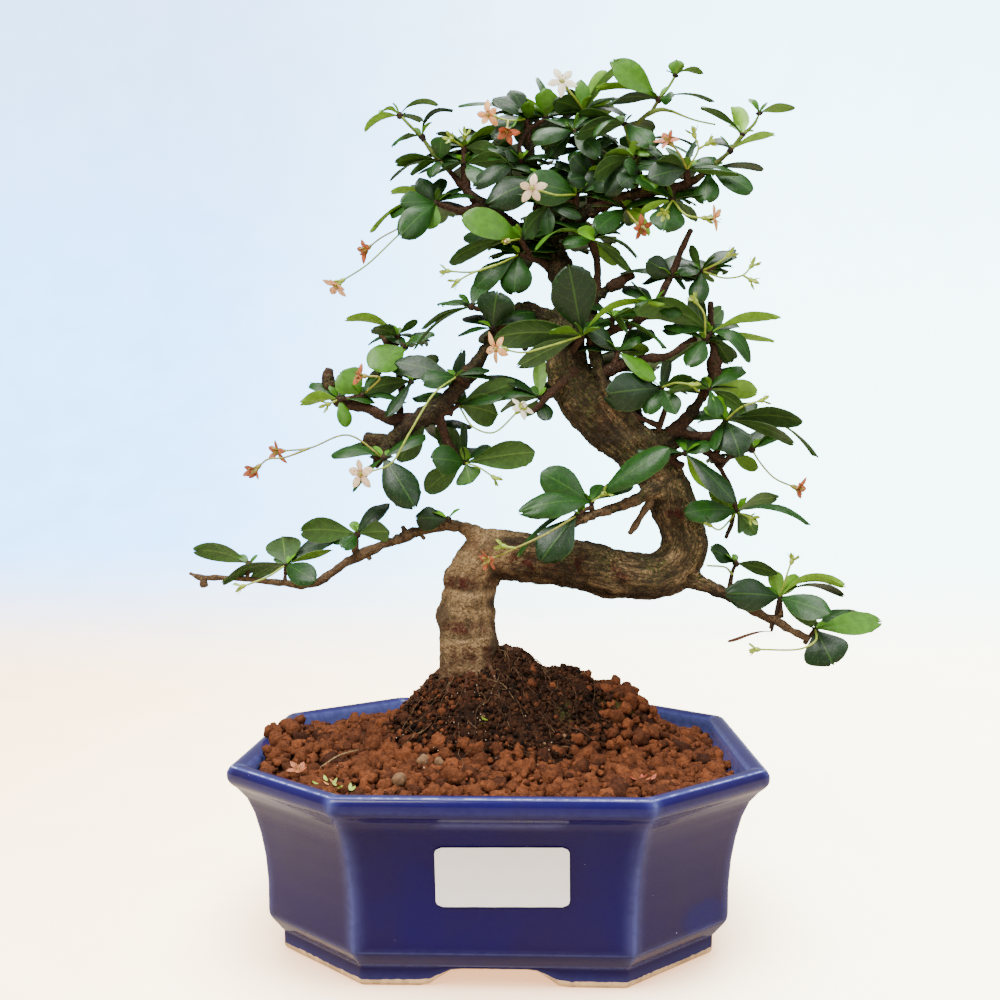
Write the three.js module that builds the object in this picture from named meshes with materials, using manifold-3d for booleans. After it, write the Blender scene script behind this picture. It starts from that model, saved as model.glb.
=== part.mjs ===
import * as THREE from 'three';
import { mergeVertices } from 'three/addons/utils/BufferGeometryUtils.js';
import Module from 'manifold-3d';

// Fukien tea bonsai in a glazed octagonal pot. Millimetres, +Z up, front of the pot towards -Y.
// The tree was measured from the middle of the pot's foot, on the surface that the pot stands on;
// the finished pieces are moved so that the origin lies under the middle of the whole plant's width.

const wasm = await Module();
wasm.setup();

// Clear space between two pieces that touch on the real tree
const SEAT_GAP = 0.3;

// Middle of the plant's width, to the right of the middle of the pot
const PLANT_MIDDLE_X = 14;

// Viewpoint from which the tree was measured
const EYE = new THREE.Vector3(15, -478, 171.5);

// Pot
const RIM_HALF_X = 101;
const RIM_HALF_Y = 97.5;
const RIM_EDGE_HALF_X = 54.6;
const RIM_EDGE_HALF_Y = 52.8;
const POT_HEIGHT = 71;
const FLOOR_TOP = 12.5;
const FOOT_HEIGHT = 6.5;
const FOOT_INSET = 20.3;
const FOOT_WIDTH = 9;
const NOTCH_TOP_HALF = 11.5;
const NOTCH_BOTTOM_HALF = 21.5;
const DRAIN_RADIUS = 8;
const DRAIN_X = 34;
const SCREEN_HALF = 12;
const SCREEN_THICK = 1.2;
const SCREEN_PITCH = 5;
const SCREEN_HOLE_HALF = 3.6;
// Outer profile from the foot up: inset from the rim, height
const OUTER_PROFILE = [
  [FOOT_INSET, 0],
  [FOOT_INSET, 6.6],
  [19.6, 7.6],
  [15.2, 12.6],
  [14.7, 14.6],
  [14.3, 26],
  [13.3, 36],
  [11.7, 44.5],
  [9.5, 52.5],
  [6.9, 58.5],
  [3.4, 62.4],
  [1.4, 64.2],
  [0.3, 65.8],
  [0, 68.2],
  [1.4, 70.3],
  [4, POT_HEIGHT],
  [6.8, 70.3],
  [8.2, 68.2],
];
// Inner profile from the rim down
const INNER_PROFILE = [
  [9.6, 63],
  [13.8, 55],
  [17.6, 46],
  [19.8, 37],
  [21, 26],
  [21.4, FLOOR_TOP],
];

// Label
const LABEL_WIDTH = 46;
const LABEL_HEIGHT = 21.6;
const LABEL_CORNER = 2.4;
const LABEL_THICK = 0.5;
const LABEL_X = 3.2;
const LABEL_Z = 41.4;

// Soil
const SOIL_EDGE_Z = 63.5;
// The bed rises from the wall inwards: start, width and height of the rise
const BED_RISE = { from: 8, over: 45, by: 5.5 };
// Slow ripple of the bed: height, and turns per millimetre in x and y
const BED_RIPPLE = { height: 0.7, x: 0.21, y: 0.24 };
const HUMP_PLATEAU = 1.25;
const SPOKES = 16;
const PLUG_BOTTOM = 20;
const PLUG_CENTRE_X = 16;
const PLUG_CENTRE_Y = 4;
const PLUG_HALF_X = 46;
const PLUG_HALF_Y = 38;
// Waves round the root ball: number, share of its width, turn
const PLUG_WAVES = [[3, 0.06, 1], [5, 0.04, 0]];
// Heights of the rings up the side of the granules and of the root ball
const BED_LEVELS = [26, 37, 46, 55, 60];
const PLUG_TOP_LEVEL = 60;
const CUTTER_TOP = 120;
// Shares of the outline at which the ground's surface has a ring
const GROUND_RINGS = [1, 0.84, 0.68, 0.52, 0.36, 0.2, 0.07];
const GROUND_LIFT = 0.4;

const COLOURS = {
  glaze: 0x1c2350,
  paper: 0xf1efe9,
  mesh: 0x23262a,
  granule: 0x7a4a30,
  humus: 0x2f211b,
  bark: 0x6b5a41,
  leaf: 0x2f5a2a,
  petalWhite: 0xf3ece6,
  petalPeach: 0xe0a580,
};

// Small building blocks

function toManifold(geometry) {
  const bare = new THREE.BufferGeometry();
  bare.setAttribute('position', geometry.getAttribute('position').clone());
  if (geometry.index) bare.setIndex(geometry.index.clone());
  const welded = mergeVertices(bare, 1e-4);
  return new wasm.Manifold(new wasm.Mesh({
    numProp: 3,
    vertProperties: new Float32Array(welded.getAttribute('position').array),
    triVerts: new Uint32Array(welded.index.array),
  }));
}

function toGeometry(solid) {
  const mesh = solid.getMesh();
  const positions = new Float32Array(mesh.numVert * 3);
  for (let vertex = 0; vertex < mesh.numVert; vertex += 1) {
    for (let axis = 0; axis < 3; axis += 1) {
      positions[vertex * 3 + axis] = mesh.vertProperties[vertex * mesh.numProp + axis];
    }
  }
  const geometry = new THREE.BufferGeometry();
  geometry.setAttribute('position', new THREE.BufferAttribute(positions, 3));
  geometry.setIndex(Array.from(mesh.triVerts));
  geometry.computeVertexNormals();
  return geometry;
}

// Solid from rings of equal point count, with a flat fan on each end; one point stands for a tip
function ringSolid(rings) {
  const positions = [];
  const starts = [];
  for (const ring of rings) {
    starts.push(positions.length / 3);
    for (const point of ring) positions.push(point.x, point.y, point.z);
  }
  const indices = [];
  for (let row = 0; row + 1 < rings.length; row += 1) {
    const here = rings[row].length;
    const next = rings[row + 1].length;
    const count = Math.max(here, next);
    for (let side = 0; side < count; side += 1) {
      const after = (side + 1) % count;
      const a = starts[row] + (here === 1 ? 0 : side);
      const b = starts[row] + (here === 1 ? 0 : after);
      const c = starts[row + 1] + (next === 1 ? 0 : after);
      const d = starts[row + 1] + (next === 1 ? 0 : side);
      if (here > 1) indices.push(a, b, c);
      if (next > 1) indices.push(a, c, d);
    }
  }
  closeEnd(indices, starts[0], rings[0].length, true);
  closeEnd(indices, starts[rings.length - 1], rings[rings.length - 1].length, false);
  const geometry = new THREE.BufferGeometry();
  geometry.setAttribute('position', new THREE.Float32BufferAttribute(positions, 3));
  geometry.setIndex(indices);
  return toManifold(geometry);
}

function closeEnd(indices, start, count, first) {
  for (let side = 1; side + 1 < count; side += 1) {
    if (first) indices.push(start, start + side + 1, start + side);
    else indices.push(start, start + side, start + side + 1);
  }
}

function largestPiece(solid) {
  const pieces = solid.decompose();
  return pieces.reduce((best, piece) => (piece.volume() > best.volume() ? piece : best));
}

function joinAll(solids) {
  return wasm.Manifold.union(solids);
}

// A point that is seen at (x, z) on the plane y = 0, moved along the line of sight to another depth
function seen(x, z, depth) {
  const onPlane = new THREE.Vector3(x, 0, z);
  const share = (depth - EYE.y) / (0 - EYE.y);
  return EYE.clone().add(onPlane.sub(EYE).multiplyScalar(share));
}

// Tube with its own radius at each point; grow adds the clear space that a neighbour needs
function taperedTube(points, sides, grow = 0) {
  const centres = points.map(([x, z, depth]) => seen(x, z, depth));
  const last = centres.length - 1;
  const normal = new THREE.Vector3(0, 1, 0);
  const rings = centres.map((centre, index) => {
    const before = centres[Math.max(index - 1, 0)];
    const after = centres[Math.min(index + 1, last)];
    const tangent = after.clone().sub(before).normalize();
    normal.addScaledVector(tangent, -normal.dot(tangent)).normalize();
    const binormal = new THREE.Vector3().crossVectors(tangent, normal);
    const radius = points[index][3] + grow;
    const middle = centre.clone();
    if (index === 0) middle.addScaledVector(tangent, -grow);
    if (index === last) middle.addScaledVector(tangent, grow);
    const ring = [];
    for (let side = 0; side < sides; side += 1) {
      const angle = (side / sides) * 2 * Math.PI;
      ring.push(middle.clone()
        .addScaledVector(normal, radius * Math.cos(angle))
        .addScaledVector(binormal, radius * Math.sin(angle)));
    }
    return ring;
  });
  return ringSolid(rings);
}

// Direction in which the top of a leaf looks: 0 faces the viewer, 90 shows its edge with the top up,
// 180 shows the underside
function bladeNormal(base, tip, face) {
  const axis = tip.clone().sub(base).normalize();
  const toViewer = EYE.clone().sub(base).normalize();
  const front = toViewer.addScaledVector(axis, -toViewer.dot(axis)).normalize();
  const up = new THREE.Vector3().crossVectors(front, axis);
  if (up.z < 0) up.negate();
  const angle = THREE.MathUtils.degToRad(face);
  return front.multiplyScalar(Math.cos(angle)).addScaledVector(up, Math.sin(angle));
}

// Outline of a leaf: share of the length, half width as a share of the width
const BLADE_STATIONS = [
  [0.16, 0.07],
  [0.62, 0.5],
  [0.9, 0.4],
];
const BLADE_THICK = 0.8;
const PETIOLE_HALF = 0.6;
const BLADE_DROOP = 0.06;
const CORE_RADIUS = 2.2;

// Leaf blade from a point at its base to a point at its tip; grow adds clear space all round
function blade(base, tip, normal, width, arch, grow = 0) {
  const axis = tip.clone().sub(base);
  const length = axis.length();
  axis.normalize();
  const side = new THREE.Vector3().crossVectors(axis, normal).normalize();
  const place = (share, across, lift) => base.clone()
    .addScaledVector(axis, length * share)
    .addScaledVector(normal, arch * length * 4 * share * (1 - share) + lift)
    .addScaledVector(side, across);
  const rings = BLADE_STATIONS.map(([share, half]) => {
    const across = Math.max(half * width, PETIOLE_HALF) + grow;
    const fall = -BLADE_DROOP * across - grow;
    return [place(share, -across, fall), place(share, 0, BLADE_THICK + grow), place(share, across, fall)];
  });
  return ringSolid([[base], ...rings, [place(1 + (2 * grow) / length, 0, 0)]]);
}

function core(centre, radius) {
  const ball = new THREE.OctahedronGeometry(radius, 0);
  ball.translate(centre.x, centre.y, centre.z);
  return toManifold(ball);
}

// Cup of five sepals, drawn as a small five-sided spindle
function calyx(centre, direction, length, radius) {
  const axis = direction.clone().normalize();
  const normal = new THREE.Vector3(0, 0, 1).cross(axis);
  if (normal.lengthSq() < 0.01) normal.set(1, 0, 0);
  normal.normalize();
  const binormal = new THREE.Vector3().crossVectors(axis, normal);
  const ring = [];
  for (let sepal = 0; sepal < 5; sepal += 1) {
    const angle = (sepal / 5) * 2 * Math.PI;
    ring.push(centre.clone()
      .addScaledVector(normal, radius * Math.cos(angle))
      .addScaledVector(binormal, radius * Math.sin(angle)));
  }
  const start = centre.clone().addScaledVector(axis, -length / 2);
  const end = centre.clone().addScaledVector(axis, length / 2);
  return ringSolid([[start], ring, [end]]);
}

// Pot

function octagon(inset, z) {
  const slope = new THREE.Vector2(RIM_HALF_Y - RIM_EDGE_HALF_Y, RIM_HALF_X - RIM_EDGE_HALF_X).normalize();
  const reach = slope.x * RIM_EDGE_HALF_X + slope.y * RIM_HALF_Y - inset;
  const halfX = RIM_HALF_X - inset;
  const halfY = RIM_HALF_Y - inset;
  const edgeX = (reach - slope.y * halfY) / slope.x;
  const edgeY = (reach - slope.x * halfX) / slope.y;
  const corners = [
    [halfX, -edgeY], [halfX, edgeY], [edgeX, halfY], [-edgeX, halfY],
    [-halfX, edgeY], [-halfX, -edgeY], [-edgeX, -halfY], [edgeX, -halfY],
  ];
  return corners.map(([x, y]) => new THREE.Vector3(x, y, z));
}

function notchCutter(alongX) {
  const shape = new THREE.Shape();
  shape.moveTo(-NOTCH_BOTTOM_HALF, -1);
  shape.lineTo(NOTCH_BOTTOM_HALF, -1);
  shape.lineTo(NOTCH_TOP_HALF, FOOT_HEIGHT);
  shape.lineTo(-NOTCH_TOP_HALF, FOOT_HEIGHT);
  shape.closePath();
  const reach = 2 * RIM_HALF_X + 20;
  const cutter = new THREE.ExtrudeGeometry(shape, { depth: reach, bevelEnabled: false });
  cutter.translate(0, 0, -reach / 2);
  cutter.rotateX(Math.PI / 2);
  if (alongX) cutter.rotateZ(Math.PI / 2);
  return toManifold(cutter);
}

function drainCutter(x) {
  const cutter = new THREE.CylinderGeometry(DRAIN_RADIUS, DRAIN_RADIUS, 30, 16);
  cutter.rotateX(Math.PI / 2);
  cutter.translate(x, 0, FLOOR_TOP);
  return toManifold(cutter);
}

function potSolid() {
  const outside = OUTER_PROFILE.map(([inset, z]) => octagon(inset, z));
  const inside = INNER_PROFILE.map(([inset, z]) => octagon(inset, z));
  const recessInset = FOOT_INSET + FOOT_WIDTH;
  const recess = ringSolid([octagon(recessInset, -1), octagon(recessInset, FOOT_HEIGHT)]);
  const notches = [notchCutter(false), notchCutter(true)];
  const drains = [drainCutter(-DRAIN_X), drainCutter(DRAIN_X)];
  return ringSolid([...outside, ...inside]).subtract(joinAll([recess, ...notches, ...drains]));
}

function insetAt(profile, z) {
  const rising = [...profile].sort((one, other) => one[1] - other[1]);
  for (let row = 0; row + 1 < rising.length; row += 1) {
    const [inset, low] = rising[row];
    const [nextInset, high] = rising[row + 1];
    if (z >= low && z <= high) return THREE.MathUtils.lerp(inset, nextInset, (z - low) / (high - low));
  }
  return rising[0][0];
}

// The label lies flat against the hollow curve of the front wall, which it meets along two edges
function labelSolid() {
  const shape = new THREE.Shape();
  const halfWidth = LABEL_WIDTH / 2;
  const halfHeight = LABEL_HEIGHT / 2;
  const inner = [halfWidth - LABEL_CORNER, halfHeight - LABEL_CORNER];
  shape.absarc(inner[0], -inner[1], LABEL_CORNER, -Math.PI / 2, 0);
  shape.absarc(inner[0], inner[1], LABEL_CORNER, 0, Math.PI / 2);
  shape.absarc(-inner[0], inner[1], LABEL_CORNER, Math.PI / 2, Math.PI);
  shape.absarc(-inner[0], -inner[1], LABEL_CORNER, Math.PI, 1.5 * Math.PI);
  const label = new THREE.ExtrudeGeometry(shape, { depth: LABEL_THICK, bevelEnabled: false, curveSegments: 4 });
  label.rotateX(Math.PI / 2);
  const lowInset = insetAt(OUTER_PROFILE.slice(4), LABEL_Z - halfHeight);
  const highInset = insetAt(OUTER_PROFILE.slice(4), LABEL_Z + halfHeight);
  const lean = Math.atan2(lowInset - highInset, LABEL_HEIGHT);
  label.rotateX(lean);
  const middleInset = (lowInset + highInset) / 2;
  label.translate(LABEL_X, -(RIM_HALF_Y - middleInset) - SEAT_GAP, LABEL_Z);
  return toManifold(label);
}

// One strip of mesh over both drain holes, laid on the pot's floor, with four openings over each hole
function screenSolid() {
  const bottom = FLOOR_TOP + SEAT_GAP;
  const holes = [];
  for (const centre of [-DRAIN_X, DRAIN_X]) {
    for (const stepX of [-1, 1]) {
      for (const stepY of [-1, 1]) {
        const place = [centre + stepX * SCREEN_PITCH, stepY * SCREEN_PITCH];
        holes.push(box(place, SCREEN_HOLE_HALF, SCREEN_HOLE_HALF, bottom - 1, bottom + SCREEN_THICK + 1));
      }
    }
  }
  return box([0, 0], DRAIN_X + SCREEN_HALF, SCREEN_HALF, bottom, bottom + SCREEN_THICK).subtract(joinAll(holes));
}

function box([x, y], halfX, halfY, low, high) {
  const corners = [[halfX, -halfY], [halfX, halfY], [-halfX, halfY], [-halfX, -halfY]];
  return ringSolid([low, high].map((z) => corners.map(([dx, dy]) => new THREE.Vector3(x + dx, y + dy, z))));
}

// Soil

function smoothStep(value) {
  const share = THREE.MathUtils.clamp(value, 0, 1);
  return share * share * (3 - 2 * share);
}

function hump(x, y, centreX, centreY, reachX, reachY, height) {
  const distance = Math.hypot((x - centreX) / reachX, (y - centreY) / reachY);
  return height * smoothStep(HUMP_PLATEAU * (1 - distance));
}

// Humps of the ground: centre x and y, reach in x and y, height
const HUMPS = [[-7, 2, 54, 50, 30], [43, 12, 38, 42, 21], [4, 0, 17, 17, 8], [-84, -8, 30, 52, 9]];

// Height of the ground at a place in the pot
function groundHeight(x, y) {
  const edge = Math.min(RIM_HALF_X - Math.abs(x), RIM_HALF_Y - Math.abs(y));
  const bed = SOIL_EDGE_Z + BED_RISE.by * smoothStep((edge - BED_RISE.from) / BED_RISE.over);
  const ripple = BED_RIPPLE.height * Math.sin(x * BED_RIPPLE.x + 1) * Math.sin(y * BED_RIPPLE.y);
  const mound = HUMPS.reduce((total, row) => total + hump(x, y, ...row), 0);
  return bed + ripple + mound;
}

// Solid of rings and spokes whose top follows the ground
function groundSolid(outlineAt, levels, inner, lift, centre) {
  const rings = levels.map((z) => outlineAt(z, SPOKES).map(([x, y]) => new THREE.Vector3(x, y, z)));
  const edge = outlineAt(levels[levels.length - 1], SPOKES);
  for (const share of GROUND_RINGS.slice(inner)) {
    rings.push(edge.map(([x, y]) => {
      const px = centre[0] + (x - centre[0]) * share;
      const py = centre[1] + (y - centre[1]) * share;
      return new THREE.Vector3(px, py, groundHeight(px, py) + lift);
    }));
  }
  return ringSolid(rings);
}

function potOutline(z, spokes) {
  const corners = octagon(insetAt(INNER_PROFILE, Math.min(z, 63)) + SEAT_GAP, z);
  const points = [];
  const each = spokes / 8;
  for (let corner = 0; corner < 8; corner += 1) {
    const from = corners[corner];
    const to = corners[(corner + 1) % 8];
    for (let step = 0; step < each; step += 1) {
      points.push([
        THREE.MathUtils.lerp(from.x, to.x, step / each),
        THREE.MathUtils.lerp(from.y, to.y, step / each),
      ]);
    }
  }
  return points;
}

function plugOutline(grow) {
  return (z, spokes) => {
    const points = [];
    for (let spoke = 0; spoke < spokes; spoke += 1) {
      const angle = (spoke / spokes) * 2 * Math.PI;
      const swing = PLUG_WAVES.map(([waves, share, turn]) => share * Math.sin(waves * angle + turn));
      const wobble = swing.reduce((total, part) => total + part, 1);
      points.push([
        PLUG_CENTRE_X + (PLUG_HALF_X * wobble + grow) * Math.cos(angle),
        PLUG_CENTRE_Y + (PLUG_HALF_Y * wobble + grow) * Math.sin(angle),
      ]);
    }
    return points;
  };
}

function soilSolid(plug, trunkSpace) {
  const bottom = FLOOR_TOP + SCREEN_THICK + 2 * SEAT_GAP;
  const bed = groundSolid(potOutline, [bottom, ...BED_LEVELS], 0, 0, [PLUG_CENTRE_X, PLUG_CENTRE_Y]);
  return largestPiece(bed.subtract(plug).subtract(trunkSpace));
}

function plugSolid(grow) {
  const outline = plugOutline(grow);
  const levels = [PLUG_BOTTOM - grow, PLUG_TOP_LEVEL];
  if (grow === 0) return groundSolid(outline, levels, 0, GROUND_LIFT, [PLUG_CENTRE_X, PLUG_CENTRE_Y]);
  return groundSolid(outline, [...levels, CUTTER_TOP], GROUND_RINGS.length, 0, [PLUG_CENTRE_X, PLUG_CENTRE_Y]);
}

// Tree. Each point of wood is x and z as seen on the plane y = 0, depth y, radius.

const TRUNK = [
  [-12, 50, 2, 9], [-13, 74, 2, 15], [-13, 90, 2, 14], [-13.5, 102, 1, 12.4], [-13.8, 112, 0, 12.2],
  [-14, 122, 0, 11.6], [-13, 132, 0, 10.4], [-10.6, 141, 0, 10.6], [-4, 147, 0, 10.8], [6, 147, 0, 10.2],
  [20, 145, 0, 10], [35, 142.3, 0, 10], [50, 138.8, 0, 9.8], [63, 138.6, 0, 9.5], [72.5, 143, 1, 9.8],
  [75.8, 151, 2, 9.8], [73.5, 161, 3, 9.4], [70, 171, 3, 9.6], [65, 181, 3, 9.6], [56, 190, 2, 9.8],
  [46, 199, 1, 10.2], [37, 208, 0, 10.2], [30, 218, 0, 9.6], [27, 229, 0, 8], [28, 241, 1, 7],
  [28.5, 252, 2, 6.6], [25, 264, 3, 6.2], [21.5, 275, 4, 5.6], [18, 288, 5, 4.8], [14.5, 302, 6, 4.2],
  [12.5, 314, 6, 3.4], [11.4, 320, 6, 2.4],
];

const BRANCHES = {
  rootLeft: [[-14, 92, 0, 9], [-24, 82, -10, 6], [-34, 70, -18, 3]],
  rootRight: [[-8, 96, 4, 8], [4, 92, 10, 7], [16, 80, 16, 5], [28, 68, 20, 3]],
  rootFront: [[-12, 92, -3, 9], [-6, 80, -14, 5], [2, 66, -24, 3]],
  lowerLeft: [
    [-4, 150, -2, 5.4], [-11, 156, -4, 4.2], [-18, 159.2, -6, 3], [-24, 159.4, -7, 2.5], [-30, 157.8, -8, 2.1],
    [-37, 156.3, -9, 2.7], [-42, 153.6, -10, 2.2], [-49, 151.3, -11, 2.1], [-57, 147.5, -12, 2.3],
    [-64, 144, -13, 1.9], [-70, 140, -14, 1.8], [-76, 136, -15, 2], [-83, 134, -16, 1.6], [-90, 135, -16, 1.4],
    [-100, 136, -17, 1.3], [-110, 137, -17, 1.2], [-120, 137.4, -18, 1.3], [-126, 137.2, -18, 1.4],
    [-130.5, 139.2, -18, 0.9],
  ],
  lowerLeftSpur: [[-60, 145.8, -12.5, 1.9], [-61, 150, -12, 1.6], [-60.2, 153.4, -12, 1.2]],
  lowerLeftNubOne: [[-39.5, 155, -9, 1.8], [-41, 158.9, -9, 1.1]],
  lowerLeftNubTwo: [[-34.5, 156.5, -9, 1.6], [-31.8, 153.8, -9, 1.1]],
  lowerLeftNubThree: [[-56.5, 147.5, -12, 1.8], [-54.5, 145.2, -12, 1.1]],
  lowerLeftKnob: [[-125, 137.2, -18, 1.4], [-124.3, 133.8, -18, 1.9]],
  lowerLeftSpurMiddle: [[-90.5, 135, -16, 1.2], [-90, 140.6, -16, 0.9]],
  lowerLeftSpurFar: [[-106.5, 136.8, -17, 1.1], [-105.6, 141, -16.6, 0.9]],
  centre: [
    [66, 175, -2, 5], [57, 170.5, -8, 2.9], [50, 167.6, -12, 2.4], [44, 165.6, -15, 2.5], [38, 163.8, -17, 2],
    [32, 161.5, -19, 2.1], [26.5, 159.2, -21, 2.3],
  ],
  centreCut: [[62, 170, -5, 2.2], [57, 161.5, -8, 1.6], [53.4, 156.2, -10, 1.4]],
  lowerRight: [
    [76, 139, -2, 5], [84, 135, -3, 3.2], [90, 132.6, -5, 2.6], [96, 129.8, -6, 2.4], [102, 125.8, -8, 2.3],
    [109, 122, -10, 2], [115, 119.4, -11, 1.9], [121, 115.6, -12, 1.8], [126.5, 112.6, -13, 1.7],
  ],
  lowerRightSpur: [[94, 131, -6, 1.8], [95.2, 136.8, -6, 1.2]],
  lowerRightSpurMiddle: [[112, 120.6, -10, 1.6], [115.8, 123.4, -10, 1.2]],
  lowerRightNub: [[112.5, 119.8, -11, 1.3], [111.3, 117, -11, 0.8]],
  middleLeft: [
    [27, 243, 1, 5.2], [19, 246.4, 1, 4.2], [10, 248.6, 1, 3.8], [3, 245.4, 0, 3.4], [-2.4, 238.4, -1, 3.2],
    [-7.5, 230.6, -3, 3.4], [-12.4, 223.6, -5, 3.7], [-17, 217.4, -7, 3.8], [-22.4, 211.6, -9, 4.2],
    [-29, 206.4, -11, 4.3], [-36, 202.6, -12, 4.4], [-42, 198.2, -13, 4.2], [-46.6, 193.4, -14, 3.9],
    [-50, 188.4, -15, 2.8], [-52.4, 184, -15, 1.9],
  ],
  middleLeftFork: [
    [-37, 202.6, -12, 3.2], [-46, 204, -12, 2.5], [-53.4, 207.4, -12, 2.5], [-60, 209.2, -12, 2.3],
    [-66, 210.8, -12, 2.3], [-70.6, 215, -12, 2.9], [-72.4, 221, -12, 2.7], [-71.6, 224.6, -12, 1.5],
  ],
  middleLeftStump: [[-46, 194, -13, 3.6], [-56.4, 194.8, -12, 3.3]],
  middleLeftSpur: [[-55, 207.6, -12, 1.8], [-57, 210.9, -11.5, 1.2]],
  middleLeftKnob: [[-25.5, 207, -10, 3], [-20.4, 206.4, -9, 1.9]],
  middleLeftDrop: [[-26.4, 206, -10, 2.4], [-24, 199, -8, 2], [-21.8, 193, -6, 1.9], [-17, 187.6, -4, 1.4]],
  middleLeftTwig: [
    [-40, 201, -9, 2.2], [-42.4, 208, -3, 1.7], [-41.4, 216, 1, 1.6], [-43, 225, 3, 1.6], [-44, 233.4, 5, 2.2],
  ],
  middleLeftCut: [[-44, 232.6, 5, 2.2], [-47, 235.6, 5, 1.8], [-50.4, 239.6, 5, 1.7]],
  crownLeft: [
    [22, 270, 4, 5], [12, 278, 6, 4.1], [4, 285, 8, 3.7], [-5, 291, 9, 3.7], [-12, 296.4, 10, 3.4],
    [-17, 302, 10, 2.6], [-21, 306.4, 10, 2],
  ],
  crownLeftLow: [[-8, 292.4, 9, 3], [-15, 290, 8, 2.8], [-21.6, 291.4, 7, 1.8]],
  crownRight: [
    [21, 279, 4, 5], [30, 285.6, 0, 4.1], [40, 291.2, -4, 3.8], [50, 295, -8, 3.4], [61, 297.4, -12, 3.4],
    [70, 298.6, -15, 3.2], [79, 301.6, -17, 2.6], [83.6, 304.6, -18, 2],
  ],
  sideStem: [
    [62, 190, -4, 6], [54, 202, -6, 4.6], [46.5, 212, -8, 3.8], [42, 221, -8, 3.7], [39, 231, -7, 3.4],
    [37.4, 243, -5, 3.4], [38.4, 252.4, -4, 3.4], [45, 257.6, -4, 3], [54.5, 263.4, -4, 2.4],
  ],
  sideStemTwig: [[38.4, 252, -4, 2.8], [40, 261, -4, 2], [39.8, 270, -4, 1.9], [37.4, 276, -5, 1.9], [37.6, 284, -5, 1.5]],
  forkKnob: [[41, 221, -8, 3], [47, 224.6, -9, 2.7], [53, 226.8, -9, 2.2]],
  forkTwig: [[51, 226.6, -9, 2.2], [61, 228.6, -9, 1.9], [70, 230, -9, 1.7], [76, 234, -8, 1.6], [80.4, 236.6, -7, 1.4]],
  crossTwig: [[52, 205.6, -6, 1.8], [59, 203.4, -9, 1.3], [66, 200.2, -6, 1.5]],
  rightKnob: [
    [62, 194, -2, 5], [70, 197.6, -4, 3.2], [76, 202.6, -5, 2.6], [80.6, 208, -5, 2.2], [84.2, 214.6, -5, 2.1],
    [88.4, 221.6, -5, 3], [88, 226.6, -5, 3.4], [88, 231, -5, 1.7], [87, 241, -5, 1.5], [86.6, 251.6, -5, 1.4],
  ],
  rightSpur: [[72, 198.4, -5, 2.4], [80, 196.4, -6, 2], [87.6, 196.8, -6, 1.8], [91, 199.8, -6, 1.4]],
  rightLow: [[66, 192, 0, 4], [76, 194.6, -2, 2.6], [83.6, 191.6, -3, 2], [88.4, 187.8, -4, 1.9], [93, 185.6, -4, 1.7]],
  rightLowStub: [[88.6, 187.8, -4, 1.7], [89.4, 190.9, -4, 1.4]],
  rightShort: [[69, 186.6, -3, 2.2], [75.4, 184.2, -5, 1.8]],
  rightThin: [[67, 187, -4, 1.6], [73.6, 188.6, -6, 1]],
  rightDrop: [[86, 190, -3, 1.5], [92.6, 180, 1, 1.2], [96, 171.4, 0, 1.1], [97, 168, -1, 1]],
  rightDropCut: [[96.8, 168.6, -1, 1], [95.6, 161, -1, 1], [93, 154.2, -2, 0.9]],
  frontTwig: [[31, 224, -8, 2.2], [22, 215.4, -10, 1.6], [13.6, 207, -10, 1.3]],
};

// Shoots. A stem is a list of wood points. A rosette is its heart, then one row for each leaf:
// x and z of the tip as seen, its depth, width, face in degrees, arch as a share of the length.
// A stalk is the wood points of a flower stalk; each stalk ends in a calyx.

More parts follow.
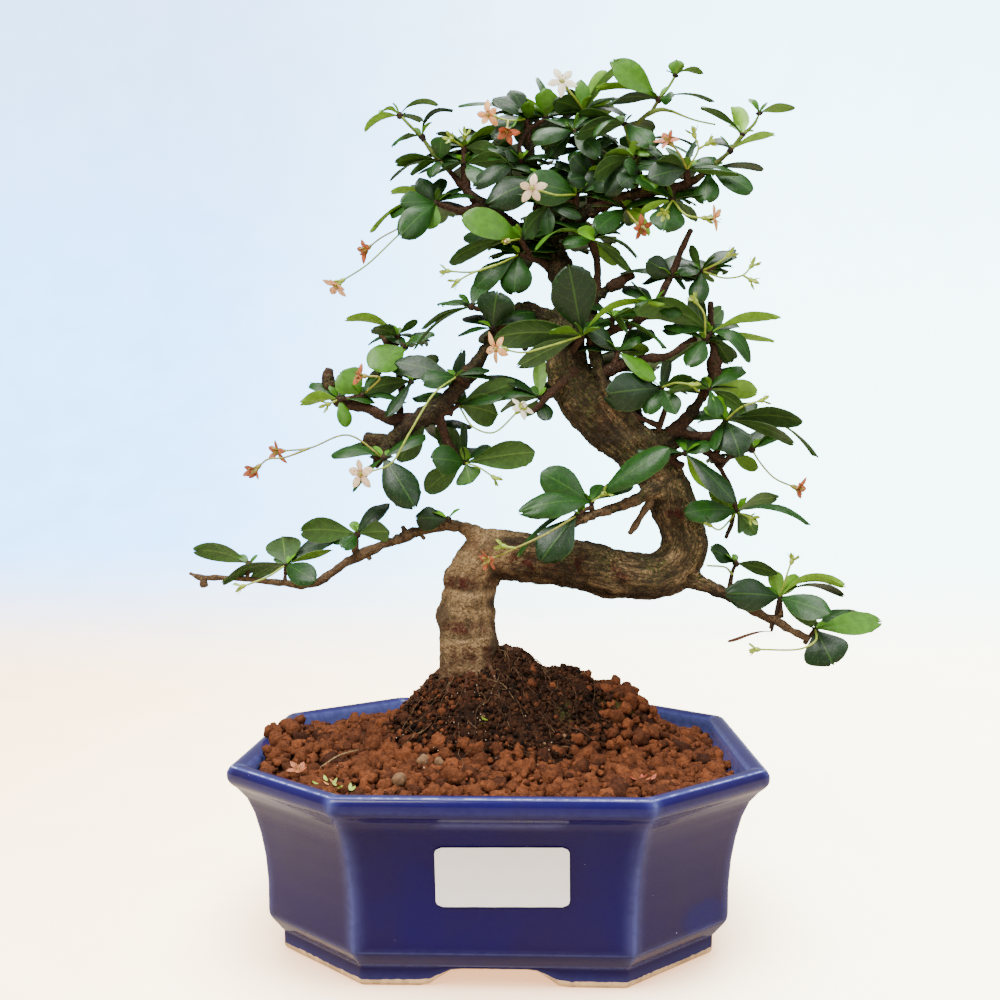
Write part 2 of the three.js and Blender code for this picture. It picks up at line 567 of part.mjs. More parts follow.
const SHOOTS = {
  crown_left_shoot: {
    stems: [
      [
        [-21, 306.4, 10, 1.5], [-25.5, 310.6, 10, 1.4], [-32, 319.5, 10, 1.3], [-38, 326, 10, 1],
        [-42, 330.2, 10, 0.8],
      ],
    ],
    rosettes: [
      [[-42.2, 330.2, 10], [
        [-50.8, 331.4, 5, 6, 112, 0.24], [-26.4, 335.2, 15, 8, 108, 0.2], [-57, 324.6, 8, 8, 112, 0.1],
        [-33, 328, 22, 7, 118, 0.1],
      ]],
      [[-33, 321.4, 10], [[-21, 333, 5, 8, 104, 0.28], [-46, 318.6, 3, 9, 116, 0.15]]],
      [[-25.6, 311, 10], [
        [-44, 309.8, 13, 9, 122, 0.14], [-38, 306.6, 3, 8, 118, 0.1], [-46.5, 304.4, 20, 6, 98, 0.12],
        [-24.4, 321.2, 5, 10, 20, 0.06], [-29, 305.4, -2, 7, 50, 0.1],
      ]],
    ],
    stalks: [],
  },
  crown_left_spur: {
    stems: [[[-14.4, 301, 10, 2], [-15.2, 308, 9, 1.8], [-15.3, 316.4, 9, 1.6]]],
    rosettes: [
      [[-15.2, 316.6, 9], [
        [-26.3, 323, 15, 6, 100, 0.16], [1, 325.2, 4, 6, 128, 0.14], [-1.4, 314, -2, 8, 150, 0.06],
        [-12, 323, 24, 7, 120, 0.1],
      ]],
      [[-14.6, 310, 8], [
        [5, 309.4, -6, 10, 145, 0.1], [-8, 300.6, -6, 9, 40, 0.1], [-27, 314, 16, 8, 60, 0.08],
        [-29, 305.4, 2, 6, 110, 0.08],
      ]],
    ],
    stalks: [[[-15.2, 317, 7, 0.6], [-15, 321, 5, 0.6]], [[-15, 317, 6, 0.6], [-20.4, 320, 0, 0.6]]],
  },
  crown_left_group: {
    stems: [[[-20, 291, 7, 1.6], [-26.6, 293.4, 6, 1.2]]],
    rosettes: [
      [[-26.8, 293.6, 6], [
        [-45.6, 297.6, 13, 8, 118, 0.14], [-34.4, 304, 4, 9, 20, 0.06], [-41.4, 294, -5, 10, 28, 0.06],
        [-54, 283, 11, 8, 104, 0.14], [-41.6, 280.6, -12, 12, 14, 0.1], [-32.4, 283.2, 0, 11, 12, 0.1],
        [-25, 304, 10, 8, 20, 0.08], [-13, 301, 18, 9, 70, 0.1],
      ]],
    ],
    stalks: [
      [[-27.6, 292.6, 4, 0.7], [-42, 281, -4, 0.6], [-56, 268, -6, 0.6], [-66, 261.6, -6, 0.6]],
      [[-28, 292, 5, 0.7], [-42, 283.6, 4, 0.6], [-50.4, 279, 4, 0.6], [-55, 275.4, 4, 0.6]],
    ],
  },
  centre_left: {
    stems: [
      [[21, 266, 2, 2], [14, 270, -1, 1.6], [8, 272, -3, 1.4]],
      [[13, 270.6, -1, 1.5], [10, 275, -5, 1.4], [8.4, 278, -7, 1.2]],
    ],
    rosettes: [
      [[8.4, 278.4, -7], [
        [-16, 287.8, -16, 13, 24, 0.12], [-21.6, 268.6, -10, 9, 118, 0.12], [-7.6, 278.6, 2, 7, 108, 0.06],
        [-16.4, 280.6, 8, 9, 40, 0.06],
      ]],
      [[7.6, 272, -3], [
        [-12, 258.4, -6, 11, 34, 0.08], [5.4, 256.6, -9, 14, 14, 0.08], [-8.6, 262.6, 8, 9, 60, 0.05],
      ]],
    ],
    stalks: [
      [[7.4, 272.6, -6, 0.7], [-2, 267.6, -16, 0.6], [-12, 264.8, -18, 0.6], [-22, 265.2, -18, 0.6]],
      [[8, 279, -10, 0.6], [3.2, 277.6, -18, 0.6]],
      [[-2, 267.6, -16, 0.6], [-12.6, 264, -19, 0.6], [-18, 261, -20, 0.6]],
    ],
  },
  inner_right: {
    stems: [[[39.4, 272, -5, 1.8], [38, 277.6, -10, 1.4]]],
    rosettes: [
      [[37.8, 278, -11], [
        [14, 275.4, -19, 8, 100, 0.22], [26.4, 277, -18, 8, 50, 0.1], [49, 268, -4, 9, 140, 0.12],
        [57, 272.4, -11, 6, 96, 0.16], [50, 276, -20, 5, 104, 0.12], [53.4, 264.6, -14, 6, 128, 0.06],
        [31, 281, -26, 6, 30, 0.2],
      ]],
    ],
    stalks: [],
  },
  crown_inner: {
    stems: [
      [[29, 287, -1, 2], [31, 293, -5, 1.6], [31.4, 296.4, -7, 1.3]],
      [[31, 293.4, -5, 1.3], [25, 294, -7, 1.2], [20.4, 292.4, -8, 1.1]],
    ],
    rosettes: [
      [[31.4, 296.6, -8], [
        [9.6, 300.8, -18, 15, 26, 0.12], [37, 310, -6, 11, 28, 0.06], [0, 301.8, -3, 10, 58, 0.08],
        [24, 309, 4, 11, 40, 0.08],
      ]],
      [[20.2, 292.2, -8], [
        [8, 279.6, -14, 10, 140, 0.08], [33.4, 287, -14, 8, 56, 0.1], [19, 281, -16, 7, 30, 0.08],
      ]],
      [[17.6, 302.6, -4], [[-5, 293.8, -10, 15, 30, 0.1], [6, 309, 4, 9, 60, 0.1]]],
    ],
    stalks: [[[30.6, 296, -10, 0.6], [22, 296.6, -20, 0.6], [15.6, 298.6, -22, 0.6]]],
  },
  front_leaf: {
    stems: [[[28.6, 231, -6, 2], [32, 235, -11, 1.6], [33.4, 237.6, -13, 1.4]]],
    rosettes: [
      [[33.6, 238, -14], [
        [28, 267.4, -27, 20, 8, 0.05], [20.4, 240, -25, 7, 118, 0.1], [40.2, 242.8, -24, 5, 118, 0.04],
        [67, 249.6, -18, 9, 108, 0.2], [-3.4, 239, -24, 13, 150, 0.08], [8.4, 225, -22, 9, 148, 0.08],
      ]],
    ],
    stalks: [[[32, 236, -16, 0.7], [20, 233.8, -28, 0.6], [9, 231.2, -32, 0.6], [2, 232.4, -33, 0.6]]],
  },
  fork_shoot: {
    stems: [[[47, 225, -10, 1.8], [48.4, 231, -11, 1.4]]],
    rosettes: [
      [[48.4, 231.4, -11], [
        [64, 219.6, -16, 8, 36, 0.06], [57.4, 238, -13, 8, 60, 0.1], [37.6, 241.6, -18, 8, 30, 0.05],
        [60.4, 232.6, -2, 8, 130, 0.1],
      ]],
    ],
    stalks: [],
  },
  round_leaf: {
    stems: [[[66, 201, -7, 1.5], [68, 208, -8, 1.3], [66.6, 215.6, -9, 1.2]]],
    rosettes: [
      [[66.4, 216.4, -9], [
        [43.6, 213.8, -22, 16, 12, 0.06], [79.4, 220, -12, 9, 140, 0.06], [60.4, 206, -14, 9, 30, 0.1],
        [72.6, 205.4, -16, 8, 24, 0.08], [70, 228, -4, 9, 130, 0.08],
      ]],
    ],
    stalks: [[[67, 217, -12, 0.6], [73, 218.4, -20, 0.6], [79, 217.6, -22, 0.6]]],
  },
  knob_leaves: {
    stems: [[[84.6, 213, -6, 1.4], [86, 215.4, -9, 1.2]]],
    rosettes: [
      [[86.2, 215.8, -10], [
        [69, 214.4, -16, 8, 118, 0.1], [101.2, 206.8, -16, 8, 140, 0.1], [105.4, 214.6, 4, 9, 150, 0.06],
        [90, 204.6, -18, 7, 30, 0.08],
      ]],
    ],
    stalks: [],
  },
  right_spray: {
    stems: [[[90.6, 199.4, -6, 1.3], [92.6, 202.4, -7, 1.2]]],
    rosettes: [
      [[92.8, 202.8, -7.4], [
        [124.6, 203, -14, 11, 138, 0.12], [121, 193.4, -18, 9, 124, 0.1], [130.4, 189, 2, 6, 96, 0.16],
        [99, 189.2, -20, 13, 18, 0.1], [88.2, 190.4, -17, 6, 56, 0.1], [88.4, 212.6, -14, 7, 60, 0.1],
        [83.6, 207.4, -16, 6, 60, 0.1],
      ]],
    ],
    stalks: [[[93.4, 204, -10, 0.7], [100, 208.6, -16, 0.6], [107.6, 211, -18, 0.6]]],
  },
  right_low: {
    stems: [[[92.6, 185.6, -4, 1.4], [95.4, 188.6, -5, 1.3], [99, 190.6, -6, 1], [103.6, 190.8, -7, 0.9]]],
    rosettes: [
      [[103.8, 190.8, -7], [[112.4, 197.4, -1, 6, 118, 0.06]]],
      [[95.4, 188.4, -5], [[106.2, 182.8, -9, 7, 150, 0.05]]],
    ],
    stalks: [
      [[104, 190.4, -8, 0.6], [107, 185.6, -10, 0.6], [113, 179, -11, 0.6], [120.8, 175.4, -12, 0.6]],
    ],
  },
  right_slope: {
    stems: [[[73, 188.4, -6, 1.1], [76, 189.4, -9, 1]]],
    rosettes: [
      [[76.4, 189.2, -10], [
        [96.6, 168.4, -20, 10, 34, 0.06], [86.2, 175.2, -4, 9, 150, 0.06], [87, 194, -14, 8, 50, 0.08],
      ]],
    ],
    stalks: [],
  },
  right_middle: {
    stems: [[[97, 168.6, -1.6, 1], [97.6, 165.4, -3, 1]]],
    rosettes: [
      [[97.6, 165, -3], [
        [127.2, 159.4, -12, 9, 66, 0.2], [106.2, 155.8, -6, 8, 160, 0.08], [77.6, 165.4, -16, 12, 28, 0.1],
        [99.6, 156.8, -16, 6, 100, 0.02], [86.4, 175, 8, 9, 150, 0.08], [113, 172, 10, 9, 120, 0.1],
      ]],
    ],
    stalks: [
      [[97, 164, -5, 0.6], [90, 157.6, -12, 0.6], [86.4, 159.6, -13, 0.6]],
      [[98, 165, -5, 0.6], [103, 162.6, -12, 0.6]],
    ],
  },
  centre_branch: {
    stems: [
      [[38, 164.6, -17, 1.3], [37.6, 168.6, -18, 1.1]],
      [[37.8, 167, -18, 1.1], [34.6, 165.8, -21, 1], [32, 163.8, -22, 1]],
    ],
    rosettes: [
      [[37.6, 169, -18.4], [
        [17.4, 181.6, -24, 14, 14, 0.06], [69.6, 191.4, -28, 13, 32, 0.06], [8.6, 166, -28, 12, 30, 0.12],
        [5.4, 151, -18, 5, 70, 0.08],
      ]],
      [[31.8, 163.6, -22], [[17, 145.6, -32, 15, 14, 0.08]]],
    ],
    stalks: [
      [[38, 170, -20, 0.6], [42.6, 172.4, -22, 0.6]],
      [[31.6, 163.6, -24, 0.7], [18, 155.4, -36, 0.6], [6, 149.8, -36, 0.6], [-3.4, 145.6, -32, 0.6]],
      [[6, 149.8, -36, 0.6], [1.4, 150.6, -35, 0.6]],
    ],
  },
  lower_right_near: {
    stems: [[[95.2, 137.6, -6, 1.1], [95.8, 140.4, -6, 0.9], [97.2, 143.6, -6, 0.9]]],
    rosettes: [[[97.2, 143.8, -6], [[114.2, 140.2, -12, 8, 138, 0.06], [86.2, 149.6, -12, 9, 30, 0.08]]]],
    stalks: [[[95.8, 139, -6, 0.6], [93, 142, -12, 0.6], [85.4, 142.8, -20, 0.6]]],
  },
  lower_right_middle: {
    stems: [[[115.6, 124.2, -10, 1.1], [115.2, 129.4, -10.4, 1]]],
    rosettes: [
      [[115.2, 129.8, -10.6], [
        [95, 131.6, -22, 13.5, 14, 0.08], [136.2, 122.4, -24, 13, 24, 0.08], [112.4, 141, -9, 7, 150, 0.06],
        [122.6, 138.6, -5, 7, 148, 0.06], [141.2, 135.2, -8, 8, 114, 0.2], [141.6, 130, 2, 7, 98, 0.18],
        [129.4, 118, -17, 6, 150, 0.04],
      ]],
    ],
    stalks: [[[115.6, 131, -12, 0.6], [118.6, 140.4, -16, 0.6], [120, 144.4, -16, 0.6]]],
  },
  lower_right_tip: {
    stems: [[[127, 113, -13, 1.2], [129.4, 116.4, -13, 1]]],
    rosettes: [
      [[129.6, 116.8, -13], [
        [156.2, 119.8, -10, 10, 18, 0.05], [137, 102.2, -21, 18.5, 12, 0.06], [143.4, 125, 0, 8, 40, 0.06],
        [144.6, 126.8, 12, 6, 96, 0.06],
      ]],
    ],
    stalks: [
      [[129.4, 115.6, -15, 0.6], [129.6, 111.6, -25, 0.6], [124, 108.6, -26, 0.6], [106, 108.2, -24, 0.6]],
    ],
  },
  lower_left_middle: {
    stems: [[[-90, 141.4, -16, 1], [-90, 142.4, -16, 1]]],
    rosettes: [
      [[-90, 142.8, -16], [
        [-117.2, 136.4, -23, 9, 112, 0.12], [-104.6, 138, -10, 6, 128, 0.1],
        [-91.2, 154.6, -13, 15, 168, 0.05], [-77.6, 135.6, -27, 10.5, 18, 0.1],
        [-71, 148.4, -13, 6, 128, 0.05], [-68.8, 154.8, -5, 8, 48, 0.1],
      ]],
    ],
    stalks: [[[-91.6, 142.4, -18, 0.7], [-98, 137.6, -25, 0.6], [-108, 133.8, -27, 0.6]]],
  },
  lower_left_far: {
    stems: [[[-105.6, 141.8, -16.6, 0.9], [-105.4, 142.8, -16.4, 0.8]]],
    rosettes: [[[-105.4, 143, -16.4], [[-127.6, 149.8, -14, 9, 148, 0.14]]]],
    stalks: [],
  },
  lower_left_near: {
    stems: [[[-60.2, 154.2, -12, 1.1], [-60, 155.4, -12, 1]]],
    rosettes: [
      [[-60, 155.6, -12], [
        [-83.6, 157.2, -15, 11.5, 158, 0.15], [-47.4, 169.2, -8, 9, 40, 0.1],
        [-46.2, 157, -17, 9.5, 148, 0.08], [-71, 153.4, -6, 7, 30, 0.05], [-66, 149.4, -19, 7, 20, 0.1],
      ]],
    ],
    stalks: [],
  },
  lower_left_leaf: {
    stems: [[[-21.6, 161.4, -9.4, 0.9], [-22, 162, -11, 0.9]]],
    rosettes: [[[-22, 162, -11.4], [[-35.2, 162.6, -16, 10, 14, 0.06]]]],
    stalks: [],
  },
  left_top: {
    stems: [[[-43.6, 235, 5, 1.4], [-43, 238, 4.6, 1.2]], [[-43.4, 236.4, 4.8, 1.1], [-40, 233.6, 0, 1]]],
    rosettes: [
      [[-43, 238.4, 4.4], [
        [-65, 243.2, 0, 8, 118, 0.2], [-53.6, 242, -8, 9, 138, 0.1], [-35.4, 245.6, 4, 7, 118, 0.05],
      ]],
      [[-39.6, 233.4, -0.4], [[-55, 225.4, -10, 14, 22, 0.08]]],
    ],
    stalks: [],
  },
  left_branch_front: {
    stems: [[[-15.4, 219, -10, 1.3], [-18.4, 221, -15, 1.1]]],
    rosettes: [
      [[-18.6, 221.2, -15.4], [[-43.6, 226.6, -12, 11, 28, 0.08], [-32.6, 219.4, -25, 10.5, 38, 0.08]]],
    ],
    stalks: [
      [
        [-20, 221, -18, 0.7], [-28, 214, -27, 0.7], [-38, 198, -32, 0.7], [-46, 185, -32, 0.6],
        [-55, 181.6, -30, 0.6],
      ],
    ],
  },
  left_branch_back: {
    stems: [[[-40.4, 214, 0, 1.1], [-37.6, 219, -2, 1]]],
    rosettes: [
      [[-37.2, 219.4, -2.4], [
        [-57.6, 215.4, -14, 9.5, 140, 0.08], [-46.8, 204, -20, 7, 50, 0.05], [-28, 230, 10, 9, 120, 0.1],
      ]],
    ],
    stalks: [],
  },
  left_far: {
    stems: [
      [[-57.2, 211.6, -11.6, 1.1], [-57.8, 213.4, -12, 1]],
      [[-57.6, 213, -12, 0.9], [-63, 212.6, -15, 0.9], [-67.4, 212, -16, 0.9]],
    ],
    rosettes: [
      [[-57.8, 213.6, -12], [[-66.6, 223.4, -17, 14, 18, 0.08], [-50, 222, 6, 9, 130, 0.1]]],
      [[-67.6, 212, -16], [[-83.6, 210, -18, 8, 122, 0.12], [-64, 200.6, -18, 7, 30, 0.1]]],
    ],
    stalks: [
      [[-68, 212, -17, 0.6], [-72, 210, -20, 0.6]],
      [[-58, 214.4, -14, 0.7], [-50.6, 221, -22, 0.6], [-56.8, 221.6, -25, 0.6]],
    ],
  },
  left_stub: {
    stems: [[[-49, 189, -18, 1.2], [-49, 187.6, -19.4, 1]]],
    rosettes: [
      [[-49, 187.4, -19.6], [
        [-36, 167.4, -28, 14.5, 12, 0.08], [-71, 188.8, -22, 9, 64, 0.16], [-61.6, 173.6, -24, 6, 60, 0.1],
      ]],
    ],
    stalks: [
      [[-51, 190, -20, 0.6], [-64, 197, -24, 0.7], [-80, 191.6, -26, 0.6], [-91.4, 190.4, -26, 0.6]],
      [[-80, 191.6, -26, 0.6], [-91, 187.6, -28, 0.6], [-97.6, 187, -28, 0.6], [-101.4, 184, -28, 0.6]],
    ],
  },
  left_under: {
    stems: [[[-30, 205, -4, 1.2], [-31, 201.6, 0, 1]]],
    rosettes: [[[-31.2, 201.2, 0.4], [[-42.6, 186, 2, 12, 158, 0.08], [-24, 196, 16, 9, 130, 0.08]]]],
    stalks: [],
  },
  left_drop: {
    stems: [[[-16.4, 187, -3.6, 1.2], [-15.2, 185.6, -4, 1.1]]],
    rosettes: [
      [[-15, 185.4, -4.2], [
        [-31.6, 174.4, 2, 11, 148, 0.08], [-28.4, 187.4, -17, 12.5, 14, 0.08],
        [-12.6, 176.4, -11, 12.5, 158, 0.08], [14.4, 190.2, -10, 13, 158, 0.06],
        [-26, 201, 8, 11, 158, 0.1], [-15.4, 202, -10, 7, 70, 0.05],
      ]],
    ],
    stalks: [[[-14.4, 185.4, -6, 0.6], [-9, 183.4, -13, 0.6], [-3, 179.4, -15, 0.6]]],
  },
  left_arch: {
    stems: [
      [[0, 243.6, -1, 1.7], [-5, 247, -5, 1.4], [-9, 249.4, -8, 1.2], [-12, 250.2, -9, 1.1]],
      [[-5, 247, -5, 1.2], [-3.4, 241.6, -9, 1.1]],
    ],
    rosettes: [
      [[-12.2, 250.4, -9], [
        [-33, 242, -14, 6, 112, 0.1], [-37, 234.6, -8, 5, 112, 0.1], [-5, 262, 2, 8, 40, 0.1],
      ]],
      [[-3.4, 241.2, -9.4], [[-2, 256, -16, 17, 12, 0.05]]],
    ],
    stalks: [],
  },
  left_inner: {
    stems: [[[-20, 208, -6, 1.5], [-17.8, 209.2, -5, 1.2]]],
    rosettes: [
      [[-17.6, 209.4, -4.8], [
        [-0.6, 206, -9, 15, 154, 0.08], [1.4, 211.8, -17, 7, 60, 0.06], [6.2, 218.4, 0, 10, 158, 0.06],
        [-16, 231.6, 8, 8, 50, 0.08],
      ]],
    ],
    stalks: [[[-17, 208, -7, 0.6], [-11, 200, -17, 0.6], [-3, 198, -20, 0.6], [7, 206.6, -21, 0.6]]],
  },
  trunk_left: {
    stems: [[[22, 216, -3, 1.6], [16.4, 212.4, -3, 1.2]]],
    rosettes: [
      [[16, 212.2, -3], [
        [16, 229.4, 4, 7, 158, 0.05], [-0.8, 208.4, -4, 7, 118, 0.12], [-5, 222.6, 9, 8, 60, 0.1],
        [9, 204.6, 2, 8, 148, 0.05], [19.4, 204, -15, 7, 14, 0.05],
      ]],
    ],
    stalks: [],
  },
  crown_top: {
    stems: [
      [[38, 290, -3, 2.2], [37.4, 303, 0, 2], [36, 315, 3, 1.8], [34.6, 330.4, 4, 1.4]],
      [[36.2, 313, 2.6, 1.5], [33, 319, -4, 1.3], [30.4, 322.6, -7, 1.1]],
    ],
    rosettes: [
      [[34.6, 331, 4], [
        [33.4, 344.6, 5, 7, 18, 0.05], [42.4, 347.2, 12, 7, 148, 0.05], [51.4, 349, 0, 7, 116, 0.12],
        [50.6, 337.2, -3, 8, 98, 0.1], [47, 331.8, 9, 8, 148, 0.05], [22, 335.6, -5, 10, 146, 0.1],
        [28, 339, 16, 8, 120, 0.1],
      ]],
      [[30.2, 322.8, -7.4], [
        [13.4, 320.4, -17, 10.5, 52, 0.12], [19, 319.4, -7, 9, 36, 0.15], [17.4, 315.6, 0, 10, 150, 0.1],
        [41, 312, -14, 9, 40, 0.08], [20, 312.6, -3, 9, 30, 0.1],
      ]],
      [[37.6, 302.4, -4], [
        [30, 312, -12, 10, 30, 0.1], [45.6, 301, -15, 10, 30, 0.1], [28.4, 303, -13, 9, 40, 0.1],
        [44, 309, -10, 9, 60, 0.1],
      ]],
      [[36.4, 315.4, -1], [[45, 319.6, -11, 9, 50, 0.1], [29, 309.6, -10, 8, 40, 0.1]]],
    ],
    stalks: [[[33.6, 332, 1, 0.6], [30, 337.6, -8, 0.6], [27, 341, -9, 0.6]]],
  },
  crown_top_left: {
    stems: [
      [[11.6, 318, 6, 2], [10.8, 327.6, 5, 1.4]],
      [[11, 323.6, 5.4, 1.3], [15, 326, 4, 1.2], [18.8, 328, 3, 1.1]],
      [[11, 323.6, 5.4, 1.2], [8, 318, -1, 1.1], [8.2, 311, -2, 1.1]],
    ],
    rosettes: [
      [[18.9, 328.4, 3], [
        [19, 340.4, -4, 10.5, 14, 0.05], [16.5, 345.6, 8, 8, 60, 0.1], [6.4, 335.2, 8, 7, 124, 0.1],
      ]],
      [[10.7, 328, 5], [
        [-3, 336.8, 0, 9, 56, 0.14], [4.2, 324.8, -7, 6, 116, 0.1], [-18, 332, 16, 7, 100, 0.14],
        [24, 333.6, 14, 9, 120, 0.1], [-3, 318.4, -8, 10, 40, 0.12], [4, 340.4, 4, 9, 30, 0.12],
        [11.4, 334.4, -5, 6, 20, 0.05], [-2, 326, -7, 8, 40, 0.1],
      ]],
      [[8.4, 310.4, -2.4], [[-11, 301.6, -8, 9, 34, 0.1], [2, 315, -8, 8, 50, 0.1]]],
    ],
    stalks: [
      [[10, 328.6, 3, 0.6], [3, 327.6, -8, 0.6], [-2.4, 329, -10, 0.6]],
      [[3, 327.6, -8, 0.6], [2.6, 324, -11, 0.6]],
    ],
  },
  crown_right_shoot: {
    stems: [
      [[55, 297, -10, 2.2], [57, 306, -9, 1.9], [54.6, 315, -9, 1.7], [51.4, 325, -9, 1.4]],
      [
        [52.6, 321, -9, 1.3], [57, 326.4, -10, 1.2], [61.6, 330, -11, 1.5], [66, 331.4, -11, 1.1],
        [71, 330.6, -11, 0.8],
      ],
      [[62.4, 330.6, -11, 1.2], [65.4, 335.4, -11, 1], [69.6, 341, -11, 0.8], [72, 345, -11, 0.7]],
      [[57, 306, -9, 1.3], [55.4, 311.6, -14, 1.2]],
    ],
    rosettes: [
      [[51.2, 325.6, -9], [
        [31, 322, -18, 11, 148, 0.1], [31.6, 329.6, -7, 8, 118, 0.12], [38, 324.2, -25, 6, 108, 0.12],
        [62.4, 316.4, -20, 10, 38, 0.12], [63.4, 323.2, 0, 9, 138, 0.1],
      ]],
      [[65.2, 335.6, -11], [
        [46.4, 352, -15, 11.5, 18, 0.04], [44, 333.4, -18, 11, 122, 0.14], [87.6, 334.6, -4, 6, 100, 0.12],
        [40.4, 341, 0, 7, 108, 0.08], [70.6, 336.6, -18, 6, 30, 0.05],
      ]],
      [[72.1, 345.4, -11], [[72.6, 352, -13, 7, 10, 0], [83.6, 346.2, -8, 6, 112, 0.2]]],
      [[55.2, 312, -14.4], [
        [43, 313.6, -19, 7, 118, 0.1], [37.8, 304.6, -22, 10, 138, 0.1], [43.6, 296, -16, 10, 30, 0.08],
        [55.6, 316, -20, 3.6, 90, 0.05],
      ]],
      [[57, 318, -10], [
        [80.4, 317.6, -13, 7, 100, 0.12], [66.6, 311.4, -20, 8, 60, 0.1], [61.4, 312.6, -20, 8, 30, 0.1],
        [63.4, 307.6, -6, 8, 40, 0.1], [79, 313, -18, 5, 100, 0.1],
      ]],
      [[57.2, 304.6, -13], [
        [49.6, 300.4, -23, 9, 30, 0.1], [64, 299.6, -22, 8, 40, 0.1], [51.6, 309.6, -21, 8, 40, 0.1],
      ]],
    ],
    stalks: [[[71, 330.6, -12, 0.6], [80, 327, -12, 0.6], [88.6, 325, -12, 0.6]]],
  },
  crown_right_near: {
    stems: [[[77, 302.4, -19, 1.6], [77, 306, -22, 1.2]]],
    rosettes: [
      [[77, 306.4, -22.4], [
        [61.4, 303.4, -29, 11, 24, 0.1], [64.4, 311.2, -26, 9, 148, 0.14], [98.4, 303.4, -28, 6, 108, 0.06],
        [79.6, 318.6, -12, 8, 60, 0.1], [69, 316.4, -18, 8, 60, 0.1],
      ]],
    ],
    stalks: [
      [[77.4, 307, -24, 0.7], [81.6, 315, -30, 0.6], [80, 320.6, -31, 0.6]],
      [[81.6, 315, -30, 0.6], [85.4, 317, -31, 0.6]],
      [[77.2, 306.8, -24, 0.6], [74, 313, -31, 0.6], [70.6, 317, -31, 0.6]],
    ],
  },
  crown_right_under: {
    stems: [[[71, 297, -17, 1.6], [71, 294.4, -19, 1.2]]],
    rosettes: [
      [[71, 294, -19.4], [
        [67.4, 281.4, -26, 14.5, 14, 0.06], [80, 286, -4, 8, 130, 0.1], [58.4, 288, -14, 7, 120, 0.06],
      ]],
    ],
    stalks: [
      [[71.4, 293, -20, 0.6], [77, 287.6, -26, 0.6], [84, 286.4, -27, 0.6]],
      [[70.6, 293, -21, 0.6], [68, 289, -30, 0.6]],
    ],
  },
  crown_middle_under: {
    stems: [[[51, 293.6, -8, 1.8], [51.6, 291, -8, 1.3]]],
    rosettes: [
      [[51.6, 290.6, -8], [
        [39, 281, -14, 9.5, 30, 0.06], [58.8, 285, -6, 8, 148, 0.06], [62.6, 280.2, -15, 6, 116, 0.02],
      ]],
    ],
    stalks: [[[51.8, 290, -10, 0.6], [54.6, 286.6, -18, 0.6], [56.8, 284, -18, 0.6]]],
  },
  crown_right_tip: {
    stems: [
      [
        [83, 304.4, -18, 1.7], [88.6, 309, -18, 1.5], [94, 313.4, -18, 1.3], [99.6, 320.2, -18, 1.1],
        [104.6, 325.2, -18, 0.9], [106.6, 329, -18, 0.7],
      ],
    ],
    rosettes: [
      [[86, 306.4, -18], [
        [84.4, 293.6, -24, 10.5, 18, 0.06], [103.8, 297.6, -26, 10, 34, 0.08],
        [108.2, 308.2, -14, 8, 108, 0.08],
      ]],
      [[95, 314.6, -18], [[112.6, 320.6, -17, 6, 118, 0.06], [85.2, 319.6, -10, 7, 60, 0.12]]],
      [[99.8, 320.8, -18], [[82.6, 332.4, -22, 7, 112, 0.12], [95.6, 331.8, -6, 8, 148, 0.1]]],
      [[106.6, 329.4, -18], [[102.4, 335.6, -19, 5, 56, 0.2], [121.2, 331, -21, 8, 118, 0.16]]],
    ],
    stalks: [],
  },
  right_cut_twig: {
    stems: [
      [
        [39, 236.6, -7, 2.4], [46, 240, -6, 2.1], [57, 244, -7, 1.9], [63.6, 250, -8, 1.8],
        [68, 258, -8, 1.8], [72, 266, -8, 1.7], [75, 274, -8, 1.5], [78.6, 281.6, -8, 1.4],
      ],
      [[71, 263.6, -8, 1.4], [78, 263.6, -8, 1.2], [83.4, 264.4, -8, 1], [88.4, 266.4, -8, 0.9]],
      [[46, 240, -6, 1.3], [46.4, 245, -7, 1.1]],
    ],
    rosettes: [
      [[46.4, 245.4, -7.4], [
        [68.6, 233.6, -18, 8, 108, 0.1], [73.2, 248.4, -1, 8, 148, 0.1], [53.2, 240, -18, 7, 128, 0.1],
        [55.2, 246.8, 6, 7, 148, 0.04],
      ]],
      [[83, 264.6, -8], [
        [74.2, 264.4, -14, 7.5, 58, 0.1], [81, 252.4, -16, 9, 28, 0.1], [88.2, 260, -5, 5, 118, 0.02],
        [78, 275.2, -5, 5, 148, 0.05], [88.4, 271.4, -12, 5, 108, 0.1],
      ]],
      [[70.6, 262.6, -9], [
        [60.8, 269, -14, 9.5, 20, 0.08], [58.2, 260.4, -4, 8, 58, 0.1], [77.2, 258.6, 0, 7, 58, 0.05],
      ]],
      [[63.4, 250.4, -9], [[53, 259.2, -4, 6, 100, 0.05], [74.6, 247.2, -14, 8, 46, 0.1]]],
    ],
    stalks: [
      [[84, 265, -10, 0.6], [91, 268.6, -16, 0.6], [94, 271, -16, 0.6]],
      [[83.6, 264, -10, 0.6], [93, 261.6, -16, 0.6], [100, 262.8, -17, 0.6], [103.4, 266.4, -17, 0.6]],
      [[100, 262.8, -17, 0.6], [103, 260.8, -18, 0.6]],
    ],
  },
  right_vertical: {
    stems: [[[87, 238, -7, 1.1], [86.8, 239, -9, 1]], [[86.8, 238.6, -8.8, 0.9], [84.6, 236.4, -9.6, 0.9]]],
    rosettes: [
      [[86.8, 239.2, -9.4], [
        [114.6, 245.4, -14, 8, 122, 0.1], [55.6, 249.2, -22, 12, 140, 0.2], [94.8, 226.4, -2, 8, 158, 0.05],
        [112, 233.6, -4, 6, 118, 0.05], [103.8, 228.2, -14, 9, 46, 0.26],
      ]],
      [[84.4, 236, -9.8], [
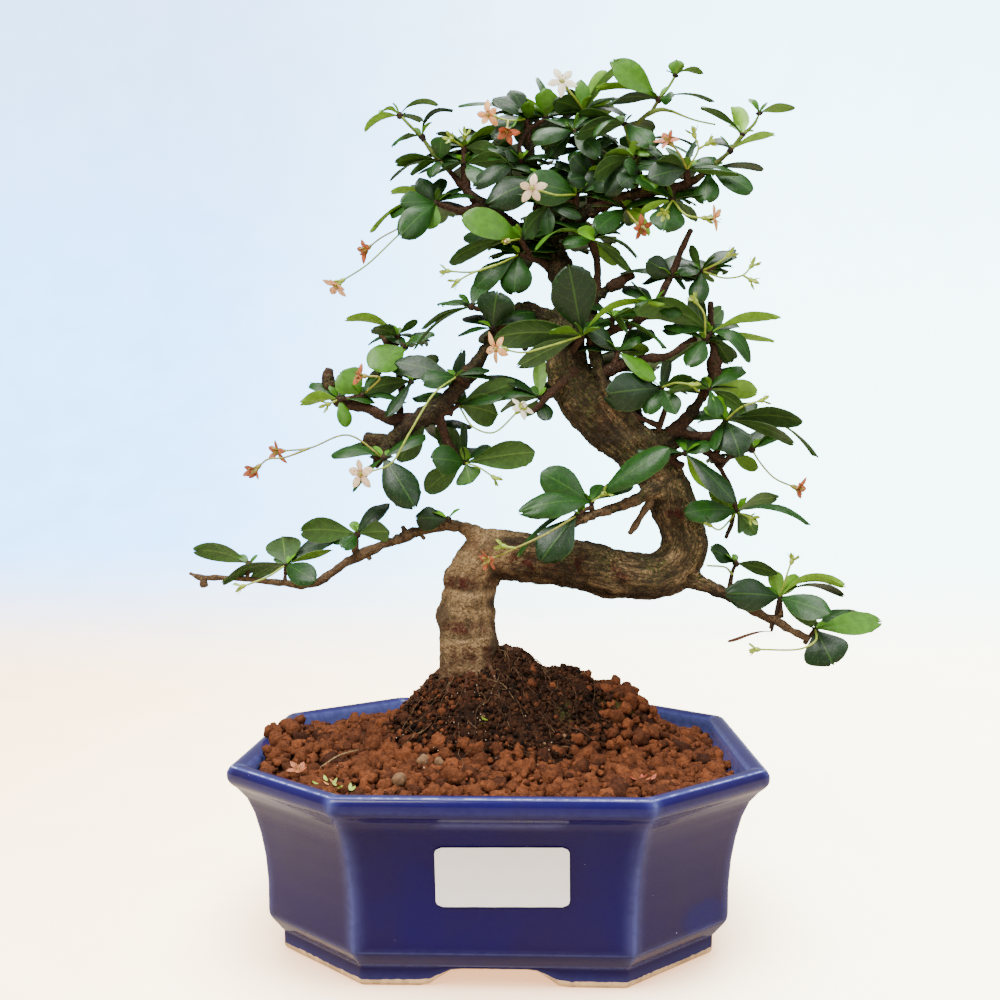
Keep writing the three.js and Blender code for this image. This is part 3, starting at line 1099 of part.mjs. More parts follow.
        [77.4, 225.4, -14, 10.5, 28, 0.05], [80, 254.8, -1, 9, 148, 0.05], [91.2, 249, 8, 8, 148, 0.08],
        [66, 226.4, -3, 8, 120, 0.08],
      ]],
    ],
    stalks: [[[86.6, 240.4, -11, 0.7], [84, 247, -17, 0.6], [80.6, 252, -18, 0.6]]],
  },
};

// Shoots at the back, out of the viewer's sight: stem, then hearts with the number of leaves in each
const BACK_SHOOTS = {
  back_crown_left: {
    stem: [[14, 296, 9, 2], [7, 300, 22, 1.7], [1, 305, 34, 1.4], [-4, 311, 44, 1.1]],
    hearts: [[[-4, 312, 45], 5], [[4, 303, 29], 4]],
  },
  back_crown_right: {
    stem: [[44, 292.6, -5, 2.2], [45, 297, 14, 1.7], [50, 302, 28, 1.4], [56, 308, 38, 1.1]],
    hearts: [[[56, 309, 39], 5], [[47, 300, 21], 4]],
  },
  back_crown_middle: {
    stem: [[24, 268, 8, 2], [25, 271, 22, 1.7], [22, 276, 36, 1.4], [24, 284, 46, 1.1]],
    hearts: [[[24, 285, 47], 5], [[24, 273, 29], 4]],
  },
  back_fork: {
    stem: [[56, 196, 11, 2], [58, 203, 24, 1.7], [54, 212, 36, 1.4], [56, 221, 44, 1.1]],
    hearts: [[[56, 222, 45], 5], [[57, 207, 30], 4]],
  },
  back_left: {
    stem: [[12, 248, 4, 1.8], [8, 243, 18, 1.6], [6, 238, 30, 1.4], [10, 234, 40, 1.1]],
    hearts: [[[10, 233.6, 41], 5], [[7, 240, 24], 4]],
  },
};
const BACK_LEAF_LENGTH = 22;
const BACK_LEAF_WIDTH = 11.5;
const BACK_LEAF_ARCH = 0.1;
const GOLDEN_ANGLE = 137.5;

// Open flowers: the shoot and the number of the stalk that carries it, and the direction in which it looks
const FLOWERS = {
  petals_crown_white: { on: ['crown_top', 0], looks: [0.05, -1, 0.1], radius: 5.2, colour: COLOURS.petalWhite },
  petals_crown_left: { on: ['crown_top_left', 0], looks: [-0.35, -1, -0.1], radius: 4.6, colour: COLOURS.petalPeach },
  petals_crown_middle: { on: ['crown_inner', 0], looks: [-0.1, -1, -0.25], radius: 5, colour: COLOURS.petalPeach },
  petals_centre: { on: ['front_leaf', 0], looks: [-0.9, -0.6, -0.1], radius: 4.4, colour: COLOURS.petalPeach },
  petals_left_low: { on: ['left_branch_front', 0], looks: [-0.6, -0.8, 0], radius: 5.4, colour: COLOURS.petalPeach },
  petals_left: { on: ['crown_left_group', 0], looks: [-0.4, -0.5, -0.8], radius: 4.8, colour: COLOURS.petalPeach },
  petals_right: { on: ['crown_right_under', 0], looks: [0.9, -0.5, -0.1], radius: 4.6, colour: COLOURS.petalPeach },
};
// Depth of the cup behind the petals as a share of their reach
const COROLLA_BACK = 0.25;
const TRUNK_SIDES = 10;
const THICK_LIMB = 3.3;
// Twigs that tie a heart to its stem, and flower stalks
const LINK_LEAST = 0.4;
const LINK_RADIUS = 1.1;
const STALK_REACH = 4.5;
const STALK_RADIUS = 0.7;
const CALYX_LENGTH = 5;
const CALYX_RADIUS = 1.4;
const FALLEN_FLOWER = { x: -72, y: -52, radius: 4, lift: 2.5 };

// Thin star of five petals around a shallow throat
function corolla(centre, direction, radius) {
  const axis = direction.clone().normalize();
  const normal = new THREE.Vector3(0, 0, 1).cross(axis);
  if (normal.lengthSq() < 0.01) normal.set(1, 0, 0);
  normal.normalize();
  const binormal = new THREE.Vector3().crossVectors(axis, normal);
  const ring = [];
  for (let point = 0; point < 10; point += 1) {
    const angle = (point / 10) * 2 * Math.PI;
    const reach = point % 2 === 0 ? radius : radius * 0.45;
    ring.push(centre.clone()
      .addScaledVector(normal, reach * Math.cos(angle))
      .addScaledVector(binormal, reach * Math.sin(angle))
      .addScaledVector(axis, point % 2 === 0 ? 0.25 * radius : 0.1 * radius));
  }
  const back = centre.clone().addScaledVector(axis, -COROLLA_BACK * radius);
  const throat = centre.clone().addScaledVector(axis, 0.05 * radius);
  return ringSolid([[back], ring, [throat]]);
}

function trunkSolid(grow) {
  const limbs = Object.values(BRANCHES).map((points) => taperedTube(points, points[0][3] > THICK_LIMB ? 6 : 4, grow));
  return joinAll([taperedTube(TRUNK, TRUNK_SIDES, grow), ...limbs]);
}

function distanceBetween(one, other) {
  return Math.hypot(one[0] - other[0], one[1] - other[1], one[2] - other[2]);
}

function nearest(point, others) {
  return others.reduce((best, other) => (distanceBetween(other, point) < distanceBetween(best, point) ? other : best));
}

// Heart of a rosette with the short twig that ties it to the nearest point of the stems
function heartParts(heart, stems) {
  const parts = [core(seen(...heart), CORE_RADIUS)];
  const foot = nearest(heart, stems.flat());
  if (distanceBetween(foot, heart) > LINK_LEAST) parts.push(taperedTube([foot, [...heart, LINK_RADIUS]], 4));
  return parts;
}

// Flower stalk that starts in the nearest heart when it begins beside one
function stalkParts(stalk, hearts) {
  const heart = hearts.length > 0 ? nearest(stalk[0], hearts) : stalk[0];
  const first = distanceBetween(heart, stalk[0]) < STALK_REACH ? [...heart.slice(0, 3), STALK_RADIUS] : stalk[0];
  const end = seen(...stalk[stalk.length - 1].slice(0, 3));
  const before = seen(...stalk[stalk.length - 2].slice(0, 3));
  const cup = calyx(end, end.clone().sub(before), CALYX_LENGTH, CALYX_RADIUS);
  return [taperedTube([first, ...stalk.slice(1)], 3), cup];
}

function frontShoot(shoot, trunkSpace) {
  const hearts = shoot.rosettes.map(([heart]) => heart);
  const parts = [
    ...shoot.stems.map((stem) => taperedTube(stem, 4)),
    ...hearts.flatMap((heart) => heartParts(heart, shoot.stems)),
    ...shoot.stalks.flatMap((stalk) => stalkParts(stalk, hearts)),
  ];
  return largestPiece(joinAll(parts).subtract(trunkSpace));
}

function backShoot(shoot, trunkSpace) {
  const hearts = shoot.hearts.flatMap(([heart]) => heartParts(heart, [shoot.stem]));
  return largestPiece(joinAll([taperedTube(shoot.stem, 4), ...hearts]).subtract(trunkSpace));
}

// Leaves of a back shoot stand around each heart in a spiral, tips up and outwards
function backLeaves(shoot, seed) {
  const leaves = [];
  for (const [heart, count] of shoot.hearts) {
    const base = seen(...heart);
    for (let leaf = 0; leaf < count; leaf += 1) {
      const turn = THREE.MathUtils.degToRad(seed * 31 + leaf * GOLDEN_ANGLE);
      const rise = 0.15 + 0.5 * (leaf / count);
      const length = BACK_LEAF_LENGTH * (1 - 0.25 * (leaf / count));
      const direction = new THREE.Vector3(Math.cos(turn), Math.sin(turn) + 0.35, rise).normalize();
      const tip = base.clone().addScaledVector(direction, length);
      const normal = new THREE.Vector3(0, 0, 1).addScaledVector(direction, -direction.z).normalize();
      leaves.push({ base, tip, normal, width: BACK_LEAF_WIDTH, arch: BACK_LEAF_ARCH });
    }
  }
  return leaves;
}

function frontLeaves(shoot) {
  const leaves = [];
  for (const [heart, rows] of shoot.rosettes) {
    const base = seen(...heart);
    for (const [x, z, depth, width, face, arch] of rows) {
      leaves.push({ base, at: [x, z, depth], face, width, arch });
    }
  }
  return leaves;
}

// Depths that a leaf may swing to until it clears its neighbours
const SWINGS = [0, -3, 3, -6, 6, -9, 9, -12, 12, -16, 16, -20, 20, 25, 30];

function swungLeaf(leaf, swing, grow) {
  if (leaf.at) {
    const [x, z, depth] = leaf.at;
    const tip = seen(x, z, depth + swing);
    return blade(leaf.base, tip, bladeNormal(leaf.base, tip, leaf.face), leaf.width, leaf.arch, grow);
  }
  const tip = leaf.tip.clone().add(new THREE.Vector3(0, 0, swing));
  const axis = tip.clone().sub(leaf.base).normalize();
  const normal = leaf.normal.clone().addScaledVector(axis, -leaf.normal.dot(axis)).normalize();
  return blade(leaf.base, tip, normal, leaf.width, leaf.arch, grow);
}

function withBox(solid) {
  const { vertProperties, numProp } = solid.getMesh();
  const bounds = new THREE.Box3();
  for (let start = 0; start < vertProperties.length; start += numProp) {
    bounds.expandByPoint(new THREE.Vector3().fromArray(vertProperties, start));
  }
  return { solid, bounds };
}

function isClear(space, others) {
  return others.every((other) => !space.bounds.intersectsBox(other.bounds)
    || space.solid.intersect(other.solid).getMesh().numTri === 0);
}

// A leaf takes the first depth at which its space is free and it meets its own rosette only in the heart
function placeLeaf(leaf, heart, siblings, rest) {
  let fallback = null;
  for (const swing of SWINGS) {
    const solid = swungLeaf(leaf, swing, 0);
    if (isClear(withBox(swungLeaf(leaf, swing, SEAT_GAP)), rest)) {
      if (isClear(withBox(solid.subtract(heart)), siblings)) return withBox(solid);
      fallback = fallback ?? withBox(solid);
    }
  }
  return fallback;
}

// Every shoot's stems come first; then leaf after leaf finds its depth
function growTree(trunk, trunkSpace, others) {
  const bodies = new Map();
  for (const [name, shoot] of Object.entries(SHOOTS)) bodies.set(name, withBox(frontShoot(shoot, trunkSpace)));
  for (const [name, shoot] of Object.entries(BACK_SHOOTS)) bodies.set(name, withBox(backShoot(shoot, trunkSpace)));
  const names = [...bodies.keys()];
  const placed = new Map(names.map((name) => [name, []]));
  for (const [order, name] of names.entries()) {
    const leaves = SHOOTS[name] ? frontLeaves(SHOOTS[name]) : backLeaves(BACK_SHOOTS[name], order);
    const rest = [withBox(trunk), ...others];
    for (const other of names) {
      if (other !== name) rest.push(bodies.get(other), ...placed.get(other));
    }
    for (const leaf of leaves) {
      const heart = core(leaf.base, CORE_RADIUS);
      const found = placeLeaf(leaf, heart, placed.get(name), rest);
      if (found) placed.get(name).push(found);
    }
  }
  return names.map((name) => [name, joinAll([bodies.get(name).solid, ...placed.get(name).map((leaf) => leaf.solid)])]);
}

// Assembly

function addPiece(group, name, solid, colour, roughness, metalness = 0) {
  const material = new THREE.MeshStandardMaterial({ color: colour, roughness, metalness });
  const mesh = new THREE.Mesh(toGeometry(solid), material);
  mesh.name = name;
  mesh.position.x = -PLANT_MIDDLE_X;
  group.add(mesh);
}

// End of the calyx that closes a stalk
function stalkEnd(stalk) {
  const end = seen(...stalk[stalk.length - 1].slice(0, 3));
  const before = seen(...stalk[stalk.length - 2].slice(0, 3));
  return end.clone().addScaledVector(end.clone().sub(before).normalize(), CALYX_LENGTH / 2);
}

function flowerSolids() {
  return Object.entries(FLOWERS).map(([name, flower]) => {
    const [shoot, number] = flower.on;
    const axis = new THREE.Vector3(...flower.looks).normalize();
    const centre = stalkEnd(SHOOTS[shoot].stalks[number])
      .addScaledVector(axis, COROLLA_BACK * flower.radius + SEAT_GAP);
    return [name, corolla(centre, axis, flower.radius), flower.colour];
  });
}

function buildTree() {
  const group = new THREE.Group();
  group.name = 'fukien_tea_bonsai';
  const trunk = trunkSolid(0);
  const trunkSpace = trunkSolid(SEAT_GAP);
  const plug = largestPiece(plugSolid(0).subtract(trunkSpace));
  const soil = soilSolid(plugSolid(SEAT_GAP), trunkSpace);
  const flowers = flowerSolids();
  const shoots = growTree(trunk, trunkSpace, flowers.map(([, solid]) => withBox(solid)));

  addPiece(group, 'pot', potSolid(), COLOURS.glaze, 0.18);
  addPiece(group, 'label', labelSolid(), COLOURS.paper, 0.6);
  addPiece(group, 'drain_screen', screenSolid(), COLOURS.mesh, 0.7);
  addPiece(group, 'soil_bed', soil, COLOURS.granule, 0.95);
  addPiece(group, 'root_plug', plug, COLOURS.humus, 0.95);
  addPiece(group, 'trunk', trunk, COLOURS.bark, 0.85);
  for (const [name, solid] of shoots) addPiece(group, name, solid, COLOURS.leaf, 0.45);
  for (const [name, solid, colour] of flowers) addPiece(group, name, solid, colour, 0.6);
  const fallen = FALLEN_FLOWER;
  const ground = groundHeight(fallen.x, fallen.y) + fallen.lift;
  const fallenFlower = corolla(new THREE.Vector3(fallen.x, fallen.y, ground), new THREE.Vector3(0.1, -0.2, 1), fallen.radius);
  addPiece(group, 'fallen_flower', fallenFlower, COLOURS.petalPeach, 0.6);
  return group;
}

export default buildTree();
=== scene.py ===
"""Looks of a small flowering bonsai in a glazed octagonal pot.

Lengths are millimetres in the shared frame until a mesh is made, where they become metres.
The tree is described as it is seen from in front: a place is its x and z on the plane y = 0
and the depth at which it really lies on the same line of sight.
"""

import sys
import logging
import math
from dataclasses import dataclass, field
from enum import Enum
from typing import ClassVar

import bmesh
import bpy
import numpy as np
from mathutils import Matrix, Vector
from mathutils.geometry import tessellate_polygon
from mathutils.kdtree import KDTree


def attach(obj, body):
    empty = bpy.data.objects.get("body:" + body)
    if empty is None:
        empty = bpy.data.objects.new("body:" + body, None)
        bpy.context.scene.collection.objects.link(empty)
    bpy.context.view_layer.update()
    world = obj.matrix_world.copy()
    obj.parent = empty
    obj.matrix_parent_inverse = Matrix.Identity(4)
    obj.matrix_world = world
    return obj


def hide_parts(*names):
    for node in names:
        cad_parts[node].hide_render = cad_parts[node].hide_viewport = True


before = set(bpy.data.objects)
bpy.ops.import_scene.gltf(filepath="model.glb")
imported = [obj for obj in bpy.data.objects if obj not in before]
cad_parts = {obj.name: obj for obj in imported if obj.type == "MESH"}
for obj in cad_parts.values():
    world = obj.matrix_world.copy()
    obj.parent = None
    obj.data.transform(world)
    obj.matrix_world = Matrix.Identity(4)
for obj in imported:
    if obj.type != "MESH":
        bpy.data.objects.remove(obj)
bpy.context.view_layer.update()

LOG = logging.getLogger("bonsai")

Point = tuple[float, float, float]
WoodPoint = tuple[float, float, float, float]
Path = tuple[WoodPoint, ...]
LeafRow = tuple[float, float, float, float, float, float]
Rosette = tuple[Point, str, tuple[LeafRow, ...]]
# What it carries, the radius at its foot, and its points
Stalk = tuple[str, float, tuple[Point, ...]]
Colour = tuple[float, float, float, float]
Socket = bpy.types.NodeSocket
# Colour, roughness and height of a surface, each a socket or a value
Dressing = tuple[object, object, object]


@dataclass(frozen=True)
class ShootRow:
    """One leaf shoot: its twigs, its rosettes with a tone for each leaf, and its flower stalks.

    A leaf row is x, z and depth of the tip, width, face in degrees and arch as a share of the length.
    """

    stems: tuple[Path, ...]
    rosettes: tuple[Rosette, ...]
    stalks: tuple[Stalk, ...] = ()


@dataclass(frozen=True)
class BackRow:
    """One shoot behind the trunk: its twig, and its hearts with their number of leaves."""

    stem: Path
    hearts: tuple[tuple[Point, int], ...]


TRUNK: Path = (
    (-12, 50, 2, 9), (-13, 74, 2, 15), (-13, 90, 2, 14), (-13.5, 102, 1, 12.4), (-13.8, 112, 0, 12.2),
    (-14, 122, 0, 11.6), (-13, 132, 0, 10.4), (-10.6, 141, 0, 10.6), (-4, 147, 0, 10.8), (6, 147, 0, 10.2),
    (20, 145, 0, 10), (35, 142.3, 0, 10), (50, 138.8, 0, 9.8), (63, 138.6, 0, 9.5), (72.5, 143, 1, 9.8),
    (75.8, 151, 2, 9.8), (73.5, 161, 3, 9.4), (70, 171, 3, 9.6), (65, 181, 3, 9.6), (56, 190, 2, 9.8),
    (46, 199, 1, 10.2), (37, 208, 0, 10.2), (30, 218, 0, 9.6), (27, 229, 0, 8), (28, 241, 1, 7),
    (28.5, 252, 2, 6.6), (25, 264, 3, 6.2), (21.5, 275, 4, 5.6), (18, 288, 5, 4.8), (14.5, 302, 6, 4.2),
    (12.5, 314, 6, 3.4), (11.4, 320, 6, 2.4),
)

BRANCHES: dict[str, Path] = {
    "root_left": ((-14, 92, 0, 9), (-24, 82, -10, 6), (-34, 70, -18, 3)),
    "root_right": ((-8, 96, 4, 8), (4, 92, 10, 7), (16, 80, 16, 5), (28, 68, 20, 3)),
    "root_front": ((-12, 92, -3, 9), (-6, 80, -14, 5), (2, 66, -24, 3)),
    "lower_left": (
        (-4, 150, -2, 5.4), (-11, 156, -4, 4.2), (-18, 159.2, -6, 3), (-24, 159.4, -7, 2.5),
        (-30, 157.8, -8, 2.1), (-37, 156.3, -9, 2.7), (-42, 153.6, -10, 2.2), (-49, 151.3, -11, 2.1),
        (-57, 147.5, -12, 2.3), (-64, 144, -13, 1.9), (-70, 140, -14, 1.8), (-76, 136, -15, 2),
        (-83, 134, -16, 1.6), (-90, 135, -16, 1.4), (-100, 136, -17, 1.3), (-110, 137, -17, 1.2),
        (-120, 137.4, -18, 1.3), (-126, 137.2, -18, 1.4), (-130.5, 139.2, -18, 0.9),
    ),
    "lower_left_spur": ((-60, 145.8, -12.5, 1.9), (-61, 150, -12, 1.6), (-60.2, 153.4, -12, 1.2)),
    "lower_left_nub_one": ((-39.5, 155, -9, 1.8), (-41, 158.9, -9, 1.1)),
    "lower_left_nub_two": ((-34.5, 156.5, -9, 1.6), (-31.8, 153.8, -9, 1.1)),
    "lower_left_nub_three": ((-56.5, 147.5, -12, 1.8), (-54.5, 145.2, -12, 1.1)),
    "lower_left_knob": ((-125, 137.2, -18, 1.4), (-124.3, 133.8, -18, 1.9)),
    "lower_left_spur_middle": ((-90.5, 135, -16, 1.2), (-90, 140.6, -16, 0.9)),
    "lower_left_spur_far": ((-106.5, 136.8, -17, 1.1), (-105.6, 141, -16.6, 0.9)),
    "centre": (
        (66, 175, -2, 5), (57, 170.5, -8, 2.9), (50, 167.6, -12, 2.4), (44, 165.6, -15, 2.5),
        (38, 163.8, -17, 2), (32, 161.5, -19, 2.1), (26.5, 159.2, -21, 2.3),
    ),
    "centre_cut": ((62, 170, -5, 2.2), (57, 161.5, -8, 1.6), (53.4, 156.2, -10, 1.4)),
    "lower_right": (
        (76, 139, -2, 5), (84, 135, -3, 3.2), (90, 132.6, -5, 2.6), (96, 129.8, -6, 2.4),
        (102, 125.8, -8, 2.3), (109, 122, -10, 2), (115, 119.4, -11, 1.9), (121, 115.6, -12, 1.8),
        (126.5, 112.6, -13, 1.7),
    ),
    "lower_right_spur": ((94, 131, -6, 1.8), (95.2, 136.8, -6, 1.2)),
    "lower_right_spur_middle": ((112, 120.6, -10, 1.6), (115.8, 123.4, -10, 1.2)),
    "lower_right_nub": ((112.5, 119.8, -11, 1.3), (111.3, 117, -11, 0.8)),
    "middle_left": (
        (27, 243, 1, 5.2), (19, 246.4, 1, 4.2), (10, 248.6, 1, 3.8), (3, 245.4, 0, 3.4),
        (-2.4, 238.4, -1, 3.2), (-7.5, 230.6, -3, 3.4), (-12.4, 223.6, -5, 3.7), (-17, 217.4, -7, 3.8),
        (-22.4, 211.6, -9, 4.2), (-29, 206.4, -11, 4.3), (-36, 202.6, -12, 4.4), (-42, 198.2, -13, 4.2),
        (-46.6, 193.4, -14, 3.9), (-50, 188.4, -15, 2.8), (-52.4, 184, -15, 1.9),
    ),
    "middle_left_fork": (
        (-37, 202.6, -12, 3.2), (-46, 204, -12, 2.5), (-53.4, 207.4, -12, 2.5), (-60, 209.2, -12, 2.3),
        (-66, 210.8, -12, 2.3), (-70.6, 215, -12, 2.9), (-72.4, 221, -12, 2.7), (-71.6, 224.6, -12, 1.5),
    ),
    "middle_left_stump": ((-46, 194, -13, 3.6), (-56.4, 194.8, -12, 3.3)),
    "middle_left_spur": ((-55, 207.6, -12, 1.8), (-57, 210.9, -11.5, 1.2)),
    "middle_left_knob": ((-25.5, 207, -10, 3), (-20.4, 206.4, -9, 1.9)),
    "middle_left_drop": (
        (-26.4, 206, -10, 2.4), (-24, 199, -8, 2), (-21.8, 193, -6, 1.9), (-17, 187.6, -4, 1.4),
    ),
    "middle_left_twig": (
        (-40, 201, -9, 2.2), (-42.4, 208, -3, 1.7), (-41.4, 216, 1, 1.6), (-43, 225, 3, 1.6),
        (-44, 233.4, 5, 2.2),
    ),
    "middle_left_cut": ((-44, 232.6, 5, 2.2), (-47, 235.6, 5, 1.8), (-50.4, 239.6, 5, 1.7)),
    "crown_left": (
        (22, 270, 4, 5), (12, 278, 6, 4.1), (4, 285, 8, 3.7), (-5, 291, 9, 3.7), (-12, 296.4, 10, 3.4),
        (-17, 302, 10, 2.6), (-21, 306.4, 10, 2),
    ),
    "crown_left_low": ((-8, 292.4, 9, 3), (-15, 290, 8, 2.8), (-21.6, 291.4, 7, 1.8)),
    "crown_right": (
        (21, 279, 4, 5), (30, 285.6, 0, 4.1), (40, 291.2, -4, 3.8), (50, 295, -8, 3.4),
        (61, 297.4, -12, 3.4), (70, 298.6, -15, 3.2), (79, 301.6, -17, 2.6), (83.6, 304.6, -18, 2),
    ),
    "side_stem": (
        (62, 190, -4, 6), (54, 202, -6, 4.6), (46.5, 212, -8, 3.8), (42, 221, -8, 3.7), (39, 231, -7, 3.4),
        (37.4, 243, -5, 3.4), (38.4, 252.4, -4, 3.4), (45, 257.6, -4, 3), (54.5, 263.4, -4, 2.4),
    ),
    "side_stem_twig": (
        (38.4, 252, -4, 2.8), (40, 261, -4, 2), (39.8, 270, -4, 1.9), (37.4, 276, -5, 1.9),
        (37.6, 284, -5, 1.5),
    ),
    "fork_knob": ((41, 221, -8, 3), (47, 224.6, -9, 2.7), (53, 226.8, -9, 2.2)),
    "fork_twig": (
        (51, 226.6, -9, 2.2), (61, 228.6, -9, 1.9), (70, 230, -9, 1.7), (76, 234, -8, 1.6),
        (80.4, 236.6, -7, 1.4),
    ),
    "cross_twig": ((52, 205.6, -6, 1.8), (59, 203.4, -9, 1.3), (66, 200.2, -6, 1.5)),
    "right_knob": (
        (62, 194, -2, 5), (70, 197.6, -4, 3.2), (76, 202.6, -5, 2.6), (80.6, 208, -5, 2.2),
        (84.2, 214.6, -5, 2.1), (88.4, 221.6, -5, 3), (88, 226.6, -5, 3.4), (88, 231, -5, 1.7),
        (87, 241, -5, 1.5), (86.6, 251.6, -5, 1.4),
    ),
    "right_spur": ((72, 198.4, -5, 2.4), (80, 196.4, -6, 2), (87.6, 196.8, -6, 1.8), (91, 199.8, -6, 1.4)),
    "right_low": (
        (66, 192, 0, 4), (76, 194.6, -2, 2.6), (83.6, 191.6, -3, 2), (88.4, 187.8, -4, 1.9),
        (93, 185.6, -4, 1.7),
    ),
    "right_low_stub": ((88.6, 187.8, -4, 1.7), (89.4, 190.9, -4, 1.4)),
    "right_short": ((69, 186.6, -3, 2.2), (75.4, 184.2, -5, 1.8)),
    "right_thin": ((67, 187, -4, 1.6), (73.6, 188.6, -6, 1)),
    "right_drop": ((86, 190, -3, 1.5), (92.6, 180, 1, 1.2), (96, 171.4, 0, 1.1), (97, 168, -1, 1)),
    "right_drop_cut": ((96.8, 168.6, -1, 1), (95.6, 161, -1, 1), (93, 154.2, -2, 0.9)),
    "front_twig": ((31, 224, -8, 2.2), (22, 215.4, -10, 1.6), (13.6, 207, -10, 1.3)),
}

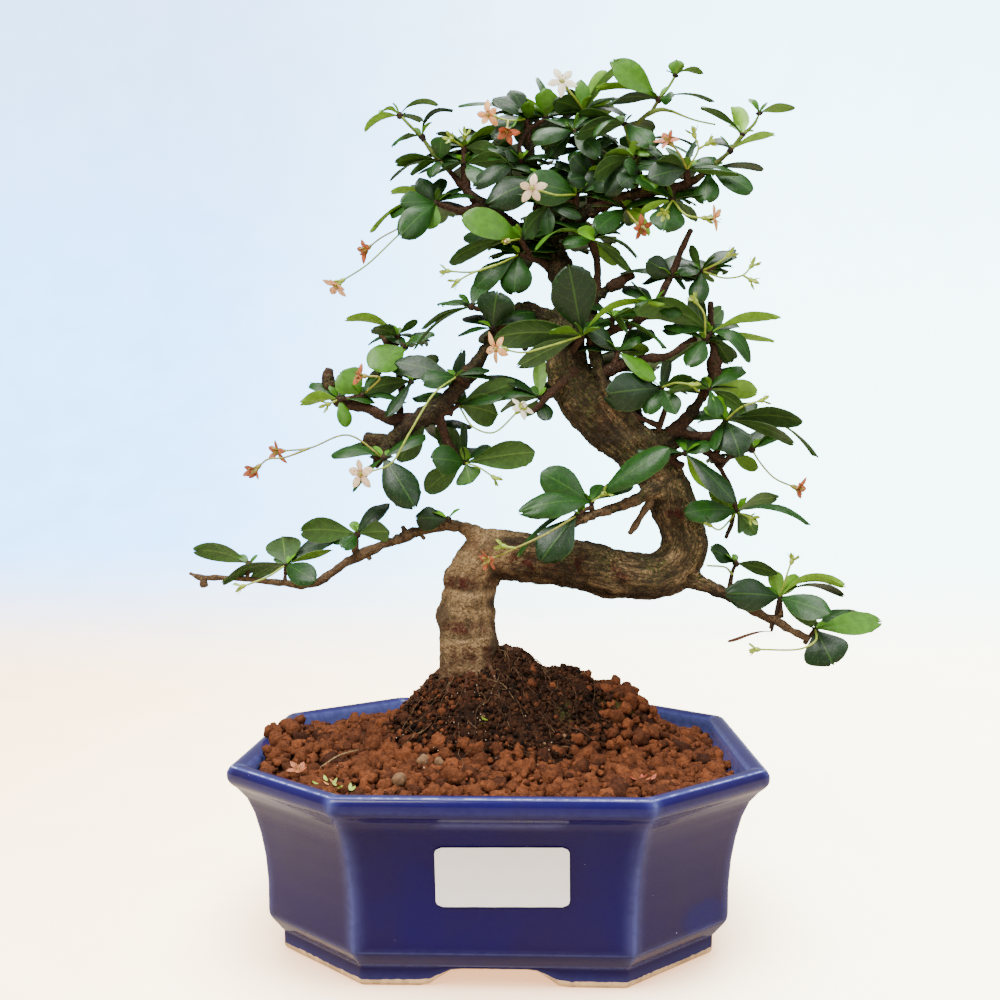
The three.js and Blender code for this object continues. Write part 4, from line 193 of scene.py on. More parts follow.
SHOOTS: dict[str, ShootRow] = {
    "crown_left_shoot": ShootRow(
        stems=(
            (
                (-21, 306.4, 10, 1.5), (-25.5, 310.6, 10, 1.4), (-32, 319.5, 10, 1.3), (-38, 326, 10, 1),
                (-42, 330.2, 10, 0.8),
            ),
        ),
        rosettes=(
            (
                (-42.2, 330.2, 10), "pbpm",
                (
                    (-50.8, 331.4, 5, 6, 112, 0.24), (-26.4, 335.2, 15, 8, 108, 0.2),
                    (-57, 324.6, 8, 8, 112, 0.1), (-33, 328, 22, 7, 118, 0.1),
                ),
            ),
            ((-33, 321.4, 10), "dm", ((-21, 333, 5, 8, 104, 0.28), (-46, 318.6, 3, 9, 116, 0.15))),
            (
                (-25.6, 311, 10), "mmgmg",
                (
                    (-44, 309.8, 13, 9, 122, 0.14), (-38, 306.6, 3, 8, 118, 0.1),
                    (-46.5, 304.4, 20, 6, 98, 0.12), (-24.4, 321.2, 5, 10, 20, 0.06),
                    (-29, 305.4, -2, 7, 50, 0.1),
                ),
            ),
        ),
    ),
    "crown_left_spur": ShootRow(
        stems=(((-14.4, 301, 10, 2), (-15.2, 308, 9, 1.8), (-15.3, 316.4, 9, 1.6)),),
        rosettes=(
            (
                (-15.2, 316.6, 9), "mbgd",
                (
                    (-26.3, 323, 15, 6, 100, 0.16), (1, 325.2, 4, 6, 128, 0.14),
                    (-1.4, 314, -2, 8, 150, 0.06), (-12, 323, 24, 7, 120, 0.1),
                ),
            ),
            (
                (-14.6, 310, 8), "mmmg",
                (
                    (5, 309.4, -6, 10, 145, 0.1), (-8, 300.6, -6, 9, 40, 0.1), (-27, 314, 16, 8, 60, 0.08),
                    (-29, 305.4, 2, 6, 110, 0.08),
                ),
            ),
        ),
        stalks=(("c", 0.6, ((-15.2, 317, 7), (-15, 321, 5))), ("c", 0.6, ((-15, 317, 6), (-20.4, 320, 0)))),
    ),
    "crown_left_group": ShootRow(
        stems=(((-20, 291, 7, 1.6), (-26.6, 293.4, 6, 1.2)),),
        rosettes=(
            (
                (-26.8, 293.6, 6), "pdmpmbdm",
                (
                    (-45.6, 297.6, 13, 8, 118, 0.14), (-34.4, 304, 4, 9, 20, 0.06),
                    (-41.4, 294, -5, 10, 28, 0.06), (-54, 283, 11, 8, 104, 0.14),
                    (-41.6, 280.6, -12, 12, 14, 0.1), (-32.4, 283.2, 0, 11, 12, 0.1),
                    (-25, 304, 10, 8, 20, 0.08), (-13, 301, 18, 9, 70, 0.1),
                ),
            ),
        ),
        stalks=(
            ("f", 0.7, ((-27.6, 292.6, 4), (-42, 281, -4), (-56, 268, -6), (-66, 261.6, -6))),
            ("w", 0.7, ((-28, 292, 5), (-42, 283.6, 4), (-50.4, 279, 4), (-55, 275.4, 4))),
        ),
    ),
    "centre_left": ShootRow(
        stems=(
            ((21, 266, 2, 2), (14, 270, -1, 1.6), (8, 272, -3, 1.4)),
            ((13, 270.6, -1, 1.5), (10, 275, -5, 1.4), (8.4, 278, -7, 1.2)),
        ),
        rosettes=(
            (
                (8.4, 278.4, -7), "bgmd",
                (
                    (-16, 287.8, -16, 13, 24, 0.12), (-21.6, 268.6, -10, 9, 118, 0.12),
                    (-7.6, 278.6, 2, 7, 108, 0.06), (-16.4, 280.6, 8, 9, 40, 0.06),
                ),
            ),
            (
                (7.6, 272, -3), "mmd",
                (
                    (-12, 258.4, -6, 11, 34, 0.08), (5.4, 256.6, -9, 14, 14, 0.08),
                    (-8.6, 262.6, 8, 9, 60, 0.05),
                ),
            ),
        ),
        stalks=(
            ("c", 0.7, ((7.4, 272.6, -6), (-2, 267.6, -16), (-12, 264.8, -18), (-22, 265.2, -18))),
            ("b", 0.6, ((8, 279, -10), (3.2, 277.6, -18))),
            ("c", 0.6, ((-2, 267.6, -16), (-12.6, 264, -19), (-18, 261, -20))),
        ),
    ),
    "inner_right": ShootRow(
        stems=(((39.4, 272, -5, 1.8), (38, 277.6, -10, 1.4)),),
        rosettes=(
            (
                (37.8, 278, -11), "bmbmdgp",
                (
                    (14, 275.4, -19, 8, 100, 0.22), (26.4, 277, -18, 8, 50, 0.1),
                    (49, 268, -4, 9, 140, 0.12), (57, 272.4, -11, 6, 96, 0.16),
                    (50, 276, -20, 5, 104, 0.12), (53.4, 264.6, -14, 6, 128, 0.06),
                    (31, 281, -26, 6, 30, 0.2),
                ),
            ),
        ),
    ),
    "crown_inner": ShootRow(
        stems=(
            ((29, 287, -1, 2), (31, 293, -5, 1.6), (31.4, 296.4, -7, 1.3)),
            ((31, 293.4, -5, 1.3), (25, 294, -7, 1.2), (20.4, 292.4, -8, 1.1)),
        ),
        rosettes=(
            (
                (31.4, 296.6, -8), "mdmm",
                (
                    (9.6, 300.8, -18, 15, 26, 0.12), (37, 310, -6, 11, 28, 0.06),
                    (0, 301.8, -3, 10, 58, 0.08), (24, 309, 4, 11, 40, 0.08),
                ),
            ),
            (
                (20.2, 292.2, -8), "gdg",
                ((8, 279.6, -14, 10, 140, 0.08), (33.4, 287, -14, 8, 56, 0.1), (19, 281, -16, 7, 30, 0.08)),
            ),
            ((17.6, 302.6, -4), "dm", ((-5, 293.8, -10, 15, 30, 0.1), (6, 309, 4, 9, 60, 0.1))),
        ),
        stalks=(("f", 0.6, ((30.6, 296, -10), (22, 296.6, -20), (15.6, 298.6, -22))),),
    ),
    "front_leaf": ShootRow(
        stems=(((28.6, 231, -6, 2), (32, 235, -11, 1.6), (33.4, 237.6, -13, 1.4)),),
        rosettes=(
            (
                (33.6, 238, -14), "dbbpgg",
                (
                    (28, 267.4, -27, 20, 8, 0.05), (20.4, 240, -25, 7, 118, 0.1),
                    (40.2, 242.8, -24, 5, 118, 0.04), (67, 249.6, -18, 9, 108, 0.2),
                    (-3.4, 239, -24, 13, 150, 0.08), (8.4, 225, -22, 9, 148, 0.08),
                ),
            ),
        ),
        stalks=(("f", 0.7, ((32, 236, -16), (20, 233.8, -28), (9, 231.2, -32), (2, 232.4, -33))),),
    ),
    "fork_shoot": ShootRow(
        stems=(((47, 225, -10, 1.8), (48.4, 231, -11, 1.4)),),
        rosettes=(
            (
                (48.4, 231.4, -11), "bmdb",
                (
                    (64, 219.6, -16, 8, 36, 0.06), (57.4, 238, -13, 8, 60, 0.1),
                    (37.6, 241.6, -18, 8, 30, 0.05), (60.4, 232.6, -2, 8, 130, 0.1),
                ),
            ),
        ),
    ),
    "round_leaf": ShootRow(
        stems=(((66, 201, -7, 1.5), (68, 208, -8, 1.3), (66.6, 215.6, -9, 1.2)),),
        rosettes=(
            (
                (66.4, 216.4, -9), "dmmmd",
                (
                    (43.6, 213.8, -22, 16, 12, 0.06), (79.4, 220, -12, 9, 140, 0.06),
                    (60.4, 206, -14, 9, 30, 0.1), (72.6, 205.4, -16, 8, 24, 0.08),
                    (70, 228, -4, 9, 130, 0.08),
                ),
            ),
        ),
        stalks=(("c", 0.6, ((67, 217, -12), (73, 218.4, -20), (79, 217.6, -22))),),
    ),
    "knob_leaves": ShootRow(
        stems=(((84.6, 213, -6, 1.4), (86, 215.4, -9, 1.2)),),
        rosettes=(
            (
                (86.2, 215.8, -10), "mgpm",
                (
                    (69, 214.4, -16, 8, 118, 0.1), (101.2, 206.8, -16, 8, 140, 0.1),
                    (105.4, 214.6, 4, 9, 150, 0.06), (90, 204.6, -18, 7, 30, 0.08),
                ),
            ),
        ),
    ),
    "right_spray": ShootRow(
        stems=(((90.6, 199.4, -6, 1.3), (92.6, 202.4, -7, 1.2)),),
        rosettes=(
            (
                (92.8, 202.8, -7.4), "ggmdmpb",
                (
                    (124.6, 203, -14, 11, 138, 0.12), (121, 193.4, -18, 9, 124, 0.1),
                    (130.4, 189, 2, 6, 96, 0.16), (99, 189.2, -20, 13, 18, 0.1),
                    (88.2, 190.4, -17, 6, 56, 0.1), (88.4, 212.6, -14, 7, 60, 0.1),
                    (83.6, 207.4, -16, 6, 60, 0.1),
                ),
            ),
        ),
        stalks=(("c", 0.7, ((93.4, 204, -10), (100, 208.6, -16), (107.6, 211, -18))),),
    ),
    "right_low": ShootRow(
        stems=(
            ((92.6, 185.6, -4, 1.4), (95.4, 188.6, -5, 1.3), (99, 190.6, -6, 1), (103.6, 190.8, -7, 0.9)),
        ),
        rosettes=(
            ((103.8, 190.8, -7), "m", ((112.4, 197.4, -1, 6, 118, 0.06),)),
            ((95.4, 188.4, -5), "b", ((106.2, 182.8, -9, 7, 150, 0.05),)),
        ),
        stalks=(("w", 0.6, ((104, 190.4, -8), (107, 185.6, -10), (113, 179, -11), (120.8, 175.4, -12))),),
    ),
    "right_slope": ShootRow(
        stems=(((73, 188.4, -6, 1.1), (76, 189.4, -9, 1)),),
        rosettes=(
            (
                (76.4, 189.2, -10), "dpm",
                (
                    (96.6, 168.4, -20, 10, 34, 0.06), (86.2, 175.2, -4, 9, 150, 0.06),
                    (87, 194, -14, 8, 50, 0.08),
                ),
            ),
        ),
    ),
    "right_middle": ShootRow(
        stems=(((97, 168.6, -1.6, 1), (97.6, 165.4, -3, 1)),),
        rosettes=(
            (
                (97.6, 165, -3), "mmmmbm",
                (
                    (127.2, 159.4, -12, 9, 66, 0.2), (106.2, 155.8, -6, 8, 160, 0.08),
                    (77.6, 165.4, -16, 12, 28, 0.1), (99.6, 156.8, -16, 6, 100, 0.02),
                    (86.4, 175, 8, 9, 150, 0.08), (113, 172, 10, 9, 120, 0.1),
                ),
            ),
        ),
        stalks=(
            ("c", 0.6, ((97, 164, -5), (90, 157.6, -12), (86.4, 159.6, -13))),
            ("c", 0.6, ((98, 165, -5), (103, 162.6, -12))),
        ),
    ),
    "centre_branch": ShootRow(
        stems=(
            ((38, 164.6, -17, 1.3), (37.6, 168.6, -18, 1.1)),
            ((37.8, 167, -18, 1.1), (34.6, 165.8, -21, 1), (32, 163.8, -22, 1)),
        ),
        rosettes=(
            (
                (37.6, 169, -18.4), "mmmm",
                (
                    (17.4, 181.6, -24, 14, 14, 0.06), (69.6, 191.4, -28, 13, 32, 0.06),
                    (8.6, 166, -28, 12, 30, 0.12), (5.4, 151, -18, 5, 70, 0.08),
                ),
            ),
            ((31.8, 163.6, -22), "d", ((17, 145.6, -32, 15, 14, 0.08),)),
        ),
        stalks=(
            ("c", 0.6, ((38, 170, -20), (42.6, 172.4, -22))),
            ("w", 0.7, ((31.6, 163.6, -24), (18, 155.4, -36), (6, 149.8, -36), (-3.4, 145.6, -32))),
            ("c", 0.6, ((6, 149.8, -36), (1.4, 150.6, -35))),
        ),
    ),
    "lower_right_near": ShootRow(
        stems=(((95.2, 137.6, -6, 1.1), (95.8, 140.4, -6, 0.9), (97.2, 143.6, -6, 0.9)),),
        rosettes=(
            ((97.2, 143.8, -6), "gd", ((114.2, 140.2, -12, 8, 138, 0.06), (86.2, 149.6, -12, 9, 30, 0.08))),
        ),
        stalks=(("n", 0.6, ((95.8, 139, -6), (93, 142, -12), (85.4, 142.8, -20))),),
    ),
    "lower_right_middle": ShootRow(
        stems=(((115.6, 124.2, -10, 1.1), (115.2, 129.4, -10.4, 1)),),
        rosettes=(
            (
                (115.2, 129.8, -10.6), "dmbppdm",
                (
                    (95, 131.6, -22, 13.5, 14, 0.08), (136.2, 122.4, -24, 13, 24, 0.08),
                    (112.4, 141, -9, 7, 150, 0.06), (122.6, 138.6, -5, 7, 148, 0.06),
                    (141.2, 135.2, -8, 8, 114, 0.2), (141.6, 130, 2, 7, 98, 0.18),
                    (129.4, 118, -17, 6, 150, 0.04),
                ),
            ),
        ),
        stalks=(("c", 0.6, ((115.6, 131, -12), (118.6, 140.4, -16), (120, 144.4, -16))),),
    ),
    "lower_right_tip": ShootRow(
        stems=(((127, 113, -13, 1.2), (129.4, 116.4, -13, 1)),),
        rosettes=(
            (
                (129.6, 116.8, -13), "bdgm",
                (
                    (156.2, 119.8, -10, 10, 18, 0.05), (137, 102.2, -21, 18.5, 12, 0.06),
                    (143.4, 125, 0, 8, 40, 0.06), (144.6, 126.8, 12, 6, 96, 0.06),
                ),
            ),
        ),
        stalks=(
            ("c", 0.6, ((129.4, 115.6, -15), (129.6, 111.6, -25), (124, 108.6, -26), (106, 108.2, -24))),
        ),
    ),
    "lower_left_middle": ShootRow(
        stems=(((-90, 141.4, -16, 1), (-90, 142.4, -16, 1)),),
        rosettes=(
            (
                (-90, 142.8, -16), "gmggbd",
                (
                    (-117.2, 136.4, -23, 9, 112, 0.12), (-104.6, 138, -10, 6, 128, 0.1),
                    (-91.2, 154.6, -13, 15, 168, 0.05), (-77.6, 135.6, -27, 10.5, 18, 0.1),
                    (-71, 148.4, -13, 6, 128, 0.05), (-68.8, 154.8, -5, 8, 48, 0.1),
                ),
            ),
        ),
        stalks=(("c", 0.7, ((-91.6, 142.4, -18), (-98, 137.6, -25), (-108, 133.8, -27))),),
    ),
    "lower_left_far": ShootRow(
        stems=(((-105.6, 141.8, -16.6, 0.9), (-105.4, 142.8, -16.4, 0.8)),),
        rosettes=(((-105.4, 143, -16.4), "m", ((-127.6, 149.8, -14, 9, 148, 0.14),)),),
    ),
    "lower_left_near": ShootRow(
        stems=(((-60.2, 154.2, -12, 1.1), (-60, 155.4, -12, 1)),),
        rosettes=(
            (
                (-60, 155.6, -12), "mdmmm",
                (
                    (-83.6, 157.2, -15, 11.5, 158, 0.15), (-47.4, 169.2, -8, 9, 40, 0.1),
                    (-46.2, 157, -17, 9.5, 148, 0.08), (-71, 153.4, -6, 7, 30, 0.05),
                    (-66, 149.4, -19, 7, 20, 0.1),
                ),
            ),
        ),
    ),
    "lower_left_leaf": ShootRow(
        stems=(((-21.6, 161.4, -9.4, 0.9), (-22, 162, -11, 0.9)),),
        rosettes=(((-22, 162, -11.4), "d", ((-35.2, 162.6, -16, 10, 14, 0.06),)),),
    ),
    "left_top": ShootRow(
        stems=(
            ((-43.6, 235, 5, 1.4), (-43, 238, 4.6, 1.2)), ((-43.4, 236.4, 4.8, 1.1), (-40, 233.6, 0, 1)),
        ),
        rosettes=(
            (
                (-43, 238.4, 4.4), "pgm",
                (
                    (-65, 243.2, 0, 8, 118, 0.2), (-53.6, 242, -8, 9, 138, 0.1),
                    (-35.4, 245.6, 4, 7, 118, 0.05),
                ),
            ),
            ((-39.6, 233.4, -0.4), "b", ((-55, 225.4, -10, 14, 22, 0.08),)),
        ),
    ),
    "left_branch_front": ShootRow(
        stems=(((-15.4, 219, -10, 1.3), (-18.4, 221, -15, 1.1)),),
        rosettes=(
            (
                (-18.6, 221.2, -15.4), "dg",
                ((-43.6, 226.6, -12, 11, 28, 0.08), (-32.6, 219.4, -25, 10.5, 38, 0.08)),
            ),
        ),
        stalks=(
            (
                "f", 0.7,
                ((-20, 221, -18), (-28, 214, -27), (-38, 198, -32), (-46, 185, -32), (-55, 181.6, -30)),
            ),
        ),
    ),
    "left_branch_back": ShootRow(
        stems=(((-40.4, 214, 0, 1.1), (-37.6, 219, -2, 1)),),
        rosettes=(
            (
                (-37.2, 219.4, -2.4), "gdm",
                (
                    (-57.6, 215.4, -14, 9.5, 140, 0.08), (-46.8, 204, -20, 7, 50, 0.05),
                    (-28, 230, 10, 9, 120, 0.1),
                ),
            ),
        ),
    ),
    "left_far": ShootRow(
        stems=(
            ((-57.2, 211.6, -11.6, 1.1), (-57.8, 213.4, -12, 1)),
            ((-57.6, 213, -12, 0.9), (-63, 212.6, -15, 0.9), (-67.4, 212, -16, 0.9)),
        ),
        rosettes=(
            ((-57.8, 213.6, -12), "bm", ((-66.6, 223.4, -17, 14, 18, 0.08), (-50, 222, 6, 9, 130, 0.1))),
            ((-67.6, 212, -16), "pb", ((-83.6, 210, -18, 8, 122, 0.12), (-64, 200.6, -18, 7, 30, 0.1))),
        ),
        stalks=(
            ("c", 0.6, ((-68, 212, -17), (-72, 210, -20))),
            ("w", 0.7, ((-58, 214.4, -14), (-50.6, 221, -22), (-56.8, 221.6, -25))),
        ),
    ),
    "left_stub": ShootRow(
        stems=(((-49, 189, -18, 1.2), (-49, 187.6, -19.4, 1)),),
        rosettes=(
            (
                (-49, 187.4, -19.6), "dmm",
                (
                    (-36, 167.4, -28, 14.5, 12, 0.08), (-71, 188.8, -22, 9, 64, 0.16),
                    (-61.6, 173.6, -24, 6, 60, 0.1),
                ),
            ),
        ),
        stalks=(
            ("w", 0.6, ((-51, 190, -20), (-64, 197, -24), (-80, 191.6, -26), (-91.4, 190.4, -26))),
            ("w", 0.6, ((-80, 191.6, -26), (-91, 187.6, -28), (-97.6, 187, -28), (-101.4, 184, -28))),
        ),
    ),
    "left_under": ShootRow(
        stems=(((-30, 205, -4, 1.2), (-31, 201.6, 0, 1)),),
        rosettes=(
            ((-31.2, 201.2, 0.4), "md", ((-42.6, 186, 2, 12, 158, 0.08), (-24, 196, 16, 9, 130, 0.08))),
        ),
    ),
    "left_drop": ShootRow(
        stems=(((-16.4, 187, -3.6, 1.2), (-15.2, 185.6, -4, 1.1)),),
        rosettes=(
            (
                (-15, 185.4, -4.2), "mmmmmd",
                (
                    (-31.6, 174.4, 2, 11, 148, 0.08), (-28.4, 187.4, -17, 12.5, 14, 0.08),
                    (-12.6, 176.4, -11, 12.5, 158, 0.08), (14.4, 190.2, -10, 13, 158, 0.06),
                    (-26, 201, 8, 11, 158, 0.1), (-15.4, 202, -10, 7, 70, 0.05),
                ),
            ),
        ),
        stalks=(("c", 0.6, ((-14.4, 185.4, -6), (-9, 183.4, -13), (-3, 179.4, -15))),),
    ),
    "left_arch": ShootRow(
        stems=(
            ((0, 243.6, -1, 1.7), (-5, 247, -5, 1.4), (-9, 249.4, -8, 1.2), (-12, 250.2, -9, 1.1)),
            ((-5, 247, -5, 1.2), (-3.4, 241.6, -9, 1.1)),
        ),
        rosettes=(
            (
                (-12.2, 250.4, -9), "ggm",
                ((-33, 242, -14, 6, 112, 0.1), (-37, 234.6, -8, 5, 112, 0.1), (-5, 262, 2, 8, 40, 0.1)),
            ),
            ((-3.4, 241.2, -9.4), "d", ((-2, 256, -16, 17, 12, 0.05),)),
        ),
    ),
    "left_inner": ShootRow(
        stems=(((-20, 208, -6, 1.5), (-17.8, 209.2, -5, 1.2)),),
        rosettes=(
            (
                (-17.6, 209.4, -4.8), "mgmd",
                (
                    (-0.6, 206, -9, 15, 154, 0.08), (1.4, 211.8, -17, 7, 60, 0.06),
                    (6.2, 218.4, 0, 10, 158, 0.06), (-16, 231.6, 8, 8, 50, 0.08),
                ),
            ),
        ),
        stalks=(("o", 0.6, ((-17, 208, -7), (-11, 200, -17), (-3, 198, -20), (7, 206.6, -21))),),
    ),
    "trunk_left": ShootRow(
        stems=(((22, 216, -3, 1.6), (16.4, 212.4, -3, 1.2)),),
        rosettes=(
            (
                (16, 212.2, -3), "bgdmd",
                (
                    (16, 229.4, 4, 7, 158, 0.05), (-0.8, 208.4, -4, 7, 118, 0.12),
                    (-5, 222.6, 9, 8, 60, 0.1), (9, 204.6, 2, 8, 148, 0.05), (19.4, 204, -15, 7, 14, 0.05),
                ),
            ),
        ),
    ),
    "crown_top": ShootRow(
        stems=(
            ((38, 290, -3, 2.2), (37.4, 303, 0, 2), (36, 315, 3, 1.8), (34.6, 330.4, 4, 1.4)),
            ((36.2, 313, 2.6, 1.5), (33, 319, -4, 1.3), (30.4, 322.6, -7, 1.1)),
        ),
        rosettes=(
            (
                (34.6, 331, 4), "bpbdpgm",
                (
                    (33.4, 344.6, 5, 7, 18, 0.05), (42.4, 347.2, 12, 7, 148, 0.05),
                    (51.4, 349, 0, 7, 116, 0.12), (50.6, 337.2, -3, 8, 98, 0.1),
                    (47, 331.8, 9, 8, 148, 0.05), (22, 335.6, -5, 10, 146, 0.1), (28, 339, 16, 8, 120, 0.1),
                ),
            ),
            (
                (30.2, 322.8, -7.4), "gddgd",
                (
                    (13.4, 320.4, -17, 10.5, 52, 0.12), (19, 319.4, -7, 9, 36, 0.15),
                    (17.4, 315.6, 0, 10, 150, 0.1), (41, 312, -14, 9, 40, 0.08),
                    (20, 312.6, -3, 9, 30, 0.1),
                ),
            ),
            (
                (37.6, 302.4, -4), "dddm",
                (
                    (30, 312, -12, 10, 30, 0.1), (45.6, 301, -15, 10, 30, 0.1),
                    (28.4, 303, -13, 9, 40, 0.1), (44, 309, -10, 9, 60, 0.1),
                ),
            ),
            ((36.4, 315.4, -1), "dm", ((45, 319.6, -11, 9, 50, 0.1), (29, 309.6, -10, 8, 40, 0.1))),
        ),
        stalks=(("f", 0.6, ((33.6, 332, 1), (30, 337.6, -8), (27, 341, -9))),),
    ),
    "crown_top_left": ShootRow(
        stems=(
            ((11.6, 318, 6, 2), (10.8, 327.6, 5, 1.4)),
            ((11, 323.6, 5.4, 1.3), (15, 326, 4, 1.2), (18.8, 328, 3, 1.1)),
            ((11, 323.6, 5.4, 1.2), (8, 318, -1, 1.1), (8.2, 311, -2, 1.1)),
        ),
        rosettes=(
            (
                (18.9, 328.4, 3), "bmp",
                (
                    (19, 340.4, -4, 10.5, 14, 0.05), (16.5, 345.6, 8, 8, 60, 0.1),
                    (6.4, 335.2, 8, 7, 124, 0.1),
                ),
            ),
            (
                (10.7, 328, 5), "dbmmddbd",
                (
                    (-3, 336.8, 0, 9, 56, 0.14), (4.2, 324.8, -7, 6, 116, 0.1),
                    (-18, 332, 16, 7, 100, 0.14), (24, 333.6, 14, 9, 120, 0.1),
                    (-3, 318.4, -8, 10, 40, 0.12), (4, 340.4, 4, 9, 30, 0.12),
                    (11.4, 334.4, -5, 6, 20, 0.05), (-2, 326, -7, 8, 40, 0.1),
                ),
            ),
            ((8.4, 310.4, -2.4), "dd", ((-11, 301.6, -8, 9, 34, 0.1), (2, 315, -8, 8, 50, 0.1))),
        ),
        stalks=(
            ("f", 0.6, ((10, 328.6, 3), (3, 327.6, -8), (-2.4, 329, -10))),
            ("w", 0.6, ((3, 327.6, -8), (2.6, 324, -11))),
        ),
    ),
    "crown_right_shoot": ShootRow(
        stems=(
            ((55, 297, -10, 2.2), (57, 306, -9, 1.9), (54.6, 315, -9, 1.7), (51.4, 325, -9, 1.4)),
            (
                (52.6, 321, -9, 1.3), (57, 326.4, -10, 1.2), (61.6, 330, -11, 1.5), (66, 331.4, -11, 1.1),
                (71, 330.6, -11, 0.8),
            ),
            ((62.4, 330.6, -11, 1.2), (65.4, 335.4, -11, 1), (69.6, 341, -11, 0.8), (72, 345, -11, 0.7)),
            ((57, 306, -9, 1.3), (55.4, 311.6, -14, 1.2)),
        ),
        rosettes=(
            (
                (51.2, 325.6, -9), "gmmmg",
                (
                    (31, 322, -18, 11, 148, 0.1), (31.6, 329.6, -7, 8, 118, 0.12),
                    (38, 324.2, -25, 6, 108, 0.12), (62.4, 316.4, -20, 10, 38, 0.12),
                    (63.4, 323.2, 0, 9, 138, 0.1),
                ),
            ),
            (
                (65.2, 335.6, -11), "bdmpm",
                (
                    (46.4, 352, -15, 11.5, 18, 0.04), (44, 333.4, -18, 11, 122, 0.14),
                    (87.6, 334.6, -4, 6, 100, 0.12), (40.4, 341, 0, 7, 108, 0.08),
                    (70.6, 336.6, -18, 6, 30, 0.05),
                ),
            ),
            ((72.1, 345.4, -11), "bb", ((72.6, 352, -13, 7, 10, 0), (83.6, 346.2, -8, 6, 112, 0.2))),
            (
                (55.2, 312, -14.4), "bgdb",
                (
                    (43, 313.6, -19, 7, 118, 0.1), (37.8, 304.6, -22, 10, 138, 0.1),
                    (43.6, 296, -16, 10, 30, 0.08), (55.6, 316, -20, 3.6, 90, 0.05),
                ),
            ),
            (
                (57, 318, -10), "mdbdm",
                (
                    (80.4, 317.6, -13, 7, 100, 0.12), (66.6, 311.4, -20, 8, 60, 0.1),
                    (61.4, 312.6, -20, 8, 30, 0.1), (63.4, 307.6, -6, 8, 40, 0.1),
                    (79, 313, -18, 5, 100, 0.1),
                ),
            ),
            (
                (57.2, 304.6, -13), "dbm",
                (
                    (49.6, 300.4, -23, 9, 30, 0.1), (64, 299.6, -22, 8, 40, 0.1),
                    (51.6, 309.6, -21, 8, 40, 0.1),
                ),
            ),
        ),
        stalks=(("n", 0.6, ((71, 330.6, -12), (80, 327, -12), (88.6, 325, -12))),),
    ),
    "crown_right_near": ShootRow(
        stems=(((77, 302.4, -19, 1.6), (77, 306, -22, 1.2)),),
        rosettes=(
            (
                (77, 306.4, -22.4), "dgmdm",
                (
                    (61.4, 303.4, -29, 11, 24, 0.1), (64.4, 311.2, -26, 9, 148, 0.14),
                    (98.4, 303.4, -28, 6, 108, 0.06), (79.6, 318.6, -12, 8, 60, 0.1),
                    (69, 316.4, -18, 8, 60, 0.1),
                ),
            ),
        ),
        stalks=(
            ("c", 0.7, ((77.4, 307, -24), (81.6, 315, -30), (80, 320.6, -31))),
            ("c", 0.6, ((81.6, 315, -30), (85.4, 317, -31))),
            ("w", 0.6, ((77.2, 306.8, -24), (74, 313, -31), (70.6, 317, -31))),
        ),
    ),
    "crown_right_under": ShootRow(
        stems=(((71, 297, -17, 1.6), (71, 294.4, -19, 1.2)),),
        rosettes=(
            (
                (71, 294, -19.4), "mmp",
                (
                    (67.4, 281.4, -26, 14.5, 14, 0.06), (80, 286, -4, 8, 130, 0.1),
                    (58.4, 288, -14, 7, 120, 0.06),
                ),
            ),
        ),
        stalks=(
            ("f", 0.6, ((71.4, 293, -20), (77, 287.6, -26), (84, 286.4, -27))),
            ("c", 0.6, ((70.6, 293, -21), (68, 289, -30))),
        ),
    ),
    "crown_middle_under": ShootRow(
        stems=(((51, 293.6, -8, 1.8), (51.6, 291, -8, 1.3)),),
        rosettes=(
            (
                (51.6, 290.6, -8), "mpp",
                (
                    (39, 281, -14, 9.5, 30, 0.06), (58.8, 285, -6, 8, 148, 0.06),
                    (62.6, 280.2, -15, 6, 116, 0.02),
                ),
            ),
        ),
        stalks=(("w", 0.6, ((51.8, 290, -10), (54.6, 286.6, -18), (56.8, 284, -18))),),
    ),
    "crown_right_tip": ShootRow(
        stems=(
            (
                (83, 304.4, -18, 1.7), (88.6, 309, -18, 1.5), (94, 313.4, -18, 1.3),
                (99.6, 320.2, -18, 1.1), (104.6, 325.2, -18, 0.9), (106.6, 329, -18, 0.7),
            ),
        ),
        rosettes=(
            (
                (86, 306.4, -18), "mmd",
                (
                    (84.4, 293.6, -24, 10.5, 18, 0.06), (103.8, 297.6, -26, 10, 34, 0.08),
                    (108.2, 308.2, -14, 8, 108, 0.08),
                ),
            ),
            ((95, 314.6, -18), "pd", ((112.6, 320.6, -17, 6, 118, 0.06), (85.2, 319.6, -10, 7, 60, 0.12))),
            ((99.8, 320.8, -18), "mp", ((82.6, 332.4, -22, 7, 112, 0.12), (95.6, 331.8, -6, 8, 148, 0.1))),
            ((106.6, 329.4, -18), "bb", ((102.4, 335.6, -19, 5, 56, 0.2), (121.2, 331, -21, 8, 118, 0.16))),
        ),
    ),
    "right_cut_twig": ShootRow(
        stems=(
            (
                (39, 236.6, -7, 2.4), (46, 240, -6, 2.1), (57, 244, -7, 1.9), (63.6, 250, -8, 1.8),
                (68, 258, -8, 1.8), (72, 266, -8, 1.7), (75, 274, -8, 1.5), (78.6, 281.6, -8, 1.4),
            ),
            ((71, 263.6, -8, 1.4), (78, 263.6, -8, 1.2), (83.4, 264.4, -8, 1), (88.4, 266.4, -8, 0.9)),
            ((46, 240, -6, 1.3), (46.4, 245, -7, 1.1)),
        ),
        rosettes=(
            (
                (46.4, 245.4, -7.4), "mbmp",
                (
                    (68.6, 233.6, -18, 8, 108, 0.1), (73.2, 248.4, -1, 8, 148, 0.1),
                    (53.2, 240, -18, 7, 128, 0.1), (55.2, 246.8, 6, 7, 148, 0.04),
                ),
            ),
            (
                (83, 264.6, -8), "mgbmm",
                (
